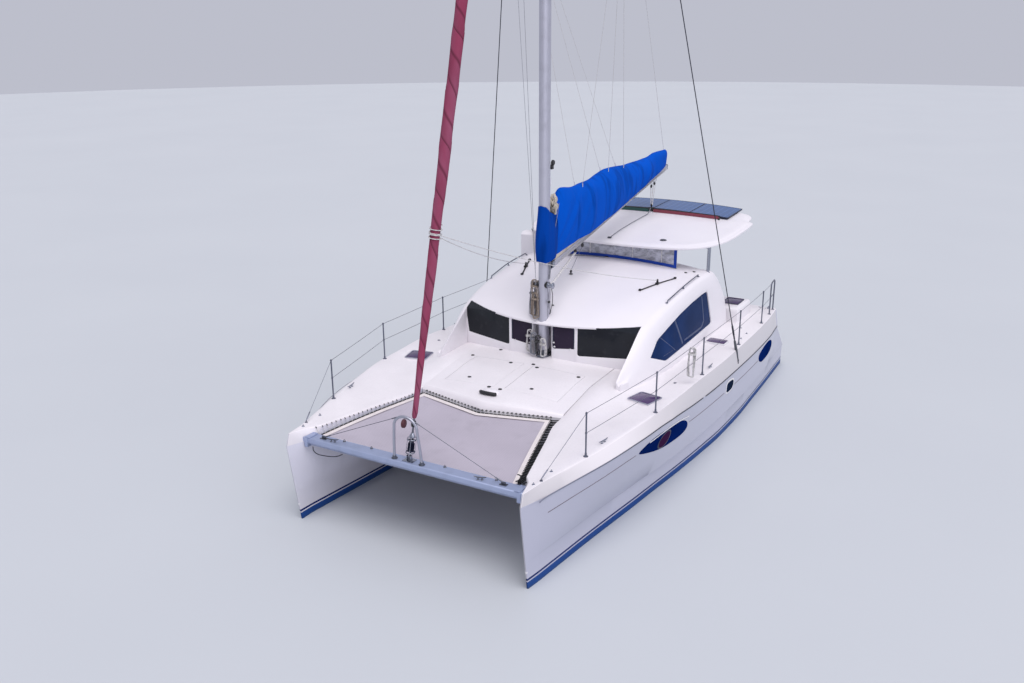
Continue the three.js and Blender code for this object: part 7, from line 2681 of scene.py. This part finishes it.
class CockpitOperator(bpy.types.Operator):
    """Cockpit seats, their cushions, the table and the saloon's seat"""

    bl_idname = "catamaran.cockpit"
    bl_label = "Cockpit"

    def execute(self, context):
        dress(refined("cockpit_bench", "cockpit_seats", 0.022, 3, 30), "deck", "gelcoat", stands_for="cockpit_bench")
        dress(refined("cockpit_table", "cockpit_table_top", 0.010, 3, 30), "wood", "gelcoat",
              stands_for="cockpit_table")
        for name, node, x, y in (("aft_pad_1", "bench_cushion", (-1.250, -0.4185), (4.605, 4.940)),
                                 ("aft_pad_2", "", (-0.4155, 0.4155), (4.605, 4.940)),
                                 ("aft_pad_3", "", (0.4185, 1.250), (4.605, 4.940)),
                                 ("side_pad_1", "side_cushion", (0.945, 1.434), (2.765, 3.593)),
                                 ("side_pad_2", "", (0.945, 1.434), (3.597, 4.425))):
            pad = stuffed_pad(name, x, y, (1.5005, 1.580), 0.012)
            dress(pad, "cushion", "cushion", stands_for=node)
        sofa = stuffed_pad("saloon_seat_pad", (-1.300, 1.300), (-0.840, -0.250), (1.360, 1.480), 0.02)
        dress(sofa, "cushion", "cushion", stands_for="saloon_sofa")
        base = block("sofa_base", (-1.28, 1.28), (-0.82, -0.27), (1.0806, 1.3595), 0.015, 3)
        dress(base, "white_plastic", "gelcoat")
        base.name = "saloon_seat_base"
        return {"FINISHED"}


STANCHIONS = [(-4.452, 0.045), (-2.460, 0.040), (-0.270, 0.071), (1.950, 0.072), (3.700, 0.072)]
PUSHPIT = [(4.520, 0.072), (4.990, 0.072)]
WIRE_HIGH, WIRE_LOW, RAIL_HIGH = 0.720, 0.390, 0.740


def rail_at(row, up):
    """A place over the port deck's edge."""
    y, inboard = row
    ring = hull_ring(y)
    return Vector((ring[18][0] + 0.008 - inboard, y, ring[19][2] + up))


class LifelinesOperator(bpy.types.Operator):
    """Stanchions, wires and the stern rails on both sides"""

    bl_idname = "catamaran.lifelines"
    bl_label = "Lifelines"

    def execute(self, context):
        fore, aft = PUSHPIT
        parts = []
        for row in STANCHIONS:
            foot = rail_at(row, 0)
            foot.z = deck_z(foot.x, foot.y) - 0.006
            parts.append(tube("stanchion", [foot, rail_at(row, RAIL_HIGH - 0.012), rail_at(row, RAIL_HIGH)],
                              [0.0135, 0.0135, 0.010], 14))
            parts.append(turned("stanchion_base", [(0, 0.055), (0.017, 0.055), (0.019, 0.012), (0.036, 0.008),
                                                   (0.040, 0.004), (0.040, 0), (0, 0)], foot + Vector((0, 0, 0.005)),
                                steps=20))
            parts += [turned("eye", [(0, -0.010), (0.019, -0.007), (0.019, 0.007), (0, 0.010)], rail_at(row, h),
                             steps=14) for h in (WIRE_HIGH, WIRE_LOW)]
        top_fore, top_aft = rail_at(fore, RAIL_HIGH - 0.012), rail_at(aft, RAIL_HIGH - 0.012)
        foot_fore, foot_aft = rail_at(fore, -0.03), rail_at(aft, -0.03)
        parts.append(tube("stern_rail", rounded_path([foot_fore, top_fore, top_aft, foot_aft], 0.11, 7), 0.0160, 14))
        parts.append(tube("stern_rail_low", [rail_at(fore, WIRE_LOW), rail_at(aft, WIRE_LOW)], 0.0095, 12))
        for foot in (foot_fore, foot_aft):
            at = Vector((foot.x, foot.y, deck_z(foot.x, foot.y) - 0.002))
            parts.append(disc("rail_base", [(0.018, 0.02), (0.020, 0.010), (0.038, 0.006), (0.040, 0)], at, steps=20))
        line = [*STANCHIONS, fore]
        for high in (WIRE_HIGH, WIRE_LOW):
            for a, b in zip(line, line[1:]):
                parts.append(tube("wire", sagging(rail_at(a, high), rail_at(b, high), 0.006, 8), 0.0040, 6))
        bow = Vector((hull_ring(-5.46)[18][0] - 0.040, -5.46, deck_z(hull_ring(-5.46)[18][0] - 0.040, -5.46) + 0.03))
        high = rail_at(STANCHIONS[0], WIRE_HIGH)
        ahead = (high - bow).normalized()
        parts.append(tube("wire", [bow, high], 0.0040, 6))
        parts.append(tube("wire_screw", [bow, bow + ahead * 0.06, bow + ahead * 0.17, bow + ahead * 0.19],
                          [0.007, 0.010, 0.010, 0.005], 10))
        parts += padeye_parts(bow - Vector((0, 0, 0.030)), (0.2, 1, 0))
        dress_pair(join(parts, "rails"), "rail_steel", "steel", "lifelines")
        hang_hank("rail_hank", "white_rope", rail_at((-0.92, 0.066), WIRE_HIGH - 0.016) + Vector((0.004, 0, 0)),
                  (0.55, -1, 0), 0.58, 8, 0.013)
        return {"FINISHED"}


class DeckGearOperator(bpy.types.Operator):
    """Cleats, padeyes and small fittings on the decks"""

    bl_idname = "catamaran.deck_gear"
    bl_label = "Deck gear"

    def execute(self, context):
        steel = []
        for x, y, along in ((2.545, -3.90, (0.18, 1, 0)), (2.90, 0.24, (0.02, 1, 0)), (2.70, 5.02, (0, 1, 0))):
            steel += cleat_parts((x, y, deck_z(x, y) - 0.001), along, 0.24)
        for x, y in ((2.205, -5.60), (2.250, -5.12), (2.86, 2.35), (2.86, 2.75)):
            steel += padeye_parts((x, y, deck_z(x, y) - 0.001), (0, 1, 0))
        for y in (3.10, -0.9):
            steel.append(disc("filler_cap", [(0.026, 0.004), (0.034, 0.002), (0.035, 0)], (2.62, y, deck_z(2.62, y)),
                              steps=22))
        dress_pair(join(steel, "deck_fittings"), "steel", "steel")
        pale = disc("bow_eye", [(0.014, 0.012), (0.022, 0.004), (0.024, 0)], (STEM_X, stem_y(0.30) + 0.004, 0.30),
                    (0, -1, 0.1), 18)
        dress_pair(pale, "white_plastic", "gelcoat")
        steps = []
        for x, y, z in ((2.355, 5.255, 1.191), (2.355, 5.545, 0.791), (2.355, 5.84, 0.391)):
            steps.append(block("tread", (x - 0.33, x + 0.33), (y - 0.11, y + 0.11), (z - 0.004, z + 0.005), 0.004))
        dress_pair(join(steps, "stern_treads"), "rubber", "dark")
        return {"FINISHED"}


class SternGearOperator(bpy.types.Operator):
    """Swim ladder on the port transom"""

    bl_idname = "catamaran.swim_ladder"
    bl_label = "Swim ladder"

    def execute(self, context):
        x, y, hinge, top = (2.180, 2.560), 6.020, 0.330, 0.990
        parts = [rod("hinge_rod", (x[0] - 0.038, y, hinge), (x[1] + 0.038, y, hinge), 0.0078, 20, round_by=0.001)]
        path = rounded_path([(x[0], y, hinge - 0.012), (x[0], y, top - 0.002), (x[1], y, top - 0.002),
                             (x[1], y, hinge - 0.012)], 0.06, 6)
        parts.append(tube("ladder_tube", path, 0.0128, 14))
        for i in range(1, 4):
            z = lerp(hinge, top - 0.020, i / 4)
            parts.append(tube("rung", [(x[0], y, z), (x[1], y, z)], 0.0125, 14, flat=0.8, up=(0, 1, 0)))
        dress(join(parts, "boarding_ladder"), "steel", "steel", "swim_ladder", "swim_ladder")
        return {"FINISHED"}


class UnderwaterOperator(bpy.types.Operator):
    """Keels, rudders, saildrives, propellers and engines"""

    bl_idname = "catamaran.underwater"
    bl_label = "Under water"

    def execute(self, context):
        for side, word in SIDES:
            keel = keel_body(f"keel_fin_{word}", side)
            dress(keel, "antifouling", "antifouling", stands_for=f"keel_{word}")
            rudder = [foil_loft("rudder_blade", side * 2.36,
                                [(-0.270, 5.131, 5.559, 0.0445), (-0.674, 5.150, 5.550, 0.041),
                                 (-0.95, 5.175, 5.52, 0.034), (-1.076, 5.20, 5.49, 0.024)]),
                      rod("rudder_stock", (side * 2.36, 5.30, -0.50), (side * 2.36, 5.30, 0.139), 0.0298, 32,
                          round_by=0.003)]
            dress(join(rudder, f"rudder_foil_{word}"), "antifouling", "antifouling", f"rudder_{word}",
                  f"rudder_{word}")
            dress(refined(f"saildrive_{word}", f"drive_leg_{word}", 0.008, 3, 30), "engine_paint", "engine",
                  stands_for=f"saildrive_{word}")
            dress(refined(f"propeller_{word}", f"propeller_blades_{word}", 0.003, 2, 40), "bronze", "bronze",
                  f"propeller_{word}", f"propeller_{word}")
            dress(refined(f"engine_{word}", f"engine_block_{word}", 0.03, 3, 30), "engine_paint", "engine",
                  stands_for=f"engine_{word}")
        return {"FINISHED"}


def foil_loft(name, x, rows):
    """A fin of foil sections, each row: z, leading y, trailing y, half thickness."""
    shape = [(0, 0), (0.01, 0.26), (0.04, 0.50), (0.09, 0.70), (0.16, 0.86), (0.26, 0.96), (0.36, 1.0), (0.50, 0.88),
             (0.66, 0.66), (0.84, 0.35), (1.0, 0.04)]
    rings = []
    for z, lead, trail, half in rows:
        port = [(x + half * h, lead + (trail - lead) * t, z) for t, h in shape]
        rings.append(port + [(x - half * h, lead + (trail - lead) * t, z) for t, h in shape[:0:-1]])
    return smooth(loft(name, rings), 40)


def keel_body(name, side):
    x = side * 2.33
    return foil_loft(name, x, [(-0.40, -1.150, 1.750, 0.13), (-0.70, -1.090, 1.730, 0.129),
                               (-1.00, -0.99, 1.68, 0.120), (-1.20, -0.90, 1.635, 0.112),
                               (-1.25, -0.87, 1.61, 0.092)])


class CameraOperator(bpy.types.Operator):
    """The camera, at the photograph's place and angle"""

    bl_idname = "catamaran.camera"
    bl_label = "Camera"

    def execute(self, context):
        azimuth, down, roll = (math.radians(a) for a in (CAMERA_AZIMUTH, CAMERA_DOWN, CAMERA_ROLL))
        ahead = Vector((-math.sin(azimuth) * math.cos(down), math.cos(azimuth) * math.cos(down), -math.sin(down)))
        level = Vector((math.cos(azimuth), math.sin(azimuth), 0))
        upright = level.cross(ahead)
        right = math.cos(roll) * level + math.sin(roll) * upright
        up = -math.sin(roll) * level + math.cos(roll) * upright
        bpy.ops.object.camera_add(location=CAMERA_PLACE)
        camera = context.view_layer.objects.active
        camera.name = "photo_camera"
        turn = Matrix((right, up, -ahead)).transposed()
        camera.rotation_euler = turn.to_euler()
        camera.data.sensor_width = 36
        camera.data.lens = CAMERA_LENS
        camera.data.clip_end = 400
        context.scene.camera = camera
        return {"FINISHED"}


class StageOperator(bpy.types.Operator):
    """Pale floor at the waterline, pale background and soft studio light"""

    bl_idname = "catamaran.stage"
    bl_label = "Stage"

    def execute(self, context):
        bpy.ops.object.select_all(action="DESELECT")
        bpy.ops.mesh.primitive_circle_add(vertices=96, radius=120, fill_type="NGON", location=(0, 0, 0))
        floor = context.view_layer.objects.active
        floor.name = "studio_floor"
        look = Look("floor_paper", roughness=0.55)
        look.colour(look.mix(look.noise(0.15, 3), (0.52, 0.545, 0.575), (0.56, 0.585, 0.61)))
        floor.data.materials.append(look.material)
        world = bpy.data.worlds.new("studio")
        world.use_nodes = True
        context.scene.world = world
        background = world.node_tree.nodes["Background"]
        background.inputs["Color"].default_value = (0.82, 0.84, 0.97, 1)
        background.inputs["Strength"].default_value = 0.62
        for name, source, size, power, colour in STUDIO_LIGHTS:
            turn = Vector(source).to_track_quat("Z", "Y").to_euler()
            bpy.ops.object.light_add(type="SUN", location=(0, 0, 30), rotation=turn)
            light = context.view_layer.objects.active
            light.name = name
            light.data.angle = math.radians(size)
            light.data.energy = power
            light.data.color = colour
        context.scene.view_settings.view_transform = "Standard"
        return {"FINISHED"}


# Name, where it comes from, angular size, strength, colour
STUDIO_LIGHTS = [
    ("key_light", (0.22, -0.30, 0.93), 45, 1.75, (1.0, 0.965, 0.97)),
    ("fill_light", (0.75, -0.20, 0.45), 70, 0.90, (0.93, 0.92, 1.0)),
]


class CatamaranFinishes(bpy.types.PropertyGroup):
    """Colours that a user would change"""

    def tone(name, default):
        description = f"Base colour of the {name.lower()}"
        return bpy.props.FloatVectorProperty(name=name, description=description, subtype="COLOR", size=3,
                                             min=0.0, max=1.0, default=default)

    hull: tone("Topsides", (0.70, 0.69, 0.77))
    deck: tone("Decks", (0.80, 0.765, 0.79))
    roof: tone("Cabin top", (0.80, 0.77, 0.80))
    antifouling: tone("Waterline band", (0.004, 0.045, 0.20))
    navy: tone("Boot-top line", (0.008, 0.02, 0.12))
    sail: tone("Furled sail", (0.235, 0.036, 0.080))
    sail_faded: tone("Faded sail", (0.30, 0.090, 0.155))
    net: tone("Trampoline", (0.49, 0.45, 0.52))
    cells: tone("Solar cells", (0.035, 0.085, 0.22))
    vinyl: tone("Clear sheet", (0.58, 0.59, 0.68))
    del tone


GROUPS = [
    CameraOperator,
    StageOperator,
    HullsOperator,
    RubbingStrakeOperator,
    HullWindowsOperator,
    ForedeckOperator,
    CoachroofOperator,
    FrontWindowsOperator,
    CabinEndOperator,
    DeckHatchesOperator,
    EngineLidsOperator,
    MastOperator,
    ShroudsOperator,
    FurlerOperator,
    FurledJibOperator,
    BowGearOperator,
    TrampolineOperator,
    BoomOperator,
    SailCoverOperator,
    HalyardsOperator,
    RopeCoilsOperator,
    RoofGearOperator,
    HardtopOperator,
    SolarPanelsOperator,
    TravellerOperator,
    WindscreenOperator,
    HelmOperator,
    CockpitOperator,
    LifelinesOperator,
    DeckGearOperator,
    SternGearOperator,
    UnderwaterOperator,
]


class CatamaranPanel(bpy.types.Panel):
    """Lists the groups of pieces and their settings"""

    bl_idname = "VIEW3D_PT_catamaran"
    bl_label = "Catamaran"
    bl_space_type = "VIEW_3D"
    bl_region_type = "UI"
    bl_category = "Catamaran"

    def draw(self, context):
        column = self.layout.column()
        for prop in CatamaranFinishes.__annotations__:
            column.prop(context.scene.catamaran_finishes, prop)
        for group in GROUPS:
            column.operator(group.bl_idname)


def register():
    for cls in (CatamaranFinishes, *GROUPS, CatamaranPanel):
        bpy.utils.register_class(cls)
    bpy.types.Scene.catamaran_finishes = bpy.props.PointerProperty(type=CatamaranFinishes)


def unregister():
    del bpy.types.Scene.catamaran_finishes
    for cls in reversed((CatamaranFinishes, *GROUPS, CatamaranPanel)):
        bpy.utils.unregister_class(cls)


def main():
    register()
    for group in GROUPS:
        kind, name = group.bl_idname.split(".")
        getattr(getattr(bpy.ops, kind), name)()


if __name__ == "__main__":
    main()
